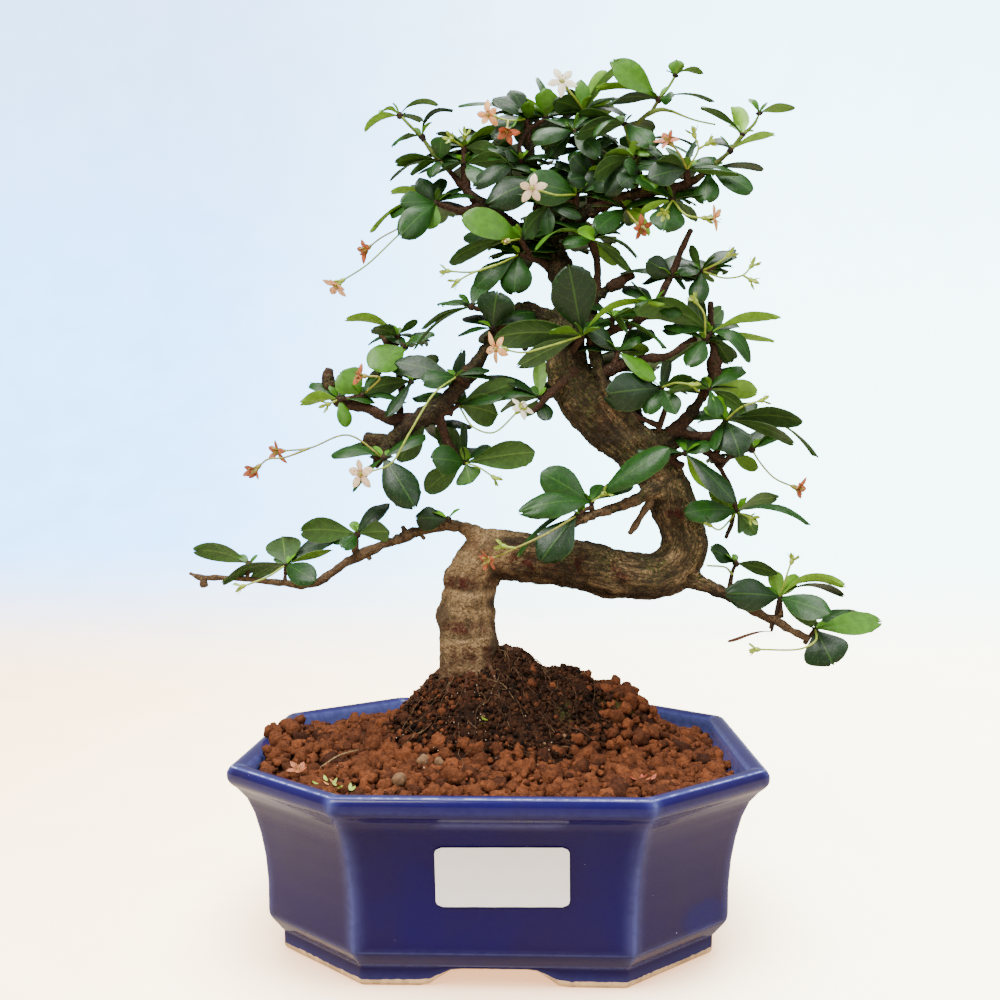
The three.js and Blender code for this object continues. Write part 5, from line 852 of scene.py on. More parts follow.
                    (74.2, 264.4, -14, 7.5, 58, 0.1), (81, 252.4, -16, 9, 28, 0.1),
                    (88.2, 260, -5, 5, 118, 0.02), (78, 275.2, -5, 5, 148, 0.05),
                    (88.4, 271.4, -12, 5, 108, 0.1),
                ),
            ),
            (
                (70.6, 262.6, -9), "ddm",
                (
                    (60.8, 269, -14, 9.5, 20, 0.08), (58.2, 260.4, -4, 8, 58, 0.1),
                    (77.2, 258.6, 0, 7, 58, 0.05),
                ),
            ),
            ((63.4, 250.4, -9), "mm", ((53, 259.2, -4, 6, 100, 0.05), (74.6, 247.2, -14, 8, 46, 0.1))),
        ),
        stalks=(
            ("c", 0.6, ((84, 265, -10), (91, 268.6, -16), (94, 271, -16))),
            ("c", 0.6, ((83.6, 264, -10), (93, 261.6, -16), (100, 262.8, -17), (103.4, 266.4, -17))),
            ("c", 0.6, ((100, 262.8, -17), (103, 260.8, -18))),
        ),
    ),
    "right_vertical": ShootRow(
        stems=(
            ((87, 238, -7, 1.1), (86.8, 239, -9, 1)), ((86.8, 238.6, -8.8, 0.9), (84.6, 236.4, -9.6, 0.9)),
        ),
        rosettes=(
            (
                (86.8, 239.2, -9.4), "pmgpm",
                (
                    (114.6, 245.4, -14, 8, 122, 0.1), (55.6, 249.2, -22, 12, 140, 0.2),
                    (94.8, 226.4, -2, 8, 158, 0.05), (112, 233.6, -4, 6, 118, 0.05),
                    (103.8, 228.2, -14, 9, 46, 0.26),
                ),
            ),
            (
                (84.4, 236, -9.8), "mgmm",
                (
                    (77.4, 225.4, -14, 10.5, 28, 0.05), (80, 254.8, -1, 9, 148, 0.05),
                    (91.2, 249, 8, 8, 148, 0.08), (66, 226.4, -3, 8, 120, 0.08),
                ),
            ),
        ),
        stalks=(("c", 0.7, ((86.6, 240.4, -11), (84, 247, -17), (80.6, 252, -18))),),
    ),
}

BACK_SHOOTS: dict[str, BackRow] = {
    "back_crown_left": BackRow(
        stem=((14, 296, 9, 2), (7, 300, 22, 1.7), (1, 305, 34, 1.4), (-4, 311, 44, 1.1)),
        hearts=(((-4, 312, 45), 5), ((4, 303, 29), 4)),
    ),
    "back_crown_right": BackRow(
        stem=((44, 292.6, -5, 2.2), (45, 297, 14, 1.7), (50, 302, 28, 1.4), (56, 308, 38, 1.1)),
        hearts=(((56, 309, 39), 5), ((47, 300, 21), 4)),
    ),
    "back_crown_middle": BackRow(
        stem=((24, 268, 8, 2), (25, 271, 22, 1.7), (22, 276, 36, 1.4), (24, 284, 46, 1.1)),
        hearts=(((24, 285, 47), 5), ((24, 273, 29), 4)),
    ),
    "back_fork": BackRow(
        stem=((56, 196, 11, 2), (58, 203, 24, 1.7), (54, 212, 36, 1.4), (56, 221, 44, 1.1)),
        hearts=(((56, 222, 45), 5), ((57, 207, 30), 4)),
    ),
    "back_left": BackRow(
        stem=((12, 248, 4, 1.8), (8, 243, 18, 1.6), (6, 238, 30, 1.4), (10, 234, 40, 1.1)),
        hearts=(((10, 233.6, 41), 5), ((7, 240, 24), 4)),
    ),
}


GOLDEN_ANGLE = math.radians(137.5)
METRE = 0.001
# The shared frame starts under the middle of the whole plant; the tables start at the middle of the pot
PLANT_MIDDLE = np.array((14.0, 0.0, 0.0))


class Tone(Enum):
    """Colour of a leaf: from dark, for old leaves and as painted shade on leaves that lie in shadow, to young
    and yellow-green.
    """

    DARK = "d"
    MIDDLE = "m"
    BRIGHT = "b"
    YOUNG = "p"
    DULL = "g"
    WITHERED = "w"


# The dark tone also stands for leaves that lie in shadow: there it is painted shade
TONE_VALUE = {
    Tone.DARK: 0.08,
    Tone.DULL: 0.22,
    Tone.MIDDLE: 0.36,
    Tone.BRIGHT: 0.64,
    Tone.YOUNG: 0.9,
    Tone.WITHERED: 0.0,
}


class StalkEnd(Enum):
    """What a flower stalk carries."""

    CALYX = "c"
    BUD = "b"
    OPEN = "o"
    WITHERED = "w"
    FLOWER_PIECE = "f"
    BARE = "n"


# Space and noise


@dataclass(frozen=True)
class Viewpoint:
    """The place from which the tree was measured."""

    x: float = 15.0
    y: float = -478.0
    z: float = 171.5

    def seen(self, x: float, z: float, depth: float) -> np.ndarray:
        """Returns the point seen at (x, z) on the plane y = 0, moved along its sight line.

        Args:
            x: place to the right on that plane.
            z: height on that plane.
            depth: y of the wanted point.

        Returns:
            The point in the shared frame.
        """
        share = (depth - self.y) / -self.y
        eye = np.array((self.x, self.y, self.z))
        return eye + (np.array((x, 0.0, z)) - eye) * share


EYE = Viewpoint()


@dataclass(frozen=True)
class Grain:
    """Seeded value noise in space."""

    seed: int

    def _corner(self, cell: np.ndarray) -> np.ndarray:
        """Returns a repeatable random value between 0 and 1 for each lattice cell.

        Args:
            cell: whole-numbered lattice places.

        Returns:
            A value for each place.
        """
        x, y, z = cell[..., 0], cell[..., 1], cell[..., 2]
        mixed = x * 73856093 ^ y * 19349663 ^ z * 83492791 ^ self.seed * 40503
        mixed = (mixed ^ (mixed >> 13)) * 1274126177 & 0xFFFFFFFF
        mixed = (mixed ^ (mixed >> 15)) * 668265263 & 0xFFFFFFFF
        return ((mixed >> 8) & 0xFFFF) / 65535.0

    def value(self, points: np.ndarray) -> np.ndarray:
        """Returns smooth noise between -1 and 1 with a lattice of one unit.

        Args:
            points: places in lattice units.

        Returns:
            The noise at each point.
        """
        cell = np.floor(points).astype(np.int64)
        part = points - cell
        part = part * part * (3 - 2 * part)
        total = np.zeros(points.shape[:-1])
        for corner in range(8):
            offset = np.array((corner & 1, corner >> 1 & 1, corner >> 2 & 1))
            weight = np.prod(np.where(offset == 1, part, 1 - part), axis=-1)
            total += weight * self._corner(cell + offset)
        return total * 2 - 1

    def fractal(self, points: np.ndarray, octaves: int = 3) -> np.ndarray:
        """Returns noise summed over octaves, each twice as fine and half as strong.

        Args:
            points: places in lattice units.
            octaves: how many sizes are summed.

        Returns:
            The noise at each point.
        """
        total = np.zeros(points.shape[:-1])
        for octave in range(octaves):
            total += self.value(points * 2**octave + 17.3 * octave) / 2**octave
        return total


def smooth_step(value: np.ndarray | float) -> np.ndarray:
    """Eases a value from 0 to 1 and holds it outside that range."""
    share = np.clip(value, 0.0, 1.0)
    return share * share * (3 - 2 * share)


def unit(vector: np.ndarray) -> np.ndarray:
    """Returns the vector at length one."""
    return vector / max(float(np.linalg.norm(vector)), 1e-9)


# Meshes


@dataclass
class Patch:
    """One stretch of surface: points, faces, and values and flat coordinates at the points."""

    points: np.ndarray
    faces: np.ndarray
    material: int = 0
    values: dict[str, np.ndarray | float] = field(default_factory=dict)
    flat: np.ndarray | None = None


def grid_faces(rows: int, columns: int, closed: bool = False) -> np.ndarray:
    """Returns the quads of a grid of points.

    Args:
        rows: rows of points.
        columns: points in each row.
        closed: whether the last column meets the first.

    Returns:
        One row of four point numbers for each quad.
    """
    across = columns if closed else columns - 1
    row, column = np.meshgrid(np.arange(rows - 1), np.arange(across), indexing="ij")
    after = (column + 1) % columns
    here, above = row * columns, (row + 1) * columns
    quads = np.stack((here + column, here + after, above + after, above + column), axis=-1)
    return quads.reshape(-1, 4)


def border_loop(rows: int, columns: int) -> np.ndarray:
    """Returns the numbers of the points round the border of a grid.

    Args:
        rows: rows of points.
        columns: points in each row.

    Returns:
        The numbers, once round.
    """
    index = np.arange(rows * columns).reshape(rows, columns)
    return np.concatenate((index[0], index[1:, -1], index[-1, -2::-1], index[-2:0:-1, 0]))


@dataclass
class MeshMaker:
    """Collects patches and turns them into one object."""

    name: str
    patches: list[Patch] = field(default_factory=list)

    def add(self, *patches: Patch) -> None:
        """Adds patches to the object."""
        self.patches.extend(patches)

    def build(self, materials: list[bpy.types.Material], smooth: bool = True) -> bpy.types.Object:
        """Makes the object.

        Args:
            materials: its materials, in the order of the patches' material numbers.
            smooth: whether its faces are shaded as one smooth surface.

        Returns:
            The object, linked to the scene.
        """
        points, faces, numbers, flats = [], [], [], []
        names = sorted({key for patch in self.patches for key in patch.values})
        values: dict[str, list[np.ndarray]] = {key: [] for key in names}
        start = 0
        for patch in self.patches:
            count = len(patch.points)
            points.append(patch.points)
            # A quad that names its last point twice is a triangle at the end of a tube
            numbered = (patch.faces + start).tolist()
            faces.extend(face[:3] if face[-1] == face[-2] else face for face in numbered)
            numbers.append(np.full(len(patch.faces), patch.material))
            flats.append(np.zeros((count, 2)) if patch.flat is None else patch.flat)
            for key in names:
                values[key].append(np.broadcast_to(patch.values.get(key, 0.0), (count,)))
            start += count
        mesh = bpy.data.meshes.new(self.name)
        mesh.from_pydata(((np.concatenate(points) - PLANT_MIDDLE) * METRE).tolist(), [], faces)
        mesh.polygons.foreach_set("material_index", np.concatenate(numbers).astype(np.int32))
        mesh.polygons.foreach_set("use_smooth", np.full(len(mesh.polygons), smooth))
        for key in names:
            layer = mesh.attributes.new(name=key, type="FLOAT", domain="POINT")
            layer.data.foreach_set("value", np.concatenate(values[key]).astype(np.float32))
        corner_points = np.empty(len(mesh.loops), dtype=np.int32)
        mesh.loops.foreach_get("vertex_index", corner_points)
        layer = mesh.uv_layers.new(name="flat")
        layer.data.foreach_set("uv", np.concatenate(flats)[corner_points].astype(np.float32).ravel())
        for material in materials:
            mesh.materials.append(material)
        mesh.update()
        piece = bpy.data.objects.new(self.name, mesh)
        bpy.context.scene.collection.objects.link(piece)
        return piece


def hand_over(piece: bpy.types.Object, slot: str, *nodes: str) -> bpy.types.Object:
    """Ties a finished piece to the part.

    Args:
        piece: the piece.
        slot: a material slot of the record; not used.
        nodes: the solids that it stands for.

    Returns:
        The same piece.
    """
    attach(piece, "root")
    for node in nodes:
        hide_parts(node)
    LOG.info("%s: %d faces", piece.name, len(piece.data.polygons))
    return piece


# Tubes


@dataclass(frozen=True)
class Spine:
    """A smooth line with a radius at each of its points."""

    points: np.ndarray
    radii: np.ndarray
    relief_size: ClassVar[float] = 3.1
    # Shape of a tube's rounded end, in shares of its radius: how far the last ring stands out and how
    # wide it is, and how far the tip stands beyond it
    cap_reach: ClassVar[float] = 0.3
    cap_width: ClassVar[float] = 0.7
    tip_reach: ClassVar[float] = 0.1

    @classmethod
    def through(cls, path: Path, step: float) -> "Spine":
        """Runs a smooth line through wood points.

        Args:
            path: wood points as seen from in front.
            step: wanted distance between the points of the line.

        Returns:
            The line.
        """
        knots = np.array([EYE.seen(x, z, depth) for x, z, depth, _ in path])
        radii = np.array([point[3] for point in path], dtype=float)
        return cls.joining(knots, radii, step)

    @classmethod
    def joining(cls, knots: np.ndarray, radii: np.ndarray, step: float) -> "Spine":
        """Runs a smooth line through points of the shared frame.

        Args:
            knots: points that it passes.
            radii: radius at each.
            step: wanted distance between the points of the line.

        Returns:
            The line.
        """
        padded = np.concatenate((2 * knots[:1] - knots[1:2], knots, 2 * knots[-1:] - knots[-2:-1]))
        out_points, out_radii = [], []
        for index in range(len(knots) - 1):
            four = padded[index:index + 4]
            gaps = np.sqrt(np.maximum(np.linalg.norm(np.diff(four, axis=0), axis=1), 1e-6))
            times = np.concatenate(((0.0,), np.cumsum(gaps)))
            count = max(1, round(float(gaps[1] ** 2) / step))
            last = index == len(knots) - 2
            shares = np.linspace(0, 1, count + 1)[: count + 1 if last else count]
            now = (times[1] + (times[2] - times[1]) * shares)[:, None]

            def blend(a: np.ndarray, b: np.ndarray, low: float, high: float) -> np.ndarray:
                """Mixes two points by where the time lies between low and high."""
                return (high - now) / (high - low) * a + (now - low) / (high - low) * b

            ab = blend(four[0], four[1], times[0], times[1])
            bc = blend(four[1], four[2], times[1], times[2])
            cd = blend(four[2], four[3], times[2], times[3])
            abc = blend(ab, bc, times[0], times[2])
            bcd = blend(bc, cd, times[1], times[3])
            out_points.append(blend(abc, bcd, times[1], times[2]))
            out_radii.append(radii[index] + (radii[index + 1] - radii[index]) * smooth_step(shares))
        return cls(np.concatenate(out_points), np.concatenate(out_radii))

    def frames(self) -> tuple[np.ndarray, np.ndarray, np.ndarray]:
        """Returns the direction along the line and two directions across it, at each point.

        Returns:
            Three unit vectors for each point, one array for each direction.
        """
        along = np.gradient(self.points, axis=0)
        along /= np.maximum(np.linalg.norm(along, axis=1, keepdims=True), 1e-9)
        normal = np.array((0.0, 1.0, 0.0))
        normals = []
        for direction in along:
            normal = normal - direction * np.dot(normal, direction)
            if np.linalg.norm(normal) < 0.05:
                normal = np.cross(direction, (0.3, 0.1, 1.0))
            normal = unit(normal)
            normals.append(normal)
        across = np.array(normals)
        return along, across, np.cross(along, across)

    def tube(
        self, sides: int, relief: float = 0.0, material: int = 0, seed: int = 0, **values: float
    ) -> Patch:
        """Wraps a closed tube round the line.

        Args:
            sides: points round the tube.
            relief: depth of its unevenness as a share of the radius.
            material: number of its material.
            seed: which unevenness.
            values: values that all its points carry.

        Returns:
            The tube with rounded ends.
        """
        along, across, third = self.frames()
        angles = np.linspace(0, 2 * math.pi, sides, endpoint=False)
        cosines, sines = np.cos(angles)[None, :, None], np.sin(angles)[None, :, None]
        ring = across[:, None] * cosines + third[:, None] * sines
        centre = self.points[:, None]
        radii = self.radii[:, None]
        if relief:
            coarse = Grain(seed).fractal((centre + ring * radii[..., None]) / self.relief_size, 2)
            radii = radii * (1 + relief * coarse)
        body = centre + ring * radii[..., None]
        caps, tips = [], []
        for end, way in ((0, -1), (-1, 1)):
            out = along[end] * self.radii[end] * way
            cap = self.points[end] + out * self.cap_reach + (body[end] - self.points[end]) * self.cap_width
            caps.append(cap)
            tips.append(cap.mean(axis=0) + out * self.tip_reach)
        rings = np.concatenate((caps[0][None], body, caps[1][None]))
        rows = len(rings)
        points = rings.reshape(-1, 3)
        low, high = len(points), len(points) + 1
        side = np.arange(sides)
        after = (side + 1) % sides
        top = (rows - 1) * sides
        fan_low = np.stack((np.full(sides, low), after, side, side), axis=-1)
        fan_high = np.stack((np.full(sides, high), top + side, top + after, top + after), axis=-1)
        length = np.repeat(np.linspace(0, 1, rows), sides)
        turn = np.tile(angles / (2 * math.pi), rows)
        flat = np.concatenate((np.stack((length, turn), axis=-1), ((0.0, 0.0), (1.0, 0.0))))
        faces = np.concatenate((grid_faces(rows, sides, closed=True), fan_low, fan_high))
        return Patch(np.concatenate((points, tips)), faces, material, dict(values), flat)


# Node trees


class NodeSheet:
    """Adds nodes to a node tree from left to right."""

    row_length = 12
    spacing = (220, 260)

    def __init__(self, tree: bpy.types.NodeTree) -> None:
        """Takes the tree that the nodes go to."""
        self.tree = tree
        self.count = 0

    def node(self, kind: str, inputs: dict | None = None, **settings: object) -> bpy.types.Node:
        """Adds a node.

        Args:
            kind: its type.
            inputs: a value or an output socket for each input, by name or number.
            settings: its own settings.

        Returns:
            The node.
        """
        made = self.tree.nodes.new(kind)
        row, column = divmod(self.count, self.row_length)
        made.location = (self.spacing[0] * column, -self.spacing[1] * row)
        self.count += 1
        for key, value in settings.items():
            setattr(made, key, value)
        self.feed(made, inputs or {})
        return made

    def feed(self, made: bpy.types.Node, inputs: dict) -> None:
        """Sets or links the inputs of a node.

        Args:
            made: the node.
            inputs: a value or an output socket for each input, by name or number.
        """
        for key, value in inputs.items():
            if isinstance(value, Socket):
                self.tree.links.new(value, made.inputs[key])
            else:
                made.inputs[key].default_value = value

    def maths(self, operation: str, first: object, second: object = 0.0, clamp: bool = False) -> Socket:
        """Adds a calculation and returns its result."""
        settings = {"operation": operation, "use_clamp": clamp}
        return self.node("ShaderNodeMath", {0: first, 1: second}, **settings).outputs[0]

    def times(self, first: object, second: object) -> Socket:
        """Multiplies two values and returns the product."""
        return self.maths("MULTIPLY", first, second)

    def across(self, vector: object) -> bpy.types.Node:
        """Adds a node that splits a vector into its three parts."""
        return self.node("ShaderNodeSeparateXYZ", {0: vector})

    def flat_place(self) -> bpy.types.Node:
        """Adds a node that gives the place along and across a blade or petal."""
        return self.across(self.node("ShaderNodeUVMap", uv_map="flat").outputs[0])

    def mix(self, factor: object, first: object, second: object, blend: str = "MIX") -> Socket:
        """Mixes two colours and returns the result."""
        settings = {"data_type": "RGBA", "blend_type": blend, "clamp_factor": True}
        return self.node("ShaderNodeMix", {0: factor, 6: first, 7: second}, **settings).outputs[2]

    def span(
        self, value: object, low: float, high: float, to_low: float = 0.0, to_high: float = 1.0
    ) -> Socket:
        """Stretches a range of values to another range, smoothly, and returns the result."""
        inputs = {"Value": value, "From Min": low, "From Max": high, "To Min": to_low, "To Max": to_high}
        return self.node("ShaderNodeMapRange", inputs, interpolation_type="SMOOTHSTEP").outputs[0]

    def attribute(self, name: str) -> Socket:
        """Returns a value that the mesh carries at its points."""
        return self.node("ShaderNodeAttribute", attribute_name=name).outputs["Fac"]

    def shared(self, name: str, inputs: dict) -> bpy.types.Node:
        """Adds a shared effect with its inputs.

        Args:
            name: its name, without the prefix that its tree carries.
            inputs: a value or an output socket for each input.

        Returns:
            The node.
        """
        tree = bpy.data.node_groups.get(f"shared_{name}") or SHARED_EFFECTS[name]()
        made = self.node("ShaderNodeGroup", node_tree=tree)
        self.feed(made, inputs)
        return made


def new_effect(
    name: str, inputs: dict[str, float | Colour], outputs: dict[str, str]
) -> tuple[bpy.types.NodeTree, NodeSheet, bpy.types.Node, bpy.types.Node]:
    """Starts a shared effect.

    Args:
        name: its name.
        inputs: the default of each input, a number or a colour.
        outputs: the kind of each output, Float or Color.

    Returns:
        The tree, its sheet, and its input and output nodes.
    """
    tree = bpy.data.node_groups.new(f"shared_{name}", "ShaderNodeTree")
    for key, default in inputs.items():
        kind = "NodeSocketColor" if isinstance(default, tuple) else "NodeSocketFloat"
        tree.interface.new_socket(name=key, in_out="INPUT", socket_type=kind).default_value = default
    for key, kind in outputs.items():
        tree.interface.new_socket(name=key, in_out="OUTPUT", socket_type=f"NodeSocket{kind}")
    sheet = NodeSheet(tree)
    return tree, sheet, sheet.node("NodeGroupInput"), sheet.node("NodeGroupOutput")


def place_in_mm(sheet: NodeSheet) -> Socket:
    """Returns the place on the piece in millimetres."""
    place = sheet.node("ShaderNodeTexCoord").outputs["Object"]
    return sheet.node("ShaderNodeVectorMath", {0: place, "Scale": 1000.0}, operation="SCALE").outputs[0]


def grain_effect() -> bpy.types.NodeTree:
    """Uneven grain at two sizes: Coarse and Fine, from 0 to 1, and their sum as Height.

    Returns:
        The effect's node tree.
    """
    outputs = {"Coarse": "Float", "Fine": "Float", "Height": "Float"}
    tree, sheet, given, result = new_effect("grain", {"Size": 5.0, "Fineness": 5.0}, outputs)
    place = place_in_mm(sheet)
    coarse_scale = sheet.maths("DIVIDE", 1.0, given.outputs["Size"])
    fine_scale = sheet.times(coarse_scale, given.outputs["Fineness"])
    coarse = sheet.node("ShaderNodeTexNoise", {"Vector": place, "Scale": coarse_scale, "Detail": 2.0})
    fine = sheet.node("ShaderNodeTexNoise", {"Vector": place, "Scale": fine_scale, "Detail": 2.0})
    coarse_mask = sheet.span(coarse.outputs[0], 0.32, 0.68)
    fine_mask = sheet.span(fine.outputs[0], 0.3, 0.7)
    height = sheet.maths("ADD", sheet.times(coarse_mask, 0.7), sheet.times(fine_mask, 0.3))
    sheet.feed(result, {"Coarse": coarse_mask, "Fine": fine_mask, "Height": height})
    return tree


def fleck_effect() -> bpy.types.NodeTree:
    """Scattered small spots: Mask is 1 inside a spot; Amount is the share of cells that hold one.

    Returns:
        The effect's node tree.
    """
    inputs = {"Spacing": 2.0, "Spot": 0.2, "Amount": 0.5}
    tree, sheet, given, result = new_effect("flecks", inputs, {"Mask": "Float"})
    scale = sheet.maths("DIVIDE", 1.0, given.outputs["Spacing"])
    cells = sheet.node("ShaderNodeTexVoronoi", {"Vector": place_in_mm(sheet), "Scale": scale})
    chance = sheet.node("ShaderNodeSeparateColor", {0: cells.outputs["Color"]})
    kept = sheet.maths("LESS_THAN", chance.outputs[0], given.outputs["Amount"])
    size = sheet.times(given.outputs["Spot"], sheet.span(chance.outputs[1], 0.0, 1.0, 0.4, 1.3))
    near = sheet.maths("SUBTRACT", 1.0, sheet.maths("DIVIDE", cells.outputs["Distance"], size), clamp=True)
    spot = sheet.span(near, 0.0, 0.6)
    tree.links.new(sheet.times(spot, kept), result.inputs["Mask"])
    return tree


def settled_effect() -> bpy.types.NodeTree:
    """What settles on upward faces, such as dust or moss: Mask grows with how level the surface is.

    Returns:
        The effect's node tree.
    """
    tree, sheet, given, result = new_effect("settled", {"Amount": 0.5, "Size": 6.0}, {"Mask": "Float"})
    facing = sheet.across(sheet.node("ShaderNodeNewGeometry").outputs["Normal"])
    level = sheet.span(facing.outputs[2], -0.1, 0.9)
    patchy = sheet.shared("grain", {"Size": given.outputs["Size"], "Fineness": 4.0})
    broken = sheet.times(level, sheet.span(patchy.outputs["Height"], 0.25, 0.7))
    settled = sheet.maths("MULTIPLY", broken, given.outputs["Amount"], clamp=True)
    tree.links.new(settled, result.inputs["Mask"])
    return tree


def shade_effect() -> bpy.types.NodeTree:
    """Lightens or darkens a colour by a value around one half, by as much as Strength.

    Returns:
        The effect's node tree.
    """
    inputs = {"Colour": (0.5, 0.5, 0.5, 1.0), "Value": 0.5, "Strength": 0.3}
    tree, sheet, given, result = new_effect("shade", inputs, {"Colour": "Color"})
    off = sheet.maths("SUBTRACT", given.outputs["Value"], 0.5)
    shift = sheet.times(off, given.outputs["Strength"])
    level = sheet.maths("ADD", 1.0, sheet.times(shift, 2.0))
    turned = sheet.node("ShaderNodeHueSaturation", {"Color": given.outputs["Colour"], "Value": level})
    tree.links.new(turned.outputs[0], result.inputs["Colour"])
    return tree


SHARED_EFFECTS = {
    "grain": grain_effect,
    "flecks": fleck_effect,
    "settled": settled_effect,
    "shade": shade_effect,
}


def rgb(red: float, green: float, blue: float) -> Colour:
    """Turns a colour as seen on a screen, 0 to 255, into a linear one.

    Args:
        red: red as seen.
        green: green as seen.
        blue: blue as seen.

    Returns:
        The linear colour with full opacity.
    """
    def linear(value: float) -> float:
        """Undoes the screen's curve for one channel."""
        share = value / 255
        return share / 12.92 if share <= 0.04045 else ((share + 0.055) / 1.055) ** 2.4

    return linear(red), linear(green), linear(blue), 1.0


# Finishes


@dataclass(frozen=True)
class Finish:
    """A material: its name and the constants of its surface."""

    name: str
    roughness: float = 0.6
    coat: float = 0.0
    coat_roughness: float = 0.1
    bump: float = 0.3
    bump_depth: float = 0.2
    subsurface: float = 0.0
    specular: float = 0.5
    glow: float = 0.0

    def material(self) -> bpy.types.Material:
        """Builds the material once and returns it.

        Returns:
            The material.
        """
        if self.name in bpy.data.materials:
            return bpy.data.materials[self.name]
        made = bpy.data.materials.new(self.name)
        made.use_nodes = True
        made.cycles.emission_sampling = "NONE"
        made.node_tree.nodes.clear()
        sheet = NodeSheet(made.node_tree)
        colour, rough, height = self.surface(sheet)
        bump_inputs = {"Strength": self.bump, "Distance": self.bump_depth * METRE, "Height": height}
        bump = sheet.node("ShaderNodeBump", bump_inputs)
        inputs = {
            "Base Color": colour,
            "Roughness": rough,
            "Normal": bump.outputs[0],
            "Coat Weight": self.coat,
            "Coat Roughness": self.coat_roughness,
            "Subsurface Weight": self.subsurface,
            "Subsurface Scale": METRE,
            "Specular IOR Level": self.specular,
            "Emission Color": self.lit(sheet, colour),
            "Emission Strength": self.glow,
        }
        shader = sheet.node("ShaderNodeBsdfPrincipled", inputs)
        sheet.node("ShaderNodeOutputMaterial", {"Surface": shader.outputs[0]})
        return made

    def surface(self, sheet: NodeSheet) -> Dressing:
        """Returns colour, roughness and height; each kind of finish has its own.

        Args:
            sheet: the nodes of the material.

        Returns:
            Colour, roughness and height.
        """
        raise NotImplementedError

    def lit(self, sheet: NodeSheet, colour: object) -> object:
        """Returns the colour in which the surface glows, where it glows at all.

        Args:
            sheet: the nodes of the material.
            colour: its colour where it doesn't glow.

        Returns:
            The colour of its glow.
        """
        return colour


@dataclass(frozen=True)
class Glaze(Finish):
    """Thick cobalt glaze that pools dark in hollows and breaks pale where it runs thin, with a painted sheen
    on the side facets and a painted highlight on the rim.
    """

    deep: Colour = rgb(15, 2, 72)
    pooled: Colour = rgb(6, 0, 84)
    greyed: Colour = rgb(26, 12, 52)
    painted_sheen: Colour = rgb(32, 20, 64)
    broken: Colour = rgb(84, 92, 150)
    painted_highlight: Colour = rgb(168, 172, 206)
    pinhole: Colour = rgb(150, 150, 195)
    bare: Colour = rgb(206, 172, 128)
    stained: Colour = rgb(116, 88, 76)

    def surface(self, sheet: NodeSheet) -> Dressing:
        """Mixes deep, pooled and broken glaze, with speckles, pinholes, the bare foot, a painted sheen on the
        side facets and a painted highlight on the rim.

        Args:
            sheet: the nodes of the material.

        Returns:
            Colour, roughness and height.
        """
        clouds = sheet.shared("grain", {"Size": 26.0, "Fineness": 7.0}).outputs
        speckle = sheet.shared("flecks", {"Spacing": 1.5, "Spot": 0.34, "Amount": 0.55}).outputs["Mask"]
        pinhole = sheet.shared("flecks", {"Spacing": 8.0, "Spot": 0.045, "Amount": 0.35}).outputs["Mask"]
        colour = sheet.mix(sheet.times(clouds["Coarse"], 0.45), self.deep, self.greyed)
        # Painted sheen: the side facets are greyed as if they reflected the room, except on the pooled patch
        haze = sheet.times(sheet.attribute("haze"), sheet.span(clouds["Height"], 0.0, 1.0, 0.75, 1.0))
        colour = sheet.mix(haze, colour, self.painted_sheen)
        speckled = sheet.times(sheet.attribute("pool"), sheet.span(speckle, 0.0, 0.5, 0.5, 1.0))
        colour = sheet.mix(sheet.span(speckled, 0.2, 0.6), colour, self.pooled)
        thin = sheet.times(sheet.attribute("break"), sheet.span(clouds["Fine"], 0.1, 0.75, 0.8, 1.0))
        colour = sheet.mix(thin, colour, self.broken)
        # Painted highlight: the palest colour where the mark nears 1, on the crest of the rim
        colour = sheet.mix(sheet.span(thin, 0.72, 1.0), colour, self.painted_highlight)
        colour = sheet.mix(pinhole, colour, self.pinhole)
        uneven_edge = sheet.span(clouds["Fine"], 0.0, 1.0, -0.18, 0.18)
        bare = sheet.span(sheet.maths("ADD", sheet.attribute("bare"), uneven_edge), 0.42, 0.58)
        body = sheet.shared("shade", {"Colour": self.bare, "Value": clouds["Fine"], "Strength": 0.25})
        colour = sheet.mix(bare, colour, body.outputs["Colour"])
        stain = sheet.times(sheet.attribute("stain"), sheet.span(clouds["Fine"], 0.2, 0.7, 0.4, 1.0))
        colour = sheet.mix(stain, colour, self.stained)
        smooth = sheet.span(clouds["Fine"], 0.0, 1.0, self.roughness * 0.8, self.roughness * 1.3)
        rough = sheet.maths("ADD", smooth, sheet.times(sheet.maths("MAXIMUM", bare, stain), 0.5))
        return colour, rough, sheet.maths("SUBTRACT", clouds["Coarse"], pinhole)


@dataclass(frozen=True)
class Paper(Finish):
    """Blank coated label paper."""

    white: Colour = rgb(255, 251, 248)
    shaded: Colour = rgb(250, 244, 241)
    grubby: Colour = rgb(206, 196, 192)

    def surface(self, sheet: NodeSheet) -> Dressing:
        """Near white with faint fibres and a slightly grubby edge.

        Args:
            sheet: the nodes of the material.

        Returns:
            Colour, roughness and height.
        """
        fibres = sheet.shared("grain", {"Size": 3.0, "Fineness": 8.0}).outputs
        base = sheet.mix(fibres["Coarse"], self.white, self.shaded)
        colour = sheet.mix(sheet.times(sheet.attribute("edge"), 0.5), base, self.grubby)
        rough = sheet.span(fibres["Fine"], 0.0, 1.0, self.roughness * 0.85, self.roughness * 1.1)
        return colour, rough, fibres["Height"]


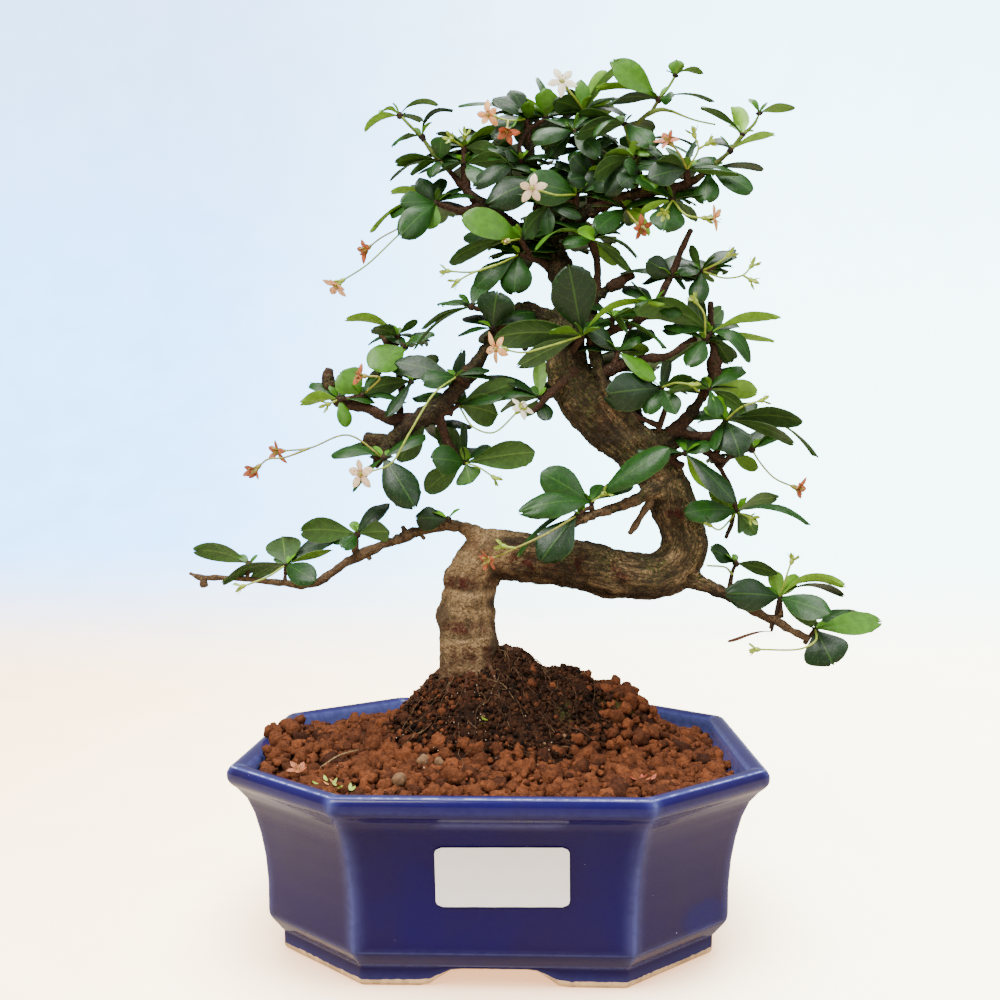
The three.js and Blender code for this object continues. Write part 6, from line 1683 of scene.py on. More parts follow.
@dataclass(frozen=True)
class Earth(Finish):
    """Soil: fired clay granules or dark humus, by its two colours."""

    light: Colour = rgb(106, 59, 33)
    dark: Colour = rgb(42, 22, 13)
    crumb: Colour = rgb(150, 96, 54)
    moss: Colour = rgb(70, 84, 32)
    size: float = 1.6

    def surface(self, sheet: NodeSheet) -> Dressing:
        """Mixes two earth colours by the grain's own tone, with pores and pale crumbs.

        Args:
            sheet: the nodes of the material.

        Returns:
            Colour, roughness and height.
        """
        pores = sheet.shared("grain", {"Size": self.size, "Fineness": 3.2}).outputs
        body = sheet.mix(sheet.attribute("tone"), self.dark, self.light)
        shaded = sheet.shared("shade", {"Colour": body, "Value": pores["Height"], "Strength": 0.38})
        pale = sheet.shared("flecks", {"Spacing": 1.9, "Spot": 0.16, "Amount": 0.25}).outputs["Mask"]
        colour = sheet.mix(sheet.times(pale, 0.4), shaded.outputs["Colour"], self.crumb)
        colour = sheet.mix(sheet.times(sheet.attribute("moss"), pores["Coarse"]), colour, self.moss)
        rough = sheet.span(pores["Fine"], 0.0, 1.0, self.roughness * 0.85, 1.0)
        return colour, rough, pores["Height"]


@dataclass(frozen=True)
class Bark(Finish):
    """Bark of the tree: tan with a green film on the trunk, dark brown on twigs, green when young."""

    old: tuple[Colour, Colour] = (rgb(54, 40, 24), rgb(142, 116, 80))
    twig: tuple[Colour, Colour] = (rgb(22, 12, 8), rgb(68, 42, 27))
    young: tuple[Colour, Colour] = (rgb(80, 106, 34), rgb(122, 148, 60))
    film: Colour = rgb(60, 62, 26)
    lichen: Colour = rgb(150, 142, 108)
    russet: Colour = rgb(64, 26, 14)
    pit: Colour = rgb(28, 17, 12)
    groove: Colour = rgb(34, 25, 14)

    def surface(self, sheet: NodeSheet) -> Dressing:
        """Layers bark, fissures, green film, russet bands, dark pits with painted shade, and young green.

        Args:
            sheet: the nodes of the material.

        Returns:
            Colour, roughness and height.
        """
        plates = sheet.shared("grain", {"Size": 3.4, "Fineness": 3.6}).outputs
        fibres = sheet.shared("grain", {"Size": 1.2, "Fineness": 2.6}).outputs
        own_layer = sheet.times(sheet.attribute("layer"), 0.78)
        layer = sheet.maths("ADD", sheet.times(plates["Height"], 0.22), own_layer)
        colour = sheet.mix(sheet.attribute("twig"), sheet.mix(layer, *self.old), sheet.mix(layer, *self.twig))
        film = sheet.times(sheet.attribute("film"), sheet.span(plates["Fine"], 0.2, 0.7))
        colour = sheet.mix(film, colour, self.film)
        shaded = sheet.shared("shade", {"Colour": colour, "Value": fibres["Height"], "Strength": 0.5})
        lichen = sheet.shared("flecks", {"Spacing": 2.7, "Spot": 0.3, "Amount": 0.3}).outputs["Mask"]
        lichen = sheet.times(lichen, sheet.span(plates["Fine"], 0.3, 0.8, 0.0, 0.4))
        colour = sheet.mix(lichen, shaded.outputs["Colour"], self.lichen)
        russet = sheet.times(sheet.attribute("russet"), sheet.span(plates["Height"], 0.2, 0.65))
        colour = sheet.mix(russet, colour, self.russet)
        # Dark pits, and painted shade under the wood and in the hollows of its relief
        pit = sheet.times(sheet.attribute("pit"), sheet.span(fibres["Coarse"], 0.0, 0.8, 0.5, 0.9))
        colour = sheet.mix(pit, colour, self.pit)
        colour = sheet.mix(sheet.attribute("young"), colour, sheet.mix(plates["Coarse"], *self.young))
        groove = self.grooves(sheet)
        colour = sheet.mix(sheet.times(groove, 0.75), colour, self.groove)
        rough = sheet.span(fibres["Fine"], 0.0, 1.0, self.roughness, 1.0)
        height = sheet.maths("ADD", fibres["Height"], plates["Fine"])
        return colour, rough, sheet.maths("SUBTRACT", height, sheet.times(groove, 1.4))

    @staticmethod
    def grooves(sheet: NodeSheet) -> Socket:
        """Draws the grooves that run along the wood, by the place along and across it.

        Args:
            sheet: the nodes of the material.

        Returns:
            A mask that is 1 in the middle of a groove.
        """
        along = sheet.times(sheet.attribute("along"), 0.16)
        parts = {0: along, 1: sheet.attribute("side"), 2: sheet.attribute("depth")}
        flow = sheet.node("ShaderNodeCombineXYZ", parts).outputs[0]
        looks = {"Vector": flow, "Scale": 0.62, "Detail": 3.0, "Roughness": 0.6, "Distortion": 0.5}
        noise = sheet.node("ShaderNodeTexNoise", looks).outputs[0]
        from_middle = sheet.maths("ABSOLUTE", sheet.maths("SUBTRACT", noise, 0.5))
        return sheet.times(sheet.span(from_middle, 0.0, 0.06, 1.0, 0.0), sheet.attribute("split"))


@dataclass(frozen=True)
class LeafFace(Finish):
    """One face of the leaves; tone runs from dark, for old leaves and as painted shade on leaves in shadow,
    to young and yellow-green.
    """

    old: Colour = rgb(9, 36, 7)
    grown: Colour = rgb(22, 62, 9)
    fresh: Colour = rgb(88, 148, 14)
    vein: Colour = rgb(84, 134, 36)
    margin: Colour = rgb(98, 136, 52)
    dot: Colour = rgb(212, 222, 204)
    dead: Colour = rgb(96, 54, 34)
    dots: float = 0.4
    vein_strength: float = 0.26

    def surface(self, sheet: NodeSheet) -> Dressing:
        """Blends age, veins, margin and tiny white dots over the blade.

        Args:
            sheet: the nodes of the material.

        Returns:
            Colour, roughness and height.
        """
        tone = sheet.attribute("tone")
        along, across = sheet.flat_place().outputs[:2]
        body = sheet.mix(sheet.span(tone, 0.0, 0.42), self.old, self.grown)
        body = sheet.mix(sheet.span(tone, 0.36, 1.0), body, self.fresh)
        cells = sheet.shared("grain", {"Size": 2.4, "Fineness": 5.0}).outputs
        shaded = sheet.shared("shade", {"Colour": body, "Value": cells["Height"], "Strength": 0.22})
        off = sheet.maths("ABSOLUTE", sheet.maths("SUBTRACT", across, 0.5))
        midrib = sheet.span(off, 0.0, 0.035, 1.0, 0.0)
        slant = sheet.maths("SUBTRACT", along, sheet.times(off, 0.55))
        bent = sheet.maths("ADD", slant, sheet.times(cells["Coarse"], 0.03))
        wave = sheet.maths("ABSOLUTE", sheet.maths("SINE", sheet.times(bent, 19.0)))
        side_vein = sheet.times(sheet.span(wave, 0.0, 0.2, 1.0, 0.0), 0.4)
        veins = sheet.times(sheet.maths("MAXIMUM", midrib, side_vein), self.vein_strength)
        colour = sheet.mix(veins, shaded.outputs["Colour"], self.vein)
        colour = sheet.mix(sheet.times(sheet.span(off, 0.48, 0.5), 0.35), colour, self.margin)
        dots = sheet.shared("flecks", {"Spacing": 0.62, "Spot": 0.13, "Amount": 0.42}).outputs["Mask"]
        colour = sheet.mix(sheet.times(dots, self.dots), colour, self.dot)
        colour = sheet.mix(sheet.attribute("withered"), colour, self.dead)
        rough = sheet.span(cells["Fine"], 0.0, 1.0, self.roughness * 0.85, self.roughness * 1.2)
        return colour, rough, sheet.maths("SUBTRACT", cells["Height"], sheet.times(veins, 1.6))


@dataclass(frozen=True)
class Stem(Finish):
    """Soft green parts: flower stalks, calyxes and buds; age turns them brown."""

    fresh: tuple[Colour, Colour] = (rgb(122, 152, 36), rgb(156, 178, 60))
    aged: tuple[Colour, Colour] = (rgb(104, 66, 40), rgb(148, 86, 52))

    def surface(self, sheet: NodeSheet) -> Dressing:
        """Blends fresh green to reddish brown by age.

        Args:
            sheet: the nodes of the material.

        Returns:
            Colour, roughness and height.
        """
        grain = sheet.shared("grain", {"Size": 1.4, "Fineness": 4.0}).outputs
        fresh, aged = (sheet.mix(grain["Coarse"], *pair) for pair in (self.fresh, self.aged))
        rough = sheet.span(grain["Fine"], 0.0, 1.0, self.roughness * 0.9, self.roughness * 1.1)
        return sheet.mix(sheet.attribute("tone"), fresh, aged), rough, grain["Height"]


@dataclass(frozen=True)
class Petal(Finish):
    """Thin petals from fresh white over peach to withered red-brown, by age."""

    fresh: tuple[Colour, Colour] = (rgb(244, 236, 214), rgb(226, 210, 182))
    peach: tuple[Colour, Colour] = (rgb(234, 176, 112), rgb(206, 134, 72))
    dried: tuple[Colour, Colour] = (rgb(164, 60, 36), rgb(110, 46, 30))
    throat: Colour = rgb(134, 74, 40)

    def surface(self, sheet: NodeSheet) -> Dressing:
        """Blends three ages with veins along the petal.

        Args:
            sheet: the nodes of the material.

        Returns:
            Colour, roughness and height.
        """
        grain = sheet.shared("grain", {"Size": 1.2, "Fineness": 4.0}).outputs
        age = sheet.attribute("tone")
        along, across = sheet.flat_place().outputs[:2]
        lines = sheet.maths("SINE", sheet.times(across, 44.0))
        ages = (self.fresh, self.peach, self.dried)
        fresh, peach, dried = (sheet.mix(grain["Coarse"], *pair) for pair in ages)
        colour = sheet.mix(sheet.span(age, 0.0, 0.5), fresh, peach)
        colour = sheet.mix(sheet.span(age, 0.5, 1.0), colour, dried)
        throat = sheet.times(sheet.span(along, 0.0, 0.34, 0.8, 0.0), sheet.span(age, 0.0, 0.3, 0.25, 1.0))
        colour = sheet.mix(throat, colour, self.throat)
        veins = {"Colour": colour, "Value": sheet.span(lines, -1.0, 1.0), "Strength": 0.08}
        rough = sheet.span(grain["Fine"], 0.0, 1.0, self.roughness * 0.9, 0.9)
        return sheet.shared("shade", veins).outputs["Colour"], rough, grain["Height"]


@dataclass(frozen=True)
class Moulded(Finish):
    """Black moulded plastic of the drainage mesh."""

    black: tuple[Colour, Colour] = (rgb(30, 32, 34), rgb(42, 44, 46))
    dust: Colour = rgb(110, 78, 58)

    def surface(self, sheet: NodeSheet) -> Dressing:
        """Near black with a fine matt grain and soil dust.

        Args:
            sheet: the nodes of the material.

        Returns:
            Colour, roughness and height.
        """
        grain = sheet.shared("grain", {"Size": 1.0, "Fineness": 5.0}).outputs
        dust = sheet.shared("settled", {"Amount": 0.4, "Size": 4.0}).outputs["Mask"]
        colour = sheet.mix(dust, sheet.mix(grain["Coarse"], *self.black), self.dust)
        return colour, sheet.span(grain["Fine"], 0.0, 1.0, 0.55, 0.75), grain["Height"]


@dataclass(frozen=True)
class Backdrop(Finish):
    """Seamless pale paper under and behind the tree."""

    ground: Colour = rgb(176, 158, 138)
    wall: Colour = rgb(96, 106, 116)
    mottle: Colour = rgb(238, 236, 234)
    # What the eye sees, as linear light: low and high, then left and right
    sky: tuple[tuple[Colour, Colour], ...] = (
        ((0.13, 0.42, 0.9, 1.0), (0.62, 1.0, 1.0, 1.0)), ((0.19, 0.35, 0.62, 1.0), (0.46, 0.78, 1.0, 1.0)),
    )
    floor: tuple[Colour, Colour] = ((0.74, 0.46, 0.17, 1.0), (0.95, 0.86, 0.62, 1.0))
    # Colour of the painted contact shadow on the glowing ground
    painted_contact_shadow: Colour = (0.2, 0.1, 0.05, 1.0)
    # What lights the tree
    dim: Colour = rgb(72, 63, 52)
    # Millimetres from left to right, up the sky, and from floor to sky
    sides: tuple[float, float] = (-560.0, 420.0)
    heights: tuple[float, float] = (330.0, 900.0)
    horizon: tuple[float, float] = (-30.0, 120.0)
    # Metres within which ambient occlusion darkens the glow as painted contact shadow
    contact_shadow_reach: float = 0.05

    def surface(self, sheet: NodeSheet) -> Dressing:
        """Warm white on the ground, faintly blue high up, with the faintest mottling.

        Args:
            sheet: the nodes of the material.

        Returns:
            Colour, roughness and height.
        """
        grain = sheet.shared("grain", {"Size": 60.0, "Fineness": 20.0}).outputs
        height = sheet.across(place_in_mm(sheet)).outputs[2]
        paper = sheet.mix(sheet.span(height, 0.0, 60.0), self.ground, self.wall)
        return sheet.mix(sheet.times(grain["Coarse"], 0.15), paper, self.mottle), 0.9, grain["Fine"]

    def lit(self, sheet: NodeSheet, colour: object) -> object:
        """Glows for the eye, blue to the upper left and warm on the ground, darkened as painted contact
        shadow where the pot is near, and dimly for the tree.

        Args:
            sheet: the nodes of the material.
            colour: its colour where it doesn't glow.

        Returns:
            The colour of its glow.
        """
        place = sheet.across(place_in_mm(sheet)).outputs
        across, height = sheet.span(place[0], *self.sides), sheet.span(place[2], *self.heights)
        left, right = (sheet.mix(height, low, high) for low, high in zip(*self.sky))
        floor, sky = sheet.mix(across, *self.floor), sheet.mix(across, left, right)
        seen = sheet.mix(sheet.span(place[2], *self.horizon), floor, sky)
        # Painted contact shadow: the glow darkens where ambient occlusion finds something close
        reach = {"Distance": self.contact_shadow_reach}
        closed = sheet.node("ShaderNodeAmbientOcclusion", reach, samples=4).outputs["AO"]
        seen = sheet.mix(sheet.span(closed, 0.35, 1.0), self.painted_contact_shadow, seen)
        eye = sheet.node("ShaderNodeLightPath").outputs["Is Camera Ray"]
        return sheet.mix(eye, self.dim, seen)


GLAZE = Glaze("cobalt_glaze", roughness=0.11, specular=0.15, bump=0.1, bump_depth=0.25)
PAPER = Paper("label_paper", roughness=0.5, bump=0.15, bump_depth=0.05)
GRANULE = Earth("clay_granule", roughness=0.95, specular=0.12, bump=0.7, bump_depth=0.5)
HUMUS = Earth(
    "dark_humus", roughness=0.95, specular=0.1, bump=0.8, bump_depth=0.6, light=rgb(66, 40, 24),
    dark=rgb(18, 10, 6), size=1.1,
)
STONE = Earth(
    "pale_grain", roughness=0.85, bump=0.5, bump_depth=0.3, light=rgb(190, 172, 146), dark=rgb(100, 66, 32),
)
BARK = Bark("weathered_bark", roughness=0.7, specular=0.25, bump=0.8, bump_depth=0.5)
LEAF_TOP = LeafFace("leaf_upper_face", roughness=0.42, specular=0.28, bump=0.35, bump_depth=0.16)
LEAF_UNDER = LeafFace(
    "leaf_under_face", roughness=0.58, bump=0.3, bump_depth=0.15, old=rgb(26, 50, 16),
    grown=rgb(48, 88, 20), fresh=rgb(108, 160, 28), vein=rgb(116, 156, 62), margin=rgb(120, 148, 66),
    dots=0.08, vein_strength=0.45,
)
STEM = Stem("green_stalk", roughness=0.5, bump=0.2, bump_depth=0.1)
PETAL = Petal("petal", roughness=0.6, bump=0.25, bump_depth=0.1, subsurface=0.15)
MOULDED = Moulded("screen_plastic", bump=0.3, bump_depth=0.1)
BACKDROP = Backdrop("pale_backdrop", bump=0.02, bump_depth=0.2, glow=9.0)


# Pot


# Millimetres from a corner at which its edge stops telling in the glaze
CORNER_REACH = 4.5


def rounded_octagon(half_x: float, half_y: float, edge_x: float, edge_y: float, inset: float, soften: float,
                    side_points: int, arc_points: int) -> tuple[np.ndarray, np.ndarray]:
    """Draws an octagon with softened corners.

    Args:
        half_x: half of the width between the sides.
        half_y: half of the depth between front and back.
        edge_x: half of the front edge.
        edge_y: half of the side edge.
        inset: distance by which every edge moves inwards.
        soften: radius of the corners.
        side_points: points on each edge.
        arc_points: points on each corner.

    Returns:
        The points, and for each how near it is to a corner, from 0 to 1.
    """
    slope = unit(np.array((half_y - edge_y, half_x - edge_x)))
    reach = slope[0] * edge_x + slope[1] * half_y - inset
    far_x, far_y = half_x - inset, half_y - inset
    near_x = (reach - slope[1] * far_y) / slope[0]
    near_y = (reach - slope[0] * far_x) / slope[1]
    corners = np.array([
        (far_x, -near_y), (far_x, near_y), (near_x, far_y), (-near_x, far_y),
        (-far_x, near_y), (-far_x, -near_y), (-near_x, -far_y), (near_x, -far_y),
    ])
    points, nearness = [], []
    reach_back = soften * math.tan(math.pi / 8)
    for index in range(8):
        before, corner, after = corners[index - 1], corners[index], corners[(index + 1) % 8]
        start = corner + unit(before - corner) * reach_back
        end = corner + unit(after - corner) * reach_back
        for share in np.linspace(0, 1, arc_points):
            rest = 1 - share
            points.append(rest**2 * start + 2 * share * rest * corner + share**2 * end)
            nearness.append(1.0 - 0.5 * abs(2 * share - 1) ** 1.3)
        next_start = after + unit(corner - after) * reach_back
        length = np.linalg.norm(next_start - end)
        for share in 0.5 - 0.5 * np.cos(np.linspace(0, math.pi, side_points + 2)[1:-1]):
            points.append(end + (next_start - end) * share)
            gap = min(share, 1 - share) * length
            nearness.append(0.5 * max(0.0, 1 - gap / CORNER_REACH) ** 1.8)
    return np.array(points), np.array(nearness)


@dataclass
class GlazedPot:
    """Octagonal pot with a rolled rim, a flared wall, a bevel and a notched foot."""

    half_x: float = 101.0
    half_y: float = 97.5
    edge_x: float = 54.6
    edge_y: float = 52.8
    foot_inset: float = 20.3
    foot_width: float = 9.0
    foot_height: float = 6.5
    floor_top: float = 12.5
    notch_inner: float = 13.0
    notch_outer: float = 25.0
    drain_x: float = 34.0
    drain_radius: float = 8.0
    drain_points: int = 32
    side_points: int = 32
    arc_points: int = 6
    # Inset, height, glaze break, unglazed, corner radius; from the foot up and over the rim
    profile: tuple[tuple[float, ...], ...] = (
        (29.3, 0.3, 0, 1, 2), (28.7, 0, 0, 1, 2), (21.1, 0, 0, 1, 2), (20.3, 0.9, 0.1, 1, 2),
        (20.2, 1.9, 0.3, 0.9, 2), (20.2, 2.7, 0.2, 0, 2), (20.1, 6, 0, 0, 2), (20, 6.8, 0.1, 0, 2),
        (19.3, 7.5, 0.5, 0, 2), (18.6, 8.4, 0.1, 0, 2), (16.2, 11.4, 0, 0, 2.4), (15.2, 12.8, 0.05, 0, 2.8),
        (14.9, 13.5, 0.4, 0, 2.9), (14.75, 14, 0.1, 0, 3), (14.5, 15.6, 0, 0, 3.4), (14.3, 26, 0, 0, 3.6),
        (13.3, 36, 0, 0, 3.8), (11.7, 44.5, 0, 0, 4), (9.5, 52.5, 0, 0, 4), (6.9, 58.3, 0, 0, 4),
        (3.6, 62.2, 0.05, 0, 4), (1.7, 63.8, 0, 0, 4), (0.8, 64.8, 0.1, 0, 4), (0.25, 65.8, 0.2, 0, 4),
        (0.05, 67.2, 0.1, 0, 4), (0.1, 68.6, 0.05, 0, 4), (1, 70.2, 0.08, 0, 4), (2.6, 70.9, 0.2, 0, 4),
        # The break on the inner rim rows stands for thin glaze and for painted reflection
        (4.2, 71, 0.12, 0, 4), (6, 70.6, 0.15, 0, 3.6), (7.4, 69.6, 0.6, 0, 3.5), (8.1, 68, 0.7, 0, 3),
        (8.8, 65, 0.6, 0, 3), (10.4, 62, 0.3, 0, 3), (13.8, 55, 0, 0, 3), (17.6, 46, 0, 0, 3),
        (19.8, 37, 0, 0, 3), (21, 26, 0, 0, 3), (21.4, 12.5, 0, 0, 3),
    )
    # Rows of the profile: where the outer wall starts and ends, and the last one that is seen outside
    wall_rows: tuple[int, int] = (10, 24)
    last_outer_row: int = 32
    # Neighbouring rows of the profile further apart than this get one ring more between them
    long_row: float = 5.0
    # Height above which the notch in the foot has no more effect
    notch_fade: float = 7.2
    # The pooled patch on the front right facet: its x and height, and its reach in both
    pooled_at: tuple[float, float] = (76.0, 18.0)
    pooled_reach: tuple[float, float] = (10.0, 7.0)
    # The pale streak under the rim in front: its middle, half length and height
    streak_x: float = 3.0
    streak_half: float = 24.0
    streak_height: float = 60.4
    # The painted highlight on the inner shoulder of the rim: its inset, and the height that it starts above
    highlight_inset: float = 2.0
    highlight_from: float = 69.0
    # Heights and, at them, how pale the corners are, from thin glaze and partly painted sheen, and how much
    # painted sheen the side facets carry
    corner_heights: tuple[float, ...] = (8, 14, 40, 60, 68)
    corner_breaks: tuple[float, ...] = (0.25, 0.6, 0.5, 0.35, 0.6)
    sheen_heights: tuple[float, ...] = (8, 14, 58, 63)
    sheen_levels: tuple[float, ...] = (0.3, 0.8, 0.8, 0.2)

    def inset_at(self, height: float) -> float:
        """Returns how far the outer wall stands in from the rim at a height."""
        insets, heights = zip(*(row[:2] for row in self.profile[slice(*self.wall_rows)]))
        return float(np.interp(height, heights, insets))

    def outline(self, inset: float, soften: float) -> tuple[np.ndarray, np.ndarray]:
        """Returns the octagon at an inset, and how near its points are to a corner."""
        sizes = (self.half_x, self.half_y, self.edge_x, self.edge_y)
        return rounded_octagon(*sizes, inset, soften, self.side_points, self.arc_points)

    def notch_lift(self, outline: np.ndarray) -> np.ndarray:
        """Returns how high the notch in the middle of each side lifts the foot's lower edge.

        Args:
            outline: points round the foot.

        Returns:
            A height for each point.
        """
        on_front = np.abs(outline[:, 1]) > np.abs(outline[:, 0]) * self.half_y / self.half_x
        along = np.where(on_front, np.abs(outline[:, 0]), np.abs(outline[:, 1]))
        opening = 1 - smooth_step((along - self.notch_inner) / (self.notch_outer - self.notch_inner))
        return opening * (self.foot_height - 0.4)

    def pooling(self, outline: np.ndarray, height: float) -> np.ndarray:
        """Returns how thickly the glaze has pooled: low on the front right facet, and under the rim.

        Args:
            outline: points round the pot.
            height: their height.

        Returns:
            A value from 0 to 1 for each point.
        """
        (x, z), (reach_x, reach_z) = self.pooled_at, self.pooled_reach
        away = np.hypot((outline[:, 0] - x) / reach_x, (height - z) / reach_z)
        patch = smooth_step(1.5 - away) * (outline[:, 1] < 0) * (outline[:, 0] > 52)
        return np.maximum(patch, smooth_step(1 - abs(height - 62.5) / 2.5) * 0.5)

    def thin_streak(self, outline: np.ndarray, height: float) -> np.ndarray:
        """Returns where a pale streak runs under the rim in front, from 0 to 1.

        Args:
            outline: points round the pot.
            height: their height.

        Returns:
            A value for each point.
        """
        along = smooth_step((self.streak_half - np.abs(outline[:, 0] - self.streak_x)) / 5)
        level = smooth_step(1.3 - abs(height - self.streak_height) / 0.8)
        return 0.5 * along * (outline[:, 1] < -80) * level

    def stations(self, seams: np.ndarray) -> np.ndarray:
        """Places the rings of the shell.

        Args:
            seams: distance along the profile of each of its rows.

        Returns:
            The distances at which a ring is made: one or two more between neighbouring rows.
        """
        steps = [np.linspace(low, high, 4 if high - low > self.long_row else 3)[:-1]
                 for low, high in zip(seams, seams[1:])]
        return np.concatenate(steps + [seams[-1:]])

    def ring(self, inset: float, height: float, soften: float) -> tuple[np.ndarray, np.ndarray, np.ndarray]:
        """Draws one ring of the shell, slightly uneven.

        Args:
            inset: how far it stands in from the rim.
            height: its height.
            soften: radius of its corners.

        Returns:
            Its points, its even outline, and how near its points are to a corner.
        """
        outline, nearness = self.outline(inset, soften)
        on_foot = height < self.notch_fade and inset > self.foot_inset - 0.7
        lift = self.notch_lift(outline) if on_foot else np.zeros(len(outline))
        level = height + lift * (1 - height / self.notch_fade)
        uneven = 0.16 * Grain(5).value(np.column_stack((outline / 26, np.full(len(outline), height / 30))))
        radial = outline / np.linalg.norm(outline, axis=1, keepdims=True)
        return np.column_stack((outline + radial * uneven[:, None], level)), outline, nearness

    def shell(self) -> Patch:
        """Lofts the outline along the profile and marks where the glaze differs and where sheen and a
        highlight are painted.

        Returns:
            The shell.
        """
        table = np.array(self.profile)
        seams = np.concatenate(((0.0,), np.cumsum(np.linalg.norm(np.diff(table[:, :2], axis=0), axis=1))))
        rows = []
        values: dict[str, list[np.ndarray]] = {"break": [], "bare": [], "stain": [], "pool": [], "haze": []}
        for station in self.stations(seams):
            inset, height, thin, bare, soften = (np.interp(station, seams, column) for column in table.T)
            points, outline, nearness = self.ring(inset, height, soften)
            rows.append(points)
            everywhere = np.ones(len(outline))
            inside = station > seams[self.last_outer_row]
            # Pale corners: thin glaze, and painted sheen near the top of the rim
            strength = float(np.interp(height, self.corner_heights, self.corner_breaks))
            corner = nearness * (0.15 if inside else strength) * (height > 9)
            streak = everywhere * (0 if inside else self.thin_streak(outline, height))
            # Painted highlight along the crest of the rim, carried in the break mark together with the thin
            # glaze
            rim_highlight = float(smooth_step(1.4 - abs(inset - self.highlight_inset) / 0.6)) * (height > self.highlight_from)
            marks = np.maximum.reduce([corner, streak, everywhere * max(thin, rim_highlight)])
            pool = self.pooling(outline, height)
            # Painted sheen on the side facets over most of the outer wall
            sideways = smooth_step((np.abs(outline[:, 0]) - 0.47 * np.abs(outline[:, 1]) - 6) / 4)
            haze = float(np.interp(height, self.sheen_heights, self.sheen_levels))
            values["break"].append(np.clip(marks, 0, 1))
            values["bare"].append(everywhere * bare * (inset > 19))
            values["stain"].append(everywhere * np.interp(height, (60, 67), (0.55, 0.0)) * inside)
            values["pool"].append(pool * (not inside))
            values["haze"].append(sideways * (1 - pool) * haze * (not inside))
        joined = {name: np.concatenate(parts) for name, parts in values.items()}
        faces = grid_faces(len(rows), len(rows[0]), closed=True)
        return Patch(np.concatenate(rows), faces, 0, joined)

    def drain_ring(self, centre: float, height: float) -> np.ndarray:
        """Returns the points round one drain hole at a height.

        Args:
            centre: x of the hole.
            height: height of the ring.

        Returns:
            The points.
        """
        angles = np.linspace(0, 2 * math.pi, self.drain_points, endpoint=False)
        ring = np.column_stack((np.cos(angles), np.sin(angles))) * self.drain_radius
        return np.column_stack((ring[:, 0] + centre, ring[:, 1], np.full(self.drain_points, height)))

    def floor(self, inset: float, height: float, facing_up: bool, bare: float) -> Patch:
        """Fills the octagon at a height round the two drain holes.

        Args:
            inset: how far its edge stands in from the rim.
            height: its height.
            facing_up: whether it is seen from above.
            bare: how free of glaze it is.

        Returns:
            The floor.
        """
        outline, _ = self.outline(inset, 2.0)
        outer = np.column_stack((outline, np.full(len(outline), height)))
        holes = [self.drain_ring(centre, height)[::-1] for centre in (-self.drain_x, self.drain_x)]
        loops = [outer, *holes]
        triangles = np.array(tessellate_polygon([loop.tolist() for loop in loops]))
        points = np.concatenate(loops)
        first = points[triangles[0]]
        rising = np.cross(first[1] - first[0], first[2] - first[0])[2] > 0
        if rising != facing_up:
            triangles = triangles[:, ::-1]
        return Patch(points, triangles, 0, {"bare": bare, "stain": 0.3})

    def underside(self) -> list[Patch]:
        """Closes the pot below: inner face of the foot, recess, drain holes and inner floor.

        Returns:
            The patches.
        """
        inner_foot = self.foot_inset + self.foot_width
        outline, _ = self.outline(inner_foot, 2.0)
        rings = []
        for height in (self.foot_height, 3.0, 0.3):
            lift = self.notch_lift(outline) * (1 - height / (self.foot_height + 0.01))
            rings.append(np.column_stack((outline, height + lift)))
        faces = grid_faces(len(rings), len(outline), closed=True)
        patches = [
            Patch(np.concatenate(rings), faces, 0, {"bare": 1.0}),
            self.floor(inner_foot, self.foot_height, False, 1.0),
            self.floor(self.profile[-1][0], self.floor_top, True, 0.2),
        ]
        bore = grid_faces(2, self.drain_points, closed=True)
        for centre in (-self.drain_x, self.drain_x):
            ends = [self.drain_ring(centre, height) for height in (self.floor_top, self.foot_height)]
            patches.append(Patch(np.concatenate(ends), bore, 0, {"bare": 0.6}))
        return patches

    def build(self) -> bpy.types.Object:
        """Builds and dresses the pot.

        Returns:
            The finished piece.
        """
        maker = MeshMaker("pot_glazed")
        maker.add(self.shell(), *self.underside())
        return hand_over(maker.build([GLAZE.material()]), "glaze", "pot")


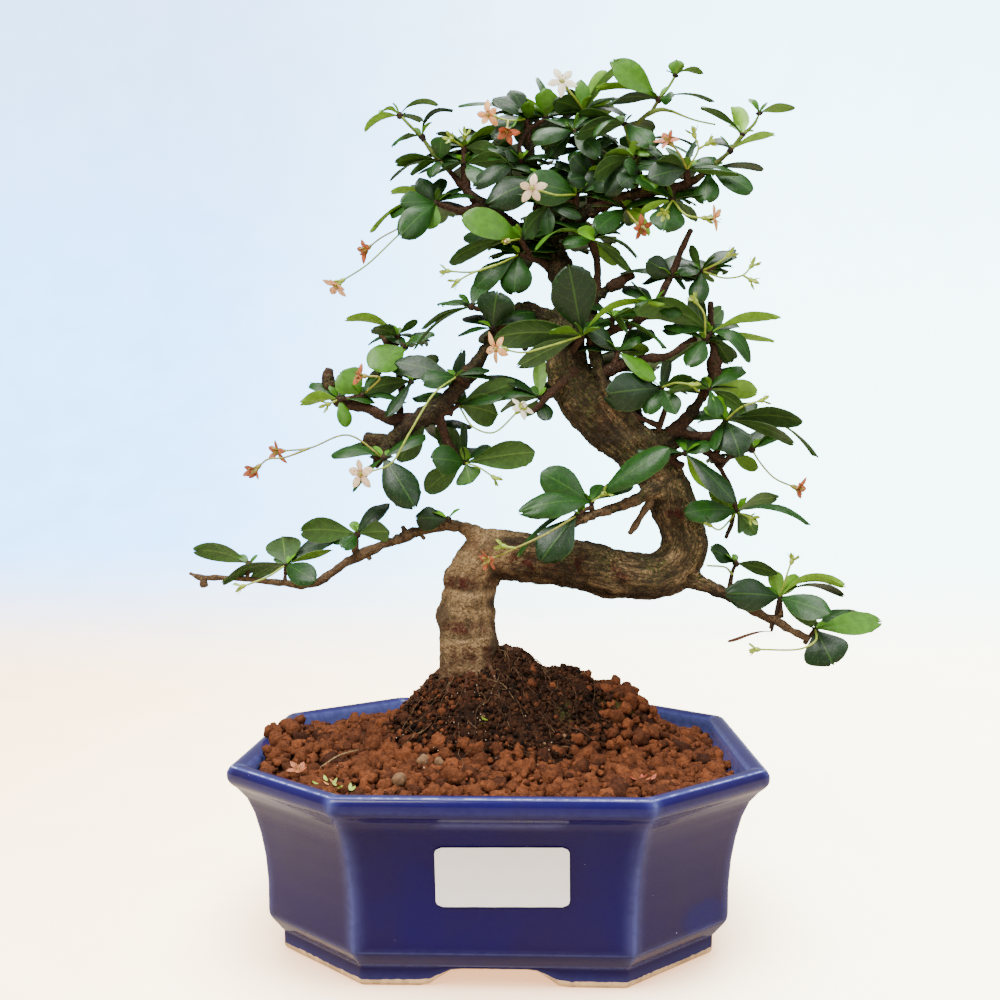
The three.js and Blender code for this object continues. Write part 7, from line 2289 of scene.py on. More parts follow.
@dataclass
class PaperLabel:
    """Blank label that follows the front wall of the pot."""

    pot: GlazedPot
    width: float = 46.0
    height: float = 21.6
    corner: float = 2.4
    x: float = 3.2
    z: float = 41.4
    turn: float = math.radians(0.6)
    thickness: float = 0.18
    gap: float = 0.42
    columns: int = 60
    rows: int = 30

    def sheet(self, lift: float) -> np.ndarray:
        """Returns the points of one face of the label, at a distance in front of the wall.

        Args:
            lift: distance in front of the wall.

        Returns:
            The points, row by row from below.
        """
        across = np.linspace(-1, 1, self.columns)
        points = []
        for share in np.linspace(-1, 1, self.rows):
            z = share * self.height / 2
            over = max(0.0, abs(z) - (self.height / 2 - self.corner))
            cut = self.corner - math.sqrt(max(0.0, self.corner**2 - over**2))
            for step in across:
                x = step * (self.width / 2 - cut)
                px = x * math.cos(self.turn) - z * math.sin(self.turn) + self.x
                pz = x * math.sin(self.turn) + z * math.cos(self.turn) + self.z
                wrinkle = 0.06 * math.sin(x * 0.5) * math.sin(z * 0.7)
                curl = 0.5 * max(0.0, share - 0.55) ** 2 * max(0.0, -step - 0.5)
                points.append((px, -(self.pot.half_y - self.pot.inset_at(pz)) - lift - wrinkle - curl, pz))
        return np.array(points)

    def build(self) -> bpy.types.Object:
        """Builds and dresses the label.

        Returns:
            The finished piece.
        """
        front = self.sheet(self.gap + self.thickness)
        back = self.sheet(self.gap)
        faces = grid_faces(self.rows, self.columns)
        loop = border_loop(self.rows, self.columns)
        rim = np.concatenate((front[loop], back[loop]))
        row, column = np.divmod(np.arange(len(front)), self.columns)
        from_ends = np.minimum(row, self.rows - 1 - row) * 2
        from_sides = np.minimum(column, self.columns - 1 - column) * 1.5
        edge = np.exp(-np.minimum(from_ends, from_sides) / 1.4)
        maker = MeshMaker("label_blank")
        maker.add(Patch(front, faces, 0, {"edge": edge}), Patch(back, faces[:, ::-1], 0, {"edge": edge}),
                  Patch(rim, grid_faces(2, len(loop), closed=True), 0, {"edge": 1.0}))
        return hand_over(maker.build([PAPER.material()]), "label_paper", "label")


@dataclass
class DrainScreen:
    """Strip of plastic mesh over both drain holes."""

    length: float = 92.0
    width: float = 24.0
    bottom: float = 12.8
    pitch: float = 3.0
    strand: float = 0.6
    sag: float = 0.05

    def build(self) -> bpy.types.Object:
        """Weaves the strip from round strands both ways.

        Returns:
            The finished piece.
        """
        maker = MeshMaker("drain_screen_mesh")
        height = self.bottom + self.strand
        middle = height + self.sag
        half, reach = self.width / 2, self.length / 2
        knots = [((-reach, y, height), (0, y, middle), (reach, y, height))
                 for y in np.arange(-half + self.strand, half, self.pitch)]
        knots += [((x, -half, height), (x, 0, middle), (x, half, height))
                  for x in np.arange(-reach + self.strand, reach, self.pitch)]
        for three in knots:
            maker.add(Spine.joining(np.array(three), np.full(3, self.strand), 12.0).tube(6))
        return hand_over(maker.build([MOULDED.material()]), "screen_plastic", "drain_screen")


# Soil


@dataclass(frozen=True)
class Ground:
    """Height of the soil in the pot: a level bed, a mound round the trunk and a second one beside it."""

    edge_level: float = 63.5
    rise: float = 5.5
    ripple: float = 0.7
    half_x: float = 101.0
    half_y: float = 97.5
    # Centre x and y, reach in x and y, height
    humps: tuple[tuple[float, ...], ...] = (
        (-7, 2, 54, 50, 30), (43, 12, 38, 42, 21), (4, 0, 17, 17, 8), (-84, -8, 30, 52, 9),
    )
    plateau: float = 1.25
    # The humus round the trunk: centre x and y, reach in x and y
    dark_patch: tuple[float, ...] = (-1.0, -3.0, 51.0, 37.0)

    def height(self, x: np.ndarray, y: np.ndarray) -> np.ndarray:
        """Returns the height of the ground at places in the pot.

        Args:
            x: places to the right.
            y: places to the back.

        Returns:
            The height at each place.
        """
        edge = np.minimum(self.half_x - np.abs(x), self.half_y - np.abs(y))
        level = self.edge_level + self.rise * smooth_step((edge - 8) / 45)
        level = level + self.ripple * np.sin(x * 0.21 + 1) * np.sin(y * 0.24)
        for centre_x, centre_y, reach_x, reach_y, high in self.humps:
            distance = np.hypot((x - centre_x) / reach_x, (y - centre_y) / reach_y)
            level = level + high * smooth_step(self.plateau * (1 - distance))
        return level

    def humus(self, x: np.ndarray, y: np.ndarray) -> np.ndarray:
        """Returns how much of the soil at a place is dark humus, from 0 to 1."""
        x_middle, y_middle, reach_x, reach_y = self.dark_patch
        return smooth_step(3.0 * (1 - np.hypot((x - x_middle) / reach_x, (y - y_middle) / reach_y)))

    def at(self, x: float, y: float) -> float:
        """Returns the height of the ground at one place."""
        return float(self.height(np.array(x), np.array(y)))


GROUND = Ground()
TRUNK_FOOT = (-13.0, 2.0)


def from_trunk(x: np.ndarray, y: np.ndarray) -> np.ndarray:
    """Returns how far places are from the middle of the trunk's foot."""
    return np.hypot(x - TRUNK_FOOT[0], y - TRUNK_FOOT[1])


def lump_shape(detail: int) -> tuple[np.ndarray, np.ndarray]:
    """Returns a ball of triangles: 20 faces at detail 1, 80 at detail 2.

    Args:
        detail: 1 or 2.

    Returns:
        Its points and its faces.
    """
    sheet = bmesh.new()
    bmesh.ops.create_icosphere(sheet, subdivisions=detail, radius=1.0)
    points = np.array([vertex.co[:] for vertex in sheet.verts])
    faces = np.array([[vertex.index for vertex in face.verts] for face in sheet.faces])
    sheet.free()
    return points, faces


def scatter_lumps(rng: np.random.Generator, places: np.ndarray, sizes: np.ndarray, tones: np.ndarray,
                  detail: int, material: int = 0, rough: float = 0.3) -> Patch:
    """Lays one uneven lump at each place.

    Args:
        rng: source of the random shapes.
        places: centres.
        sizes: radius of each.
        tones: tone of each.
        detail: 1 for small lumps, 2 for large ones.
        material: number of their material.
        rough: how uneven they are.

    Returns:
        All the lumps.
    """
    ball, faces = lump_shape(detail)
    count = len(places)
    stretch = rng.uniform(0.72, 1.18, (count, 1, 3))
    spins = rng.normal(size=(count, 4))
    spins /= np.linalg.norm(spins, axis=1, keepdims=True)
    w, x, y, z = spins.T
    turn = np.stack([
        np.stack((1 - 2 * (y * y + z * z), 2 * (x * y - w * z), 2 * (x * z + w * y)), -1),
        np.stack((2 * (x * y + w * z), 1 - 2 * (x * x + z * z), 2 * (y * z - w * x)), -1),
        np.stack((2 * (x * z - w * y), 2 * (y * z + w * x), 1 - 2 * (x * x + y * y)), -1),
    ], axis=1)
    dents = 1 + rng.uniform(-rough, rough, (count, len(ball), 1))
    lumps = ball[None] * stretch * dents * sizes[:, None, None]
    lumps = np.einsum("nij,nkj->nki", turn, lumps) + places[:, None]
    numbers = (faces[None] + (np.arange(count) * len(ball))[:, None, None]).reshape(-1, 3)
    return Patch(lumps.reshape(-1, 3), numbers, material, {"tone": np.repeat(tones, len(ball))})


def joined_patches(first: Patch, second: Patch) -> Patch:
    """Joins two patches of one material into one.

    Args:
        first: one patch.
        second: another with the same values.

    Returns:
        The joined patch.
    """
    values = {name: np.concatenate((first.values[name], second.values[name])) for name in first.values}
    faces = np.concatenate((first.faces, second.faces + len(first.points)))
    return Patch(np.concatenate((first.points, second.points)), faces, first.material, values)


@dataclass
class Soil:
    """Granules and humus in the pot."""

    pot: GlazedPot
    wall: float = 9.0
    spacing: float = 5.3
    fine_spacing: float = 3.3
    bed_inset: float = 10.4
    bed_rings: int = 44
    bed_drop: float = 2.6
    # The mound of humus: its middle, its reach in x and y, and its points round it and inwards
    mound: tuple[float, float] = (3.0, -3.0)
    mound_reach: tuple[float, float] = (53.0, 39.0)
    mound_points: int = 180
    mound_rings: int = 70
    seed: int = 41
    # Granules that lie against the left rim and over it: x, y, height, radius
    spilled: tuple[tuple[float, float, float, float], ...] = (
        (-92.6, -6, 73.4, 3.1), (-94.6, 2, 73.2, 2.7), (-90.5, 6, 74.2, 3.3), (-93.4, 12, 72.4, 2.8),
        (-91, -14, 73.2, 3.0), (-96.2, -3, 73.4, 2.2), (-87.5, -2, 75.4, 3.2), (-88.6, -22, 73, 2.8),
        (-92.4, 20, 72, 2.6), (-86.4, 10, 75.6, 2.8), (-90.6, -30, 71.6, 2.4), (-97, 8, 73.2, 1.7),
        (-84, -12, 76.2, 3.0),
    )
    # Withered petals and green scraps in front: x, y, tone, material
    scraps: tuple[tuple[float, float, float, int], ...] = (
        (52, -62, 0.95, 3), (56, -60, 0.9, 3), (46, -66, 0.85, 3), (-58, -68, 0.7, 3),
        (-62, -66, 0.0, 4), (-56, -70, 0.1, 4), (-52, -72, 0.0, 4), (-4, -30, 0.1, 4),
    )
    # Tan grains on the humus: x, y, radius
    stones: tuple[Point, ...] = (
        (-28, -42, 3.1), (-22, -44, 2.2), (-35, -62, 2.6), (2, -33, 0.8), (18, -31, 0.7), (-6, -28, 0.7),
        (26, -22, 0.8),
    )
    # The pale straw: x, y, height over the ground, radius
    straw_path: Path = ((-66, -50, 3.0, 0.28), (-61, -39, 4.0, 0.36), (-55, -28, 3.4, 0.24))
    # A surface root: distance from the middle of the trunk, height over the ground, radius
    root_path: tuple[Point, ...] = (
        (9, 3, 1.7), (12, 1.4, 1.3), (16, 1.0, 1.0), (20, 0.4, 0.8), (25, -1.6, 0.5),
    )
    # Moss on the mound: x, y, z, reach, strength
    moss: tuple[tuple[float, ...], ...] = ((52, -2, 86, 15, 0.9), (29, -16, 86, 9, 0.8))
    crumb_count: int = 5200
    speck_count: int = 90
    hair_count: int = 170
    hair_knots: int = 6
    # Numbers of the materials of the root ball: humus comes first
    stone: int = 1
    root: int = 2
    clay: int = 5

    def inside(self, x: np.ndarray, y: np.ndarray, margin: float) -> np.ndarray:
        """Tells which places lie inside the pot's inner wall at the level of the soil.

        Args:
            x: places to the right.
            y: places to the back.
            margin: distance to keep from the wall.

        Returns:
            True for each place inside.
        """
        pot, margin = self.pot, margin + self.wall
        slope = unit(np.array((pot.half_y - pot.edge_y, pot.half_x - pot.edge_x)))
        reach = slope[0] * pot.edge_x + slope[1] * pot.half_y - margin
        diagonal = slope[0] * np.abs(x) + slope[1] * np.abs(y)
        return (np.abs(x) < pot.half_x - margin) & (np.abs(y) < pot.half_y - margin) & (diagonal < reach)

    def places(
        self, rng: np.random.Generator, spacing: float, margin: float
    ) -> tuple[np.ndarray, np.ndarray]:
        """Returns jittered places all over the soil, away from the trunk.

        Args:
            rng: source of the jitter.
            spacing: distance between neighbours.
            margin: distance to keep from the wall.

        Returns:
            The x and the y of the places.
        """
        span = np.arange(-95, 95, spacing)
        x, y = np.meshgrid(span, span * 0.99)
        x = x + (np.arange(len(span))[:, None] % 2) * spacing / 2
        x = (x + rng.uniform(-0.38, 0.38, x.shape) * spacing).ravel()
        y = (y + rng.uniform(-0.38, 0.38, y.shape) * spacing).ravel()
        keep = self.inside(x, y, margin) & (from_trunk(x, y) > 11.5)
        return x[keep], y[keep]

    def terrain(self, lower: float) -> Patch:
        """Returns the ground under the granules as rings from the wall to the middle, kept dark as painted
        shade in the gaps between them.

        Args:
            lower: how far it lies below the ground's level.

        Returns:
            The surface.
        """
        outline, _ = self.pot.outline(self.bed_inset, 3.0)
        rows = []
        for share in np.linspace(1, 0.0, self.bed_rings):
            x, y = outline[:, 0] * share, outline[:, 1] * share
            rough = 0.9 * Grain(9).fractal(np.column_stack((x / 5, y / 5, np.zeros(len(x)))), 3)
            rows.append(np.column_stack((x, y, GROUND.height(x, y) - lower + rough)))
        points = np.concatenate(rows)
        # Dark tone: painted shade in the gaps between the granules
        tone = 0.05 + 0.15 * Grain(10).value(points / 7)
        return Patch(points, grid_faces(len(rows), len(outline), closed=True), 0, {"tone": tone})

    def build_bed(self) -> bpy.types.Object:
        """Builds the clay granules: a large and a small size over a rough bed.

        Returns:
            The finished piece.
        """
        rng = np.random.default_rng(self.seed)
        maker = MeshMaker("soil_granules")
        maker.add(self.terrain(self.bed_drop))
        heap = np.array(self.spilled)
        maker.add(scatter_lumps(rng, heap[:, :3], heap[:, 3], np.full(len(heap), 0.6), 2, rough=0.26))
        # Spacing, least and greatest radius, detail, distance from the wall, share left out on humus, lift
        layers = ((self.spacing, 2.4, 4.2, 2, 1.5, 0.98, 0), (self.fine_spacing, 1.0, 2.0, 1, 0.2, 0.86, 0.8))
        for spacing, low, high, detail, margin, left_out, lift in layers:
            x, y = self.places(rng, spacing, margin)
            keep = rng.random(len(x)) > GROUND.humus(x, y) * left_out
            x, y = x[keep], y[keep]
            sizes = rng.uniform(low, high, len(x)) * rng.uniform(0.75, 1.1, len(x))
            height = GROUND.height(x, y) - 1.3 + rng.uniform(-1.2, 1.3, len(x)) + lift
            tones = np.clip(rng.normal(0.58, 0.22, len(x)), 0.02, 1.0)
            maker.add(scatter_lumps(rng, np.column_stack((x, y, height)), sizes, tones, detail, rough=0.31))
        return hand_over(maker.build([GRANULE.material()]), "granules", "soil_bed")

    def crust(self) -> Patch:
        """Returns the surface of the mound of humus.

        Returns:
            The surface.
        """
        angles = np.linspace(0, 2 * math.pi, self.mound_points, endpoint=False)
        wobble = 1 + 0.07 * np.sin(3 * angles + 1) + 0.05 * np.sin(5 * angles)
        rows = []
        for share in np.linspace(1.0, 0.0, self.mound_rings):
            x = self.mound[0] + self.mound_reach[0] * share * wobble * np.cos(angles)
            y = self.mound[1] + self.mound_reach[1] * share * wobble * np.sin(angles)
            flat = np.column_stack((x, y, np.zeros(len(x))))
            rough = 1.7 * Grain(21).fractal(flat / 6.5, 4) + 0.7 * Grain(22).value(flat / 1.3)
            sink = -3.2 * smooth_step((share - 0.72) / 0.28)
            rows.append(np.column_stack((x, y, GROUND.height(x, y) + rough + sink)))
        points = np.concatenate(rows)
        tone = np.clip(0.4 + 0.5 * Grain(23).fractal(points / 5, 3), 0, 1)
        moss = np.maximum.reduce([
            smooth_step(1 - np.linalg.norm(points - place, axis=1) / reach) * strength
            for *place, reach, strength in self.moss
        ])
        faces = grid_faces(len(rows), len(angles), closed=True)
        return Patch(points, faces, 0, {"tone": tone, "moss": moss})

    def crumbs(self, rng: np.random.Generator) -> list[Patch]:
        """Returns small crumbs over the mound, dark ones and those of clay.

        Args:
            rng: source of the random shapes.

        Returns:
            The dark crumbs and those of clay.
        """
        x, y = rng.normal(0, 29, self.crumb_count), rng.normal(-7, 23, self.crumb_count)
        keep = (GROUND.humus(x, y) > 0.03) & (from_trunk(x, y) > 11)
        x, y = x[keep], y[keep]
        sizes = rng.uniform(0.4, 1.5, len(x))
        points = np.column_stack((x, y, GROUND.height(x, y) + rng.uniform(-0.6, 1.2, len(x))))
        tones = np.clip(rng.normal(0.45, 0.3, len(x)), 0, 1)
        clay = rng.random(len(x)) < 0.05 + 0.26 * (x < -10) + 0.2 * (y < -34)
        return [scatter_lumps(rng, points[here], sizes[here], tones[here] * share, 1, material, 0.4)
                for here, share, material in ((~clay, 1.0, 0), (clay, 0.7, self.clay))]

    def pale_grains(self, rng: np.random.Generator) -> Patch:
        """Returns the tan grains that stand out from the humus, and its many white specks.

        Args:
            rng: source of the random shapes.

        Returns:
            The grains.
        """
        x, y, sizes = np.array(self.stones).T
        places = np.column_stack((x, y, GROUND.height(x, y) + 1.2))
        tan = scatter_lumps(rng, places, sizes, np.full(len(x), 0.06), 2, material=self.stone, rough=0.16)
        count = self.speck_count
        x, y = rng.normal(-12, 17, count), rng.normal(-30, 10, count)
        specks = np.column_stack((x, y, GROUND.height(x, y) + rng.uniform(0.6, 1.8, count)))
        radii = rng.uniform(0.12, 0.32, count)
        white = scatter_lumps(rng, specks, radii, np.ones(count), 1, material=self.stone)
        return joined_patches(tan, white)

    def root_hairs(self, rng: np.random.Generator) -> list[Patch]:
        """Returns fine roots that trail over the mound, and a few coarser ones.

        Args:
            rng: source of the random shapes.

        Returns:
            One tube for each root.
        """
        patches = []
        for index in range(self.hair_count):
            angle = rng.uniform(0, 2 * math.pi)
            start = np.array((rng.normal(-4, 20), rng.normal(-10, 15)))
            knots = []
            for _ in range(self.hair_knots):
                height = GROUND.height(start[0], start[1]) + rng.uniform(0.4, 2.6)
                knots.append((start[0], start[1], height))
                angle += rng.normal(0, 0.55)
                start = start + np.array((math.cos(angle), math.sin(angle))) * rng.uniform(1.6, 4.2)
            radius = rng.uniform(0.1, 0.19) if index % 14 else rng.uniform(0.24, 0.42)
            radii = np.linspace(radius, radius * 0.5, self.hair_knots)
            reddish = start[0] < -14
            russet = float(rng.uniform(0.5, 1.0) if reddish else rng.uniform(0.2, 0.8))
            dark = float(rng.choice((0.1, 0.6, 0.8)))
            spine = Spine.joining(np.array(knots), radii, 2.2)
            patches.append(spine.tube(4, material=self.root, russet=russet, layer=0.7, twig=dark))
        return patches

    def straw(self) -> Patch:
        """Returns the pale straw that lies on the granules to the left.

        Returns:
            The straw.
        """
        knots = np.array([(x, y, GROUND.at(x, y) + lift) for x, y, lift, _ in self.straw_path])
        radii = np.array([radius for *_, radius in self.straw_path])
        return Spine.joining(knots, radii, 1.6).tube(6, material=self.root, layer=1.6)

    def surface_roots(self, rng: np.random.Generator) -> list[Patch]:
        """Returns the stout roots that spread from the foot of the trunk and dive into the mound.

        Args:
            rng: source of the random shapes.

        Returns:
            One tube for each root.
        """
        patches = []
        for angle in np.linspace(-3.0, 0.5, 9) + rng.uniform(-0.2, 0.2, 9):
            knots = []
            bend = rng.uniform(-0.35, 0.35)
            for reach, lift, _ in self.root_path:
                turn = angle + bend * (reach - 8) / 22
                x = TRUNK_FOOT[0] + math.cos(turn) * reach
                y = TRUNK_FOOT[1] + math.sin(turn) * reach
                knots.append((x, y, GROUND.at(x, y) + lift))
            radii = np.array([radius for *_, radius in self.root_path]) * rng.uniform(0.6, 1.2)
            spine = Spine.joining(np.array(knots), radii, 1.2)
            looks = {"material": self.root, "russet": 0.8, "layer": 0.3, "twig": 0.4}
            patches.append(spine.tube(12, relief=0.34, seed=int(angle * 10) + 90, **looks))
        return patches

    def litter(self, rng: np.random.Generator) -> list[Patch]:
        """Returns withered petals and green scraps on the granules in front.

        Args:
            rng: source of the random shapes.

        Returns:
            The scraps.
        """
        patches = []
        upward = np.array((0.1, -0.2, 1.0))
        for x, y, tone, material in self.scraps:
            for _ in range(3):
                centre = np.array((x + rng.normal(0, 1.5), y + rng.normal(0, 1.2), 0.0))
                centre[2] = GROUND.height(centre[0], centre[1]) + 1.9
                turn = rng.uniform(0, 2 * math.pi)
                way = np.array((math.cos(turn), math.sin(turn), rng.uniform(-0.1, 0.5)))
                reach = way * rng.uniform(2.0, 3.2)
                patches.append(petal_patch(centre, reach, upward, 1.3, 0.3, tone, material))
        return patches

    def build_root_ball(self) -> bpy.types.Object:
        """Builds the humus mound with its crumbs, pale grains, roots and litter.

        Returns:
            The finished piece.
        """
        rng = np.random.default_rng(self.seed + 1)
        maker = MeshMaker("root_ball_humus")
        maker.add(self.crust(), *self.crumbs(rng), self.pale_grains(rng))
        maker.add(*self.root_hairs(rng), self.straw(), *self.surface_roots(rng), *self.litter(rng))
        materials = [finish.material() for finish in (HUMUS, STONE, BARK, PETAL, STEM, GRANULE)]
        return hand_over(maker.build(materials), "humus", "root_plug")


# Flowers


# Share of a petal's length, and its half width there as a share of the width
PETAL_OUTLINE = np.array((
    (0, 0.2), (0.18, 0.34), (0.4, 0.48), (0.6, 0.5), (0.8, 0.36), (0.93, 0.17), (1, 0.02),
))
PETAL_COLUMNS = 5
PETALS = 5
FIFTH = 2 * math.pi / PETALS


def petal_patch(base: np.ndarray, reach: np.ndarray, normal: np.ndarray, width: float, curl: float,
                tone: float, material: int) -> Patch:
    """Returns one petal or scrap: a pointed sheet with both faces.

    Args:
        base: where it starts.
        reach: direction and length.
        normal: direction in which its upper face looks.
        width: its greatest width.
        curl: how far its tip bends, as a share of the length.
        tone: age.
        material: number of its material.

    Returns:
        The petal.
    """
    length = float(np.linalg.norm(reach))
    axis = reach / length
    up = unit(normal - axis * np.dot(normal, axis))
    side = np.cross(axis, up)
    shares, halves = PETAL_OUTLINE[:, 0], PETAL_OUTLINE[:, 1] * width
    across = np.linspace(-1, 1, PETAL_COLUMNS)
    rows = []
    for share, half in zip(shares, halves):
        middle = base + axis * length * share + up * curl * length * share**2
        droop = up * (0.18 * half * np.abs(across)[:, None])
        rows.append(middle + side * (across * half)[:, None] - droop)
    top = np.concatenate(rows)
    faces = grid_faces(len(shares), PETAL_COLUMNS)
    flat = np.column_stack((np.repeat(shares, PETAL_COLUMNS), np.tile(across * 0.5 + 0.5, len(shares))))
    points = np.concatenate((top, top - up * 0.08))
    both = np.concatenate((faces[:, ::-1], faces + len(top)))
    return Patch(points, both, material, {"tone": tone}, np.concatenate((flat, flat)))


@dataclass
class Blossom:
    """A five-petalled flower at a point, looking in a direction."""

    centre: np.ndarray
    looks: np.ndarray
    radius: float
    age: float = 0.0
    crumpled: float = 0.0
    seed: int = 0

    def patches(self, petal: int, green: int) -> list[Patch]:
        """Returns petals, throat and stamens.

        Args:
            petal: number of the petal material.
            green: number of the green material.

        Returns:
            All the patches.
        """
        rng = np.random.default_rng(self.seed)
        axis = unit(self.looks)
        first = unit(np.cross(axis, (0.2, 0.1, 1.0)))
        second = np.cross(axis, first)
        made = []
        offset = rng.uniform(0, 2 * math.pi)
        for index in range(PETALS):
            angle = offset + index * FIFTH + rng.normal(0, 0.06)
            out = first * math.cos(angle) + second * math.sin(angle)
            lean = 0.3 + 0.7 * self.crumpled + rng.normal(0, 0.1 + 0.25 * self.crumpled)
            reach = (out * math.cos(lean) + axis * math.sin(lean)) * self.radius * rng.uniform(0.95, 1.15)
            width = self.radius * (0.66 + 0.04 * self.crumpled)
            curl = -0.42 + rng.normal(0, 0.08 + 0.3 * self.crumpled)
            base = self.centre + out * self.radius * 0.12
            made.append(petal_patch(base, reach, axis, width, curl, self.age, petal))
        knots = np.array([self.centre + axis * reach for reach in (-0.42 * self.radius, -0.1, 0.25)])
        throat = Spine.joining(knots, np.array((0.5, 0.85, 1.0)) * self.radius * 0.2, 1.0)
        made.append(throat.tube(8, material=green, tone=0.15 + 0.7 * self.age))
        for index in range(PETALS):
            angle = offset + (index + 0.5) * FIFTH
            out = first * math.cos(angle) + second * math.sin(angle)
            tip = self.centre + axis * self.radius * 0.42 + out * self.radius * 0.26
            thread = Spine.joining(np.array([self.centre + out * 0.25, tip]), np.array((0.1, 0.08)), 1.5)
            end = tip + axis * 0.45 + out * 0.2
            anther = Spine.joining(np.array([tip, end]), np.array((0.24, 0.2)), 0.4)
            made.append(thread.tube(3, material=petal, tone=self.age * 0.8))
            made.append(anther.tube(5, material=green, tone=0.9))
        return made


def sepal_cup(
    centre: np.ndarray, axis: np.ndarray, size: float, spread: float, age: float, green: int
) -> list[Patch]:
    """Returns a calyx: a small cup and five narrow sepals.

    Args:
        centre: where the flower sits.
        axis: direction in which it opens.
        size: length of a sepal.
        spread: how far the sepals open, in radians.
        age: from 0, green, to 1, brown.
        green: number of the green material.

    Returns:
        The cup and the sepals.
    """
    axis = unit(axis)
    first = unit(np.cross(axis, (0.15, 0.25, 1.0)))
    second = np.cross(axis, first)
    knots = np.array([centre + axis * size * reach for reach in (-0.5, -0.15, 0.1)])
    cup = Spine.joining(knots, np.array((0.14, 0.3, 0.26)) * size, 0.6)
    made = [cup.tube(7, material=green, tone=age)]
    for index in range(PETALS):
        angle = index * FIFTH
        out = first * math.cos(angle) + second * math.sin(angle)
        reach = (axis * math.cos(spread) + out * math.sin(spread)) * size
        normal = axis * math.sin(spread) - out * math.cos(spread)
        base = centre + out * size * 0.12
        made.append(petal_patch(base, reach, normal, size * 0.42, 0.06, age, green))
    return made


# Leaves


@dataclass(frozen=True)
class LeafShape:
    """How the blades of this species are formed."""

    # Longest blade, and the rows and columns of its points
    grids: tuple[tuple[float, int, int], ...] = ((10, 8, 5), (24, 12, 7), (math.inf, 16, 11))
    thickness: float = 0.34
    # Share of the length, half width as a share of half the full width
    outline: tuple[tuple[float, float], ...] = (
        (0, 0.07), (0.05, 0.11), (0.11, 0.22), (0.2, 0.45), (0.32, 0.72), (0.45, 0.92), (0.57, 0.995),
        (0.66, 1.0), (0.75, 0.96), (0.84, 0.85), (0.91, 0.69), (0.96, 0.5), (0.99, 0.33), (1.0, 0.2),
    )
    tip_fall: float = 0.05
    notch: float = 0.05
    tooth: float = 0.1


LEAF = LeafShape()


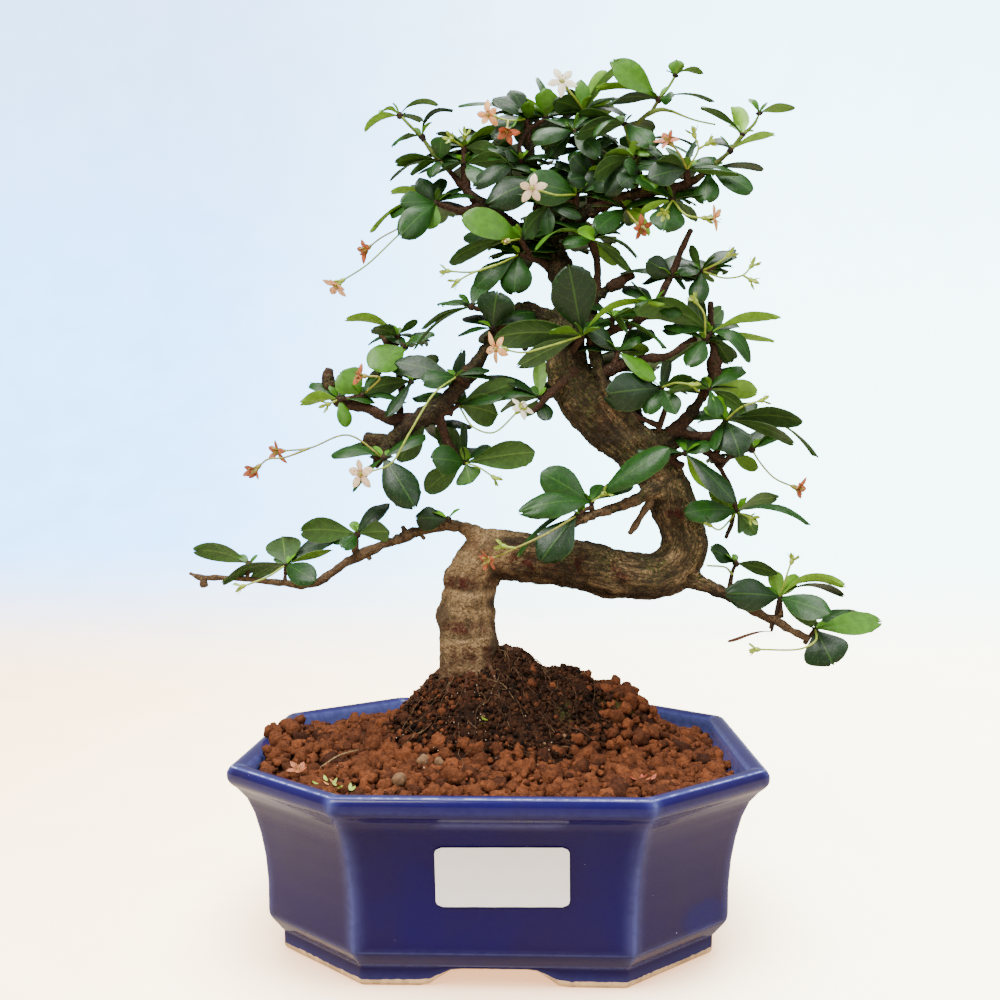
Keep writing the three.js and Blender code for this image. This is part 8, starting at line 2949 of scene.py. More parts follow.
@dataclass
class Leaf:
    """One blade from its base to its tip."""

    base: np.ndarray
    tip: np.ndarray
    normal: np.ndarray
    width: float
    arch: float
    tone: float
    seed: int
    withered: float = 0.0

    @classmethod
    def facing(cls, heart: Point, row: LeafRow, letter: str, seed: int) -> "Leaf":
        """Makes a leaf from its row in the table.

        Args:
            heart: heart of its rosette as seen.
            row: tip, width, face and arch.
            letter: its tone.
            seed: which variation.

        Returns:
            The leaf.
        """
        base = EYE.seen(*heart)
        x, z, depth, width, face, arch = row
        tip = EYE.seen(x, z, depth)
        axis = unit(tip - base)
        to_viewer = unit(np.array((EYE.x, EYE.y, EYE.z)) - base)
        front = unit(to_viewer - axis * np.dot(to_viewer, axis))
        up = np.cross(front, axis)
        if up[2] < 0:
            up = -up
        angle = math.radians(face)
        normal = front * math.cos(angle) + up * math.sin(angle)
        tone = Tone(letter)
        withered = 1.0 if tone is Tone.WITHERED else 0.0
        return cls(base, tip, normal, width, arch, TONE_VALUE[tone], seed, withered)

    def surface(self) -> tuple[np.ndarray, np.ndarray, np.ndarray]:
        """Returns the points of the upper face, their normals and their flat coordinates.

        Returns:
            Three grids of rows from the base to the tip.
        """
        rng = np.random.default_rng(self.seed)
        axis = self.tip - self.base
        length = float(np.linalg.norm(axis))
        rows, columns = next(grid[1:] for grid in LEAF.grids if length < grid[0])
        axis = axis / length
        up = unit(self.normal - axis * np.dot(self.normal, axis))
        side = np.cross(axis, up)
        along = (np.sin(np.linspace(0, 1, rows) * math.pi / 2) ** 1.15)[:, None]
        across = np.linspace(-1, 1, columns)[None, :]
        table = np.array(LEAF.outline)
        fuller = along ** rng.uniform(0.9, 1.35)
        half = np.interp(fuller, table[:, 0], table[:, 1]) * self.width / 2
        teeth = np.abs(np.sin(along * 9.5 * math.pi)) * smooth_step((along - 0.55) / 0.3)
        half = half * (1 - LEAF.tooth * rng.random() * teeth)
        wave = np.cos(rng.uniform(2.0, 3.2) * math.pi * across + rng.uniform(-0.8, 0.8))
        fall = LEAF.tip_fall * self.width / length
        end = 1 - fall * np.abs(across) ** 2.2 + LEAF.notch * wave * rng.random()
        reach = along * (1 + (end - 1) * along**2)
        young = smooth_step((self.tone - 0.5) / 0.4)
        cup = (0.2 * young - 0.2 * (1 - young) + rng.normal(0, 0.08)) * self.width / 2
        twist = rng.normal(0, 0.16) * along
        curl = rng.normal(0.02, 0.05) - 0.5 * self.withered
        ripple = 0.035 * self.width * np.sin(across * 2.4 + along * 9 + rng.uniform(0, 6))
        ripple = ripple * np.abs(across) * along
        lift = self.arch * length * 4 * along * (1 - along) - curl * length * along**3
        lift = lift + cup * across**2 * smooth_step(along * 2.4) + ripple
        lift = lift - 0.22 * np.exp(-((across / 0.1) ** 2)) * smooth_step(along * 5)
        out = half * across
        sideways = out * np.cos(twist) * (1 - 0.35 * self.withered)
        upward = lift + out * np.sin(twist)
        middle = self.base + axis * (length * reach)[..., None]
        points = middle + side * sideways[..., None] + up * upward[..., None]
        step_along = np.gradient(points, axis=0)
        step_across = np.gradient(points, axis=1)
        normals = np.cross(step_across, step_along)
        normals /= np.maximum(np.linalg.norm(normals, axis=-1, keepdims=True), 1e-9)
        if float(np.sum(normals * up)) < 0:
            normals = -normals
        flat = np.stack(np.broadcast_arrays(along, across * 0.5 + 0.5), axis=-1)
        return points, normals, flat

    def patches(self, upper: int, under: int) -> list[Patch]:
        """Returns the two faces of the blade and its thin margin.

        Args:
            upper: number of the upper face's material.
            under: number of the under face's material.

        Returns:
            Three patches.
        """
        points, normals, flat = self.surface()
        rows, columns = points.shape[:2]
        bulge = 1 - 0.6 * np.abs(np.linspace(-1, 1, columns))[None, :, None]
        lower = points - normals * LEAF.thickness * bulge
        faces = grid_faces(rows, columns)
        values = {"tone": self.tone, "withered": self.withered}
        loop = border_loop(rows, columns)
        top, bottom = points.reshape(-1, 3), lower.reshape(-1, 3)
        flats = flat.reshape(-1, 2)
        rim = np.concatenate((bottom[loop], top[loop]))
        rim_flat = np.concatenate((flats[loop], flats[loop]))
        return [
            Patch(top, faces[:, ::-1], upper, values, flats),
            Patch(bottom, faces, under, values, flats),
            Patch(rim, grid_faces(2, len(loop), closed=True), upper, values, rim_flat),
        ]


# Wood


@dataclass(frozen=True)
class WoodMark:
    """A mark on the wood as seen from in front: its place and reach."""

    x: float
    z: float
    reach_x: float
    reach_z: float


@dataclass
class Wood:
    """Trunk and branches with their bark."""

    voxel: float = 0.78
    thick: float = 2.0
    dark_from: float = 226.0
    dark_ramp: float = 30.0
    bend_from: float = 168.0
    bend_ramp: float = 24.0
    # Millimetres of each kind of unevenness; streaks and rings by their size along and across the wood
    streak_size: Point = (15.0, 2.7, 2.7)
    ring_size: Point = (2.4, 15.0, 15.0)
    lump_size: float = 11.0
    knob_size: float = 5.2
    flake_size: float = 3.1
    crumb_size: float = 1.5
    bump_height: float = 1.3
    # Millimetres from the trunk over which a branch takes on its own darkness
    branch_fade: float = 7.0
    # How dark the bark of a branch is; the others are as dark as dark_bark
    pale_branches: tuple[tuple[str, float], ...] = (
        ("root", 0.5), ("lower_left", 0.5), ("lower_right", 0.55), ("centre", 0.4),
        ("middle_left_cut", 0.7),
    )
    dark_bark: float = 0.92
    russet_marks: tuple[WoodMark, ...] = (
        WoodMark(-12, 136, 14, 3.2), WoodMark(-12, 117, 13, 2.6), WoodMark(-10, 106, 12, 4),
        WoodMark(6, 143, 4, 7), WoodMark(20, 144, 4, 6), WoodMark(33, 143, 5, 4),
        WoodMark(50, 141, 4, 5), WoodMark(-8, 150, 6, 4), WoodMark(72, 163, 4, 5),
        WoodMark(64, 182, 3, 4), WoodMark(44, 206, 5, 6), WoodMark(8, 141, 12, 9),
    )
    pit_marks: tuple[WoodMark, ...] = (
        WoodMark(-24, 122, 3, 4), WoodMark(-4, 127, 2.4, 2), WoodMark(-2, 140, 2.5, 3),
        WoodMark(64, 175, 2, 2), WoodMark(2, 152, 7, 2.5), WoodMark(30, 232, 8, 6),
        WoodMark(45, 197, 8, 5), WoodMark(-2, 108, 3, 8),
    )
    bumps: tuple[WoodMark, ...] = (
        WoodMark(-24.5, 121, 3, 4.5), WoodMark(-13, 128, 4, 3), WoodMark(30, 138, 3, 3),
        WoodMark(51, 139.5, 3, 3), WoodMark(69, 191, 4, 3.5), WoodMark(61, 196, 5, 3),
        WoodMark(36, 141, 4, 3), WoodMark(12, 150, 3, 3), WoodMark(78, 152, 2.5, 4),
        WoodMark(-23, 138, 2.5, 4), WoodMark(26, 226, 4, 5), WoodMark(53, 194, 4, 3),
    )

    @staticmethod
    def slim(path: Path, scale: float = 1.0) -> Path:
        """Thins the wood towards the crown, where leaves hide most of it.

        Args:
            path: wood points.
            scale: share of its radius that it keeps below the crown.

        Returns:
            The thinned path.
        """
        def kept(z: float) -> float:
            """Returns the share of its radius that the wood keeps at a height."""
            return scale * (1 - 0.26 * float(smooth_step((z - 245) / 45)))

        return tuple((x, z, depth, radius * kept(z)) for x, z, depth, radius in path)

    def stout(self) -> MeshMaker:
        """Collects the trunk and the stout ends of the branches as overlapping tubes.

        Returns:
            The tubes, not yet one skin.
        """
        maker = MeshMaker("stout_wood")
        maker.add(Spine.through(self.slim(TRUNK), 2.0).tube(40))
        for path in BRANCHES.values():
            stout = list(self.slim(path, 0.88))
            while stout and stout[-1][3] < self.thick:
                stout.pop()
            if len(stout) > 1:
                maker.add(Spine.through(tuple(stout), 1.6).tube(18))
        return maker

    def blended(self) -> tuple[np.ndarray, np.ndarray, np.ndarray]:
        """Melts the stout wood into one skin.

        Returns:
            Points, quads and normals.
        """
        rough = self.stout().build([], smooth=False)
        change = rough.modifiers.new("skin", "REMESH")
        change.mode = "VOXEL"
        change.voxel_size = self.voxel * METRE
        soften = rough.modifiers.new("soften", "SMOOTH")
        soften.factor = 0.5
        soften.iterations = 4
        graph = bpy.context.evaluated_depsgraph_get()
        skin = bpy.data.meshes.new_from_object(rough.evaluated_get(graph))
        points, normals = np.empty(len(skin.vertices) * 3), np.empty(len(skin.vertices) * 3)
        skin.vertices.foreach_get("co", points)
        skin.vertex_normals.foreach_get("vector", normals)
        faces = np.array([tuple(face.vertices) for face in skin.polygons])
        bpy.data.objects.remove(rough)
        bpy.data.meshes.remove(skin)
        return points.reshape(-1, 3) / METRE + PLANT_MIDDLE, faces, normals.reshape(-1, 3)

    def flow(self, points: np.ndarray) -> tuple[np.ndarray, np.ndarray]:
        """Follows the wood.

        Args:
            points: places on its skin.

        Returns:
            For each point its distance along the nearest wood and its place across it, and how dark
            that wood is.
        """
        rows = []
        for name, path in (("trunk", TRUNK), *BRANCHES.items()):
            spine = Spine.through(path, 1.2)
            _, across, third = spine.frames()
            steps = np.linalg.norm(np.diff(spine.points, axis=0), axis=1)
            along = np.concatenate(((0.0,), np.cumsum(steps)))
            dark = np.full(len(along), self.darkness(name))
            rows.append(np.column_stack((spine.points, across, third, along, dark, spine.radii)))
        table = np.concatenate(rows)
        tree = KDTree(len(table))
        for index, row in enumerate(table):
            tree.insert(row[:3], index)
        tree.balance()
        found = np.array([[(index, gap) for _, index, gap in tree.find_n(point, 12)] for point in points])
        numbers = found[..., 0].astype(int)
        closest = np.argmin(found[..., 1] - table[numbers, 11], axis=1)
        nearest = table[numbers[np.arange(len(points)), closest]]
        offset = points - nearest[:, :3]
        forward = np.cross(nearest[:, 3:6], nearest[:, 6:9])
        place = np.column_stack((
            nearest[:, 9] + np.einsum("ij,ij->i", offset, forward),
            np.einsum("ij,ij->i", offset, nearest[:, 3:6]),
            np.einsum("ij,ij->i", offset, nearest[:, 6:9]),
        ))
        trunk = Spine.through(TRUNK, 2.4)
        gaps = np.linalg.norm(points[:, None] - trunk.points[None], axis=2) - trunk.radii[None]
        return place, nearest[:, 10] * smooth_step(gaps.min(axis=1) / self.branch_fade)

    def darkness(self, name: str) -> float:
        """Returns how dark the bark of a branch is; the trunk is pale below and darkens upwards.

        Args:
            name: the branch.

        Returns:
            From 0, pale, to 1, dark.
        """
        if name == "trunk":
            return 0.0
        levels = (level for start, level in self.pale_branches if name.startswith(start))
        return next(levels, self.dark_bark)

    @staticmethod
    def near(points: np.ndarray, marks: tuple[WoodMark, ...]) -> np.ndarray:
        """Returns how near each point is to marks on the viewer's side, from 0 to 1.

        Args:
            points: places on the wood.
            marks: the marks.

        Returns:
            A value for each point.
        """
        closest = np.zeros(len(points))
        for mark in marks:
            target = EYE.seen(mark.x, mark.z, -8)
            away_x, away_z = points[:, 0] - target[0], points[:, 2] - target[2]
            away = np.hypot(away_x / mark.reach_x, away_z / mark.reach_z)
            closest = np.maximum(closest, smooth_step(1.5 - away) * (points[:, 1] < 3))
        return closest

    def bark(self) -> Patch:
        """Roughens the skin of the stout wood and marks how its bark differs from place to place, with
        painted shade on its undersides and in its hollows.

        Returns:
            The skin.
        """
        points, faces, normals = self.blended()
        place, dark = self.flow(points)
        streaks = Grain(32).fractal(place / np.array(self.streak_size), 2)
        rings = Grain(33).value(place / np.array(self.ring_size))
        lumps = Grain(31).fractal(points / self.lump_size, 2)
        flakes = np.abs(Grain(34).fractal(points / self.flake_size, 3))
        crumbs = Grain(36).fractal(points / self.crumb_size, 2)
        upper = smooth_step((points[:, 2] - self.dark_from) / self.dark_ramp)
        rugged = 1 + 0.5 * upper + 0.5 * self.above_bend(points)
        knobs = Grain(37).fractal(points / self.knob_size, 2)
        fine = 0.34 * streaks + 0.26 * rings - 0.5 * flakes + 0.2 * crumbs
        push = 0.6 * lumps + 0.5 * knobs + rugged * fine + 0.2
        push = push + self.bump_height * self.near(points, self.bumps)
        points = points + normals * push[:, None]
        patchy = smooth_step(0.5 + Grain(35).fractal(points / 9, 2))
        level = smooth_step(0.45 + 0.6 * normals[:, 2])
        beyond = smooth_step((points[:, 0] + 2) / 14)
        greenish = smooth_step((points[:, 0] + 4) / 30) * (1 - upper)
        film = level * (0.3 + 0.7 * patchy) * (0.35 + 0.65 * greenish) * (1 - 0.6 * dark)
        mossy = smooth_step((points[:, 2] - 158) / 26) * (1 - 0.5 * dark)
        film = np.clip(film + (0.85 * mossy + 0.3 * beyond) * (0.45 + 0.55 * patchy), 0, 1)
        foot = 0.8 * smooth_step((108 - points[:, 2]) / 12)
        russet = np.maximum(self.near(points, self.russet_marks) * (0.45 + 0.55 * patchy), foot)
        # Painted shade: darker in the hollows of the relief and on faces that look down, as well as at the
        # pits
        hollow = smooth_step((flakes - 0.75) / 0.7)
        underside_shade = 0.55 * smooth_step(-0.2 - normals[:, 2])
        pit = np.maximum.reduce([0.75 * hollow, underside_shade, 0.8 * self.near(points, self.pit_marks)])
        high = self.above_bend(points)
        blotches = Grain(38).fractal(points / 6.5, 2)
        low = 1 - beyond
        grit = Grain(39).value(points / 0.9)
        layer = smooth_step(0.64 - 0.36 * beyond - 0.2 * high - 0.3 * dark + (0.3 + 0.6 * beyond) * streaks
                            + (0.14 + 0.26 * low) * rings + 0.28 * blotches + 0.08 * grit)
        twig = np.maximum(dark, upper * 0.95)
        values = {"pit": pit, "russet": russet, "film": film, "twig": twig, "layer": layer}
        values.update(zip(("along", "side", "depth"), place.T))
        values["split"] = 0.25 + 0.75 * np.maximum(beyond, upper)
        return Patch(points, faces, 0, values)

    def above_bend(self, points: np.ndarray) -> np.ndarray:
        """Returns how far each point is above the lower bend of the trunk, from 0 to 1."""
        return smooth_step((points[:, 2] - self.bend_from) / self.bend_ramp)

    def build(self) -> bpy.types.Object:
        """Builds and dresses the wood.

        Returns:
            The finished piece.
        """
        maker = MeshMaker("trunk_bark")
        maker.add(self.bark())
        for number, (name, path) in enumerate(BRANCHES.items()):
            path = self.slim(path, 0.9)
            thin = [index for index, point in enumerate(path) if point[3] < self.thick + 0.5]
            if thin and len(path[max(0, thin[0] - 1):]) > 1:
                sleeve = Spine.through(path[max(0, thin[0] - 1):], 0.9)
                looks = {"twig": self.darkness(name), "pit": 0.1, "layer": 0.5}
                maker.add(sleeve.tube(12, relief=0.3, seed=60 + number, **looks))
        return hand_over(maker.build([BARK.material()]), "bark", "trunk")


# Shoots


YOUNG_SHOOTS = ("crown_left_shoot", "crown_right_shoot", "crown_right_tip")
# Withered leaf that hangs from a shoot's heart: the shoot, the leaf's foot as seen, and the leaf
HANGING_LEAF = ("lower_right_middle", (111.8, 115.8, -12), (98.8, 105.8, -12, 5.5, 110, 0.26))


# Numbers of a shoot's materials after the two faces of its leaves
TWIG_BARK, STALK_GREEN, STALK_PETAL = 2, 3, 4
TWIG_SIDES = 9
STALK_RADIUS = 0.42
# Distance beyond the stalk, tilt towards the viewer, radius, age and how crumpled
STALK_BLOSSOMS = {
    StalkEnd.OPEN: (1.6, 0.8, 4.2, 0.08, 0.1),
    StalkEnd.WITHERED: (1.2, 0.9, 3.9, 0.86, 0.8),
}
# Height above which a heart is crowded, and its half-grown and tiny leaves
CROWDING = ((262.0, 11, 4), (168.0, 4, 2), (-math.inf, 0, 2))


def crowding(place: np.ndarray) -> tuple[int, int]:
    """Returns how many half-grown and how many tiny leaves crowd a heart, by where it is."""
    return next(counts for height, *counts in CROWDING if place[2] > height)


def crowd_leaves(heart: Point, seed: int, young: bool) -> list[Leaf]:
    """Grows the small leaves of a rosette, behind and between its large ones.

    Args:
        heart: heart of the rosette as seen.
        seed: which variation.
        young: whether it is a young shoot, which has only its bud leaves.

    Returns:
        The leaves.
    """
    rng = np.random.default_rng(seed)
    base = EYE.seen(*heart)
    half_grown, tiny = (0, 2) if young else crowding(base)
    made = []
    start = rng.uniform(0, 2 * math.pi)
    skyward = np.array((0.0, -0.5, 1.0))
    for index in range(half_grown + tiny):
        large = index < half_grown
        turn = start + index * GOLDEN_ANGLE
        side, back = math.cos(turn), math.sin(turn)
        if large:
            back = abs(back) * 0.8 + 0.1
        way = unit(np.array((side, back, rng.uniform(-0.15, 0.7) if large else rng.uniform(0.4, 1.6))))
        length = rng.uniform(13, 22) if large else rng.uniform(4, 8)
        width = length * rng.uniform(0.5, 0.62)
        normal = unit(skyward - way * np.dot(skyward, way))
        tone = rng.uniform(0.04, 0.42) if large else rng.uniform(0.45, 0.85)
        made.append(Leaf(base, base + way * length, normal, width, 0.1, float(tone), seed + index))
    return made


def twig_knob(place: np.ndarray, ends: tuple[Point, Point], radii: Point, twig: float) -> Patch:
    """Returns a knob of bark where leaves spring.

    Args:
        place: its middle.
        ends: how far its two ends lie from its middle.
        radii: its radius at one end, in the middle and at the other end.
        twig: how dark it is.

    Returns:
        The knob.
    """
    knots = np.array([place + np.array(ends[0]), place, place + np.array(ends[1])])
    spine = Spine.joining(knots, np.array(radii), 0.7)
    return spine.tube(TWIG_SIDES, relief=0.2, material=TWIG_BARK, twig=twig)


@dataclass
class Shoot:
    """One leaf shoot of the front of the tree."""

    name: str
    row: ShootRow
    number: int

    def leaves(self) -> list[Leaf]:
        """Returns the leaves of all its rosettes.

        Returns:
            The leaves.
        """
        made = []
        for order, (heart, tones, rows) in enumerate(self.row.rosettes):
            for index, (row, letter) in enumerate(zip(rows, tones)):
                made.append(Leaf.facing(heart, row, letter, self.number * 1000 + order * 100 + index))
            made += crowd_leaves(heart, 50000 + self.number * 1000 + order * 100, self.name in YOUNG_SHOOTS)
        if self.name == HANGING_LEAF[0]:
            made.append(Leaf.facing(HANGING_LEAF[1], HANGING_LEAF[2], Tone.WITHERED.value, self.number))
        return made

    def twigs(self) -> list[Patch]:
        """Returns its twigs and the knobbly heart of each rosette.

        Returns:
            The twigs and the hearts.
        """
        made = []
        knots = [point for stem in self.row.stems for point in stem]
        for index, stem in enumerate(self.row.stems):
            spine = Spine.through(stem, 1.1)
            if index == 0:
                into_wood = spine.points[0] - unit(spine.points[1] - spine.points[0]) * 2.6
                points = np.concatenate((into_wood[None], spine.points))
                spine = Spine(points, np.concatenate((spine.radii[:1], spine.radii)))
            is_young = self.name in YOUNG_SHOOTS
            spine = Spine(spine.points, spine.radii * (0.72 if is_young else 0.9))
            looks = {"material": TWIG_BARK, "twig": 0.9, "layer": 0.5}
            tube = spine.tube(TWIG_SIDES, relief=0.22, seed=self.number + index, **looks)
            if is_young:
                ageing = np.concatenate(((0.0,), np.linspace(0.15, 1.0, len(spine.points)), (1.0,)))
                tube.values["young"] = np.concatenate((np.repeat(ageing, TWIG_SIDES), (0.0, 1.0)))
            made.append(tube)
        looks = {"relief": 0.2, "material": TWIG_BARK, "twig": 0.9}
        if self.name == HANGING_LEAF[0]:
            foot = HANGING_LEAF[1] + (0.6,)
            heart = self.row.rosettes[0][0]
            made.append(Spine.through((heart + (0.9,), foot), 1.0).tube(7, **looks))
        for heart, _, _ in self.row.rosettes:
            place = np.array(heart)
            foot = min(knots, key=lambda knot: float(np.linalg.norm(np.array(knot[:3]) - place)))
            if np.linalg.norm(place - np.array(foot[:3])) > 0.3:
                path = (foot[:3] + (1.2,), tuple(heart) + (1.5,))
                made.append(Spine.through(path, 0.8).tube(TWIG_SIDES, **looks))
            else:
                made.append(twig_knob(EYE.seen(*heart), ((0, 0, -1.2), (0, 0, 1.2)), (1.1, 1.6, 0.9), 0.6))
        return made

    def stalk_parts(self, kind: StalkEnd, radius: float, path: tuple[Point, ...], seed: int) -> list[Patch]:
        """Returns one flower stalk with what it carries.

        Args:
            kind: what the stalk carries.
            radius: radius at its foot.
            path: its points as seen.
            seed: which variation.

        Returns:
            The stalk and what it carries.
        """
        hearts = [heart for heart, _, _ in self.row.rosettes]
        start = path[0] + (radius,)
        for heart in hearts:
            if np.linalg.norm(np.array(heart) - np.array(start[:3])) < 4.5:
                start = tuple(heart) + (0.45,)
        thin = (start,) + tuple(point + (STALK_RADIUS,) for point in path[1:])
        spine = Spine.through(thin, 1.5)
        age = 0.1 if kind is not StalkEnd.WITHERED else 0.45
        made = [spine.tube(5, material=STALK_GREEN, tone=age)]
        axis = unit(spine.points[-1] - spine.points[-3])
        end = spine.points[-1] + axis * 0.6
        if kind is StalkEnd.BARE:
            return made
        spread = {StalkEnd.CALYX: 0.75, StalkEnd.BUD: 0.25}.get(kind, 0.5)
        worn = 0.55 if kind is StalkEnd.WITHERED else 0.05
        made += sepal_cup(end, axis, 3.7, spread, worn, STALK_GREEN)
        if kind is StalkEnd.BUD:
            knots = np.array([end, end + axis * 1.6, end + axis * 3.0])
            bud = Spine.joining(knots, np.array((0.8, 1.1, 0.4)), 0.6)
            made.append(bud.tube(8, material=STALK_PETAL, tone=0.25))
        if kind in STALK_BLOSSOMS:
            reach, tilt, size, worn, crumpled = STALK_BLOSSOMS[kind]
            looks = axis + np.array((0, -tilt, 0))
            blossom = Blossom(end + axis * reach, looks, size, worn, crumpled, seed)
            made += blossom.patches(STALK_PETAL, STALK_GREEN)
        return made

    def build(self) -> bpy.types.Object:
        """Builds and dresses the shoot.

        Returns:
            The finished piece.
        """
        maker = MeshMaker(f"{self.name}_leaves")
        for leaf in self.leaves():
            maker.add(*leaf.patches(0, 1))
        maker.add(*self.twigs())
        for index, (kind, radius, path) in enumerate(self.row.stalks):
            maker.add(*self.stalk_parts(StalkEnd(kind), radius, path, self.number * 10 + index))
        return hand_over(maker.build(shoot_materials()), "leaf", self.name)


def shoot_materials() -> list[bpy.types.Material]:
    """Returns the materials of a shoot, in the order of their numbers."""
    return [finish.material() for finish in (LEAF_TOP, LEAF_UNDER, BARK, STEM, PETAL)]


@dataclass
class BackShoot:
    """One shoot behind the trunk, its leaves set in spirals."""

    name: str
    row: BackRow
    number: int
    length: float = 22.0
    width: float = 11.5

    def leaves(self) -> list[Leaf]:
        """Returns the leaves round each heart.

        Returns:
            The leaves.
        """
        made = []
        rng = np.random.default_rng(700 + self.number)
        for heart, count in self.row.hearts:
            base = EYE.seen(*heart)
            for index in range(count + 6):
                extra = index >= count
                turn = math.radians(self.number * 31) + index * GOLDEN_ANGLE
                share = min(1.0, index / count)
                rise = 0.15 + 0.5 * share + (rng.uniform(-0.3, 0.5) if extra else 0)
                length = self.length * (1 - 0.25 * share) * (0.85 if extra else 1)
                way = unit(np.array((math.cos(turn), math.sin(turn) + 0.35, rise)))
                normal = unit(np.array((0.0, 0.0, 1.0)) - way * way[2])
                tone = float(rng.choice((0.06, 0.2, 0.32, 0.5)))
                seed = 90000 + self.number * 100 + index
                width = self.width * rng.uniform(0.8, 1.05)
                made.append(Leaf(base, base + way * length, normal, width, 0.1, tone, seed))
        return made

    def build(self) -> bpy.types.Object:
        """Builds and dresses the shoot.

        Returns:
            The finished piece.
        """
        maker = MeshMaker(f"{self.name}_leaves")
        for leaf in self.leaves():
            maker.add(*leaf.patches(0, 1))
        looks = {"relief": 0.18, "material": TWIG_BARK, "seed": self.number, "twig": 0.8}
        maker.add(Spine.through(self.row.stem, 1.2).tube(TWIG_SIDES, **looks))
        for heart, _ in self.row.hearts:
            ends = ((0, -0.6, -1.4), (0, 0.4, 1.2))
            maker.add(twig_knob(EYE.seen(*heart), ends, (1.2, 1.7, 0.9), 0.7))
        return hand_over(maker.build(shoot_materials()), "leaf", self.name)


@dataclass(frozen=True)
class FlowerRow:
    """An open flower that is a piece of its own: its stalk, direction, reach and age."""

    shoot: str
    stalk: int
    looks: Point
    radius: float
    age: float


FLOWERS = {
    "petals_crown_white": FlowerRow("crown_top", 0, (0.05, -1, 0.1), 5.0, 0.0),
    "petals_crown_left": FlowerRow("crown_top_left", 0, (-0.35, -1, -0.1), 4.2, 0.62),
    "petals_crown_middle": FlowerRow("crown_inner", 0, (-0.1, -1, -0.25), 4.6, 0.2),
    "petals_centre": FlowerRow("front_leaf", 0, (-0.9, -0.6, -0.1), 4.8, 0.42),
    "petals_left_low": FlowerRow("left_branch_front", 0, (-0.6, -0.8, 0), 5.4, 0.24),
    "petals_left": FlowerRow("crown_left_group", 0, (-0.4, -0.5, -0.8), 5.0, 0.34),
    "petals_right": FlowerRow("crown_right_under", 0, (0.9, -0.5, -0.1), 4.8, 0.5),
}


def build_flower(name: str, row: FlowerRow, number: int) -> bpy.types.Object:
    """Builds one open flower at the end of its stalk.

    Args:
        name: its piece.
        row: its stalk and looks.
        number: which variation.

    Returns:
        The finished piece.
    """
    *_, path = SHOOTS[row.shoot].stalks[row.stalk]
    end, before = EYE.seen(*path[-1]), EYE.seen(*path[-2])
    looks = unit(np.array(row.looks, dtype=float))
    centre = end + unit(end - before) * 2.5 + looks * (0.25 * row.radius + 0.3)
    maker = MeshMaker(f"{name}_flower")
    blossom = Blossom(centre, looks, row.radius, row.age, 0.12 + 0.5 * row.age, 300 + number)
    maker.add(*blossom.patches(0, 1))
    slot = "petal_white" if row.age == 0 else "petal_peach"
    return hand_over(maker.build([PETAL.material(), STEM.material()]), slot, name)


FALLEN_FLOWER = (-74.0, -52.0)


def build_fallen_flower() -> bpy.types.Object:
    """Builds the flower that lies on the granules.

    Returns:
        The finished piece.
    """
    x, y = FALLEN_FLOWER
    centre = np.array((x, y, GROUND.at(x, y) + 3.4))
    maker = MeshMaker("fallen_flower_petals")
    maker.add(*Blossom(centre, np.array((0.1, -0.4, 1.0)), 3.4, 0.84, 0.6, 377).patches(0, 1))
    return hand_over(maker.build([PETAL.material(), STEM.material()]), "petal_peach", "fallen_flower")


# Studio


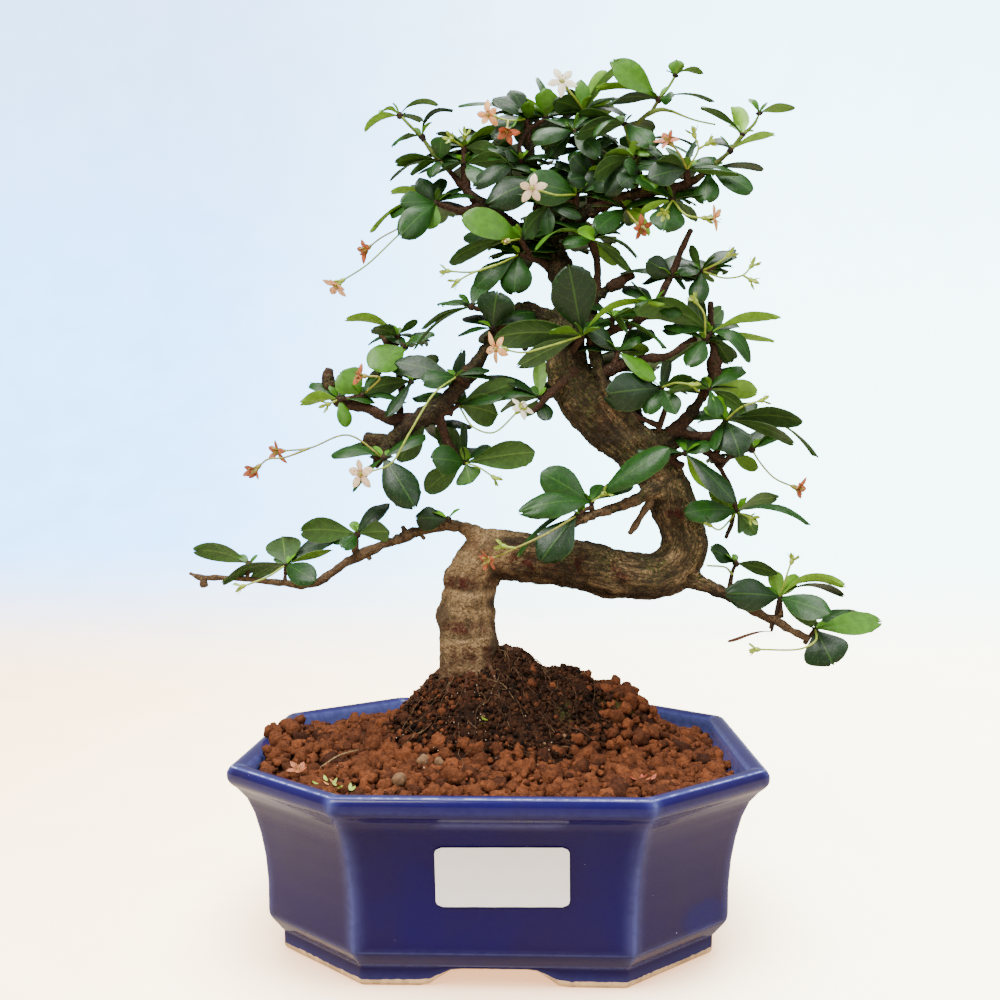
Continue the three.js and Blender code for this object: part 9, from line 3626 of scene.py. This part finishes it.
@dataclass
class Studio:
    """Camera, light and pale ground."""

    focal: float = 41.4
    # The camera's place in metres, and its tilt and turn in degrees
    eye: Point = (0.0011, -0.478, 0.1715)
    tilt: float = 89.81
    turn: float = 1.85
    # Metres: the ground in front of the pot and behind it, its bend, the wall above it, and half its width
    reach: float = 2.4
    behind: float = 0.5
    bend: float = 0.7
    lift: float = 1.9
    half_width: float = 4.0
    aim: Point = (-0.004, 0.0, 0.17)
    # Place, watts, width and colour of each light
    lights: tuple[tuple[str, Point, float, float, Point], ...] = (
        ("key", (-0.5, -0.7, 1.2), 38.0, 0.7, (1.0, 0.98, 0.95)),
        ("fill", (0.95, -0.7, 0.75), 13.0, 1.0, (0.97, 0.98, 1.0)),
        ("top", (0.1, 0.15, 1.3), 28.0, 0.8, (1.0, 1.0, 1.0)),
    )
    room: Colour = (1.0, 0.95, 0.93, 1.0)
    room_strength: float = 0.4

    def build_sweep(self) -> None:
        """Builds the seamless ground that rises behind the tree."""
        profile = [(-self.reach, 0.0), (self.behind, 0.0)]
        for angle in np.linspace(0, math.pi / 2, 13)[1:]:
            profile.append((self.behind + self.bend * math.sin(angle), self.bend * (1 - math.cos(angle))))
        profile.append((self.behind + self.bend, self.bend + self.lift))
        across = np.linspace(-self.half_width, self.half_width, 9)
        for name, rows in (("ground_floor", profile[:2]), ("ground_wall", profile[1:])):
            points = np.array([(x, y, z) for y, z in rows for x in across]) / METRE
            maker = MeshMaker(name)
            maker.add(Patch(points, grid_faces(len(rows), len(across))))
            sheet = maker.build([BACKDROP.material()])
            if name == "ground_wall":
                sheet.visible_diffuse = False
                sheet.visible_glossy = False

    def add_light(self, name: str, place: Point, power: float, size: float, colour: Point) -> None:
        """Adds a soft light that points at the tree.

        Args:
            name: its name.
            place: where it stands, in metres.
            power: watts.
            size: its width in metres.
            colour: its colour.
        """
        data = bpy.data.lights.new(name, "AREA")
        data.shape = "SQUARE"
        data.size = size
        data.energy = power
        data.color = colour
        lamp = bpy.data.objects.new(name, data)
        lamp.location = place
        way = Vector(self.aim) - Vector(place)
        lamp.rotation_euler = way.to_track_quat("-Z", "Y").to_euler()
        bpy.context.scene.collection.objects.link(lamp)

    def build_camera(self) -> None:
        """Sets the camera that the photograph was taken from."""
        data = bpy.data.cameras.new("front")
        data.lens = self.focal
        data.sensor_width = 36.0
        data.clip_start = 0.01
        camera = bpy.data.objects.new("front", data)
        camera.location = self.eye
        camera.rotation_euler = (math.radians(self.tilt), 0.0, math.radians(self.turn))
        bpy.context.scene.collection.objects.link(camera)
        bpy.context.scene.camera = camera

    def build(self) -> None:
        """Sets up ground, light and camera."""
        self.build_sweep()
        for light in self.lights:
            self.add_light(*light)
        world = bpy.data.worlds.new("soft_room")
        world.use_nodes = True
        background = world.node_tree.nodes["Background"]
        background.inputs[0].default_value = self.room
        background.inputs[1].default_value = self.room_strength
        bpy.context.scene.world = world
        self.build_camera()


def main() -> None:
    """Builds every piece in order, then the studio."""
    logging.basicConfig(level=logging.INFO, format="%(name)s %(message)s", stream=sys.stdout)
    pot = GlazedPot()
    pot.build()
    PaperLabel(pot).build()
    DrainScreen().build()
    soil = Soil(pot)
    soil.build_bed()
    soil.build_root_ball()
    Wood().build()
    for number, (name, row) in enumerate(SHOOTS.items()):
        Shoot(name, row, number).build()
    for number, (name, row) in enumerate(BACK_SHOOTS.items()):
        BackShoot(name, row, len(SHOOTS) + number).build()
    for number, (name, row) in enumerate(FLOWERS.items()):
        build_flower(name, row, number)
    build_fallen_flower()
    Studio().build()


if __name__ == "__main__":
    main()
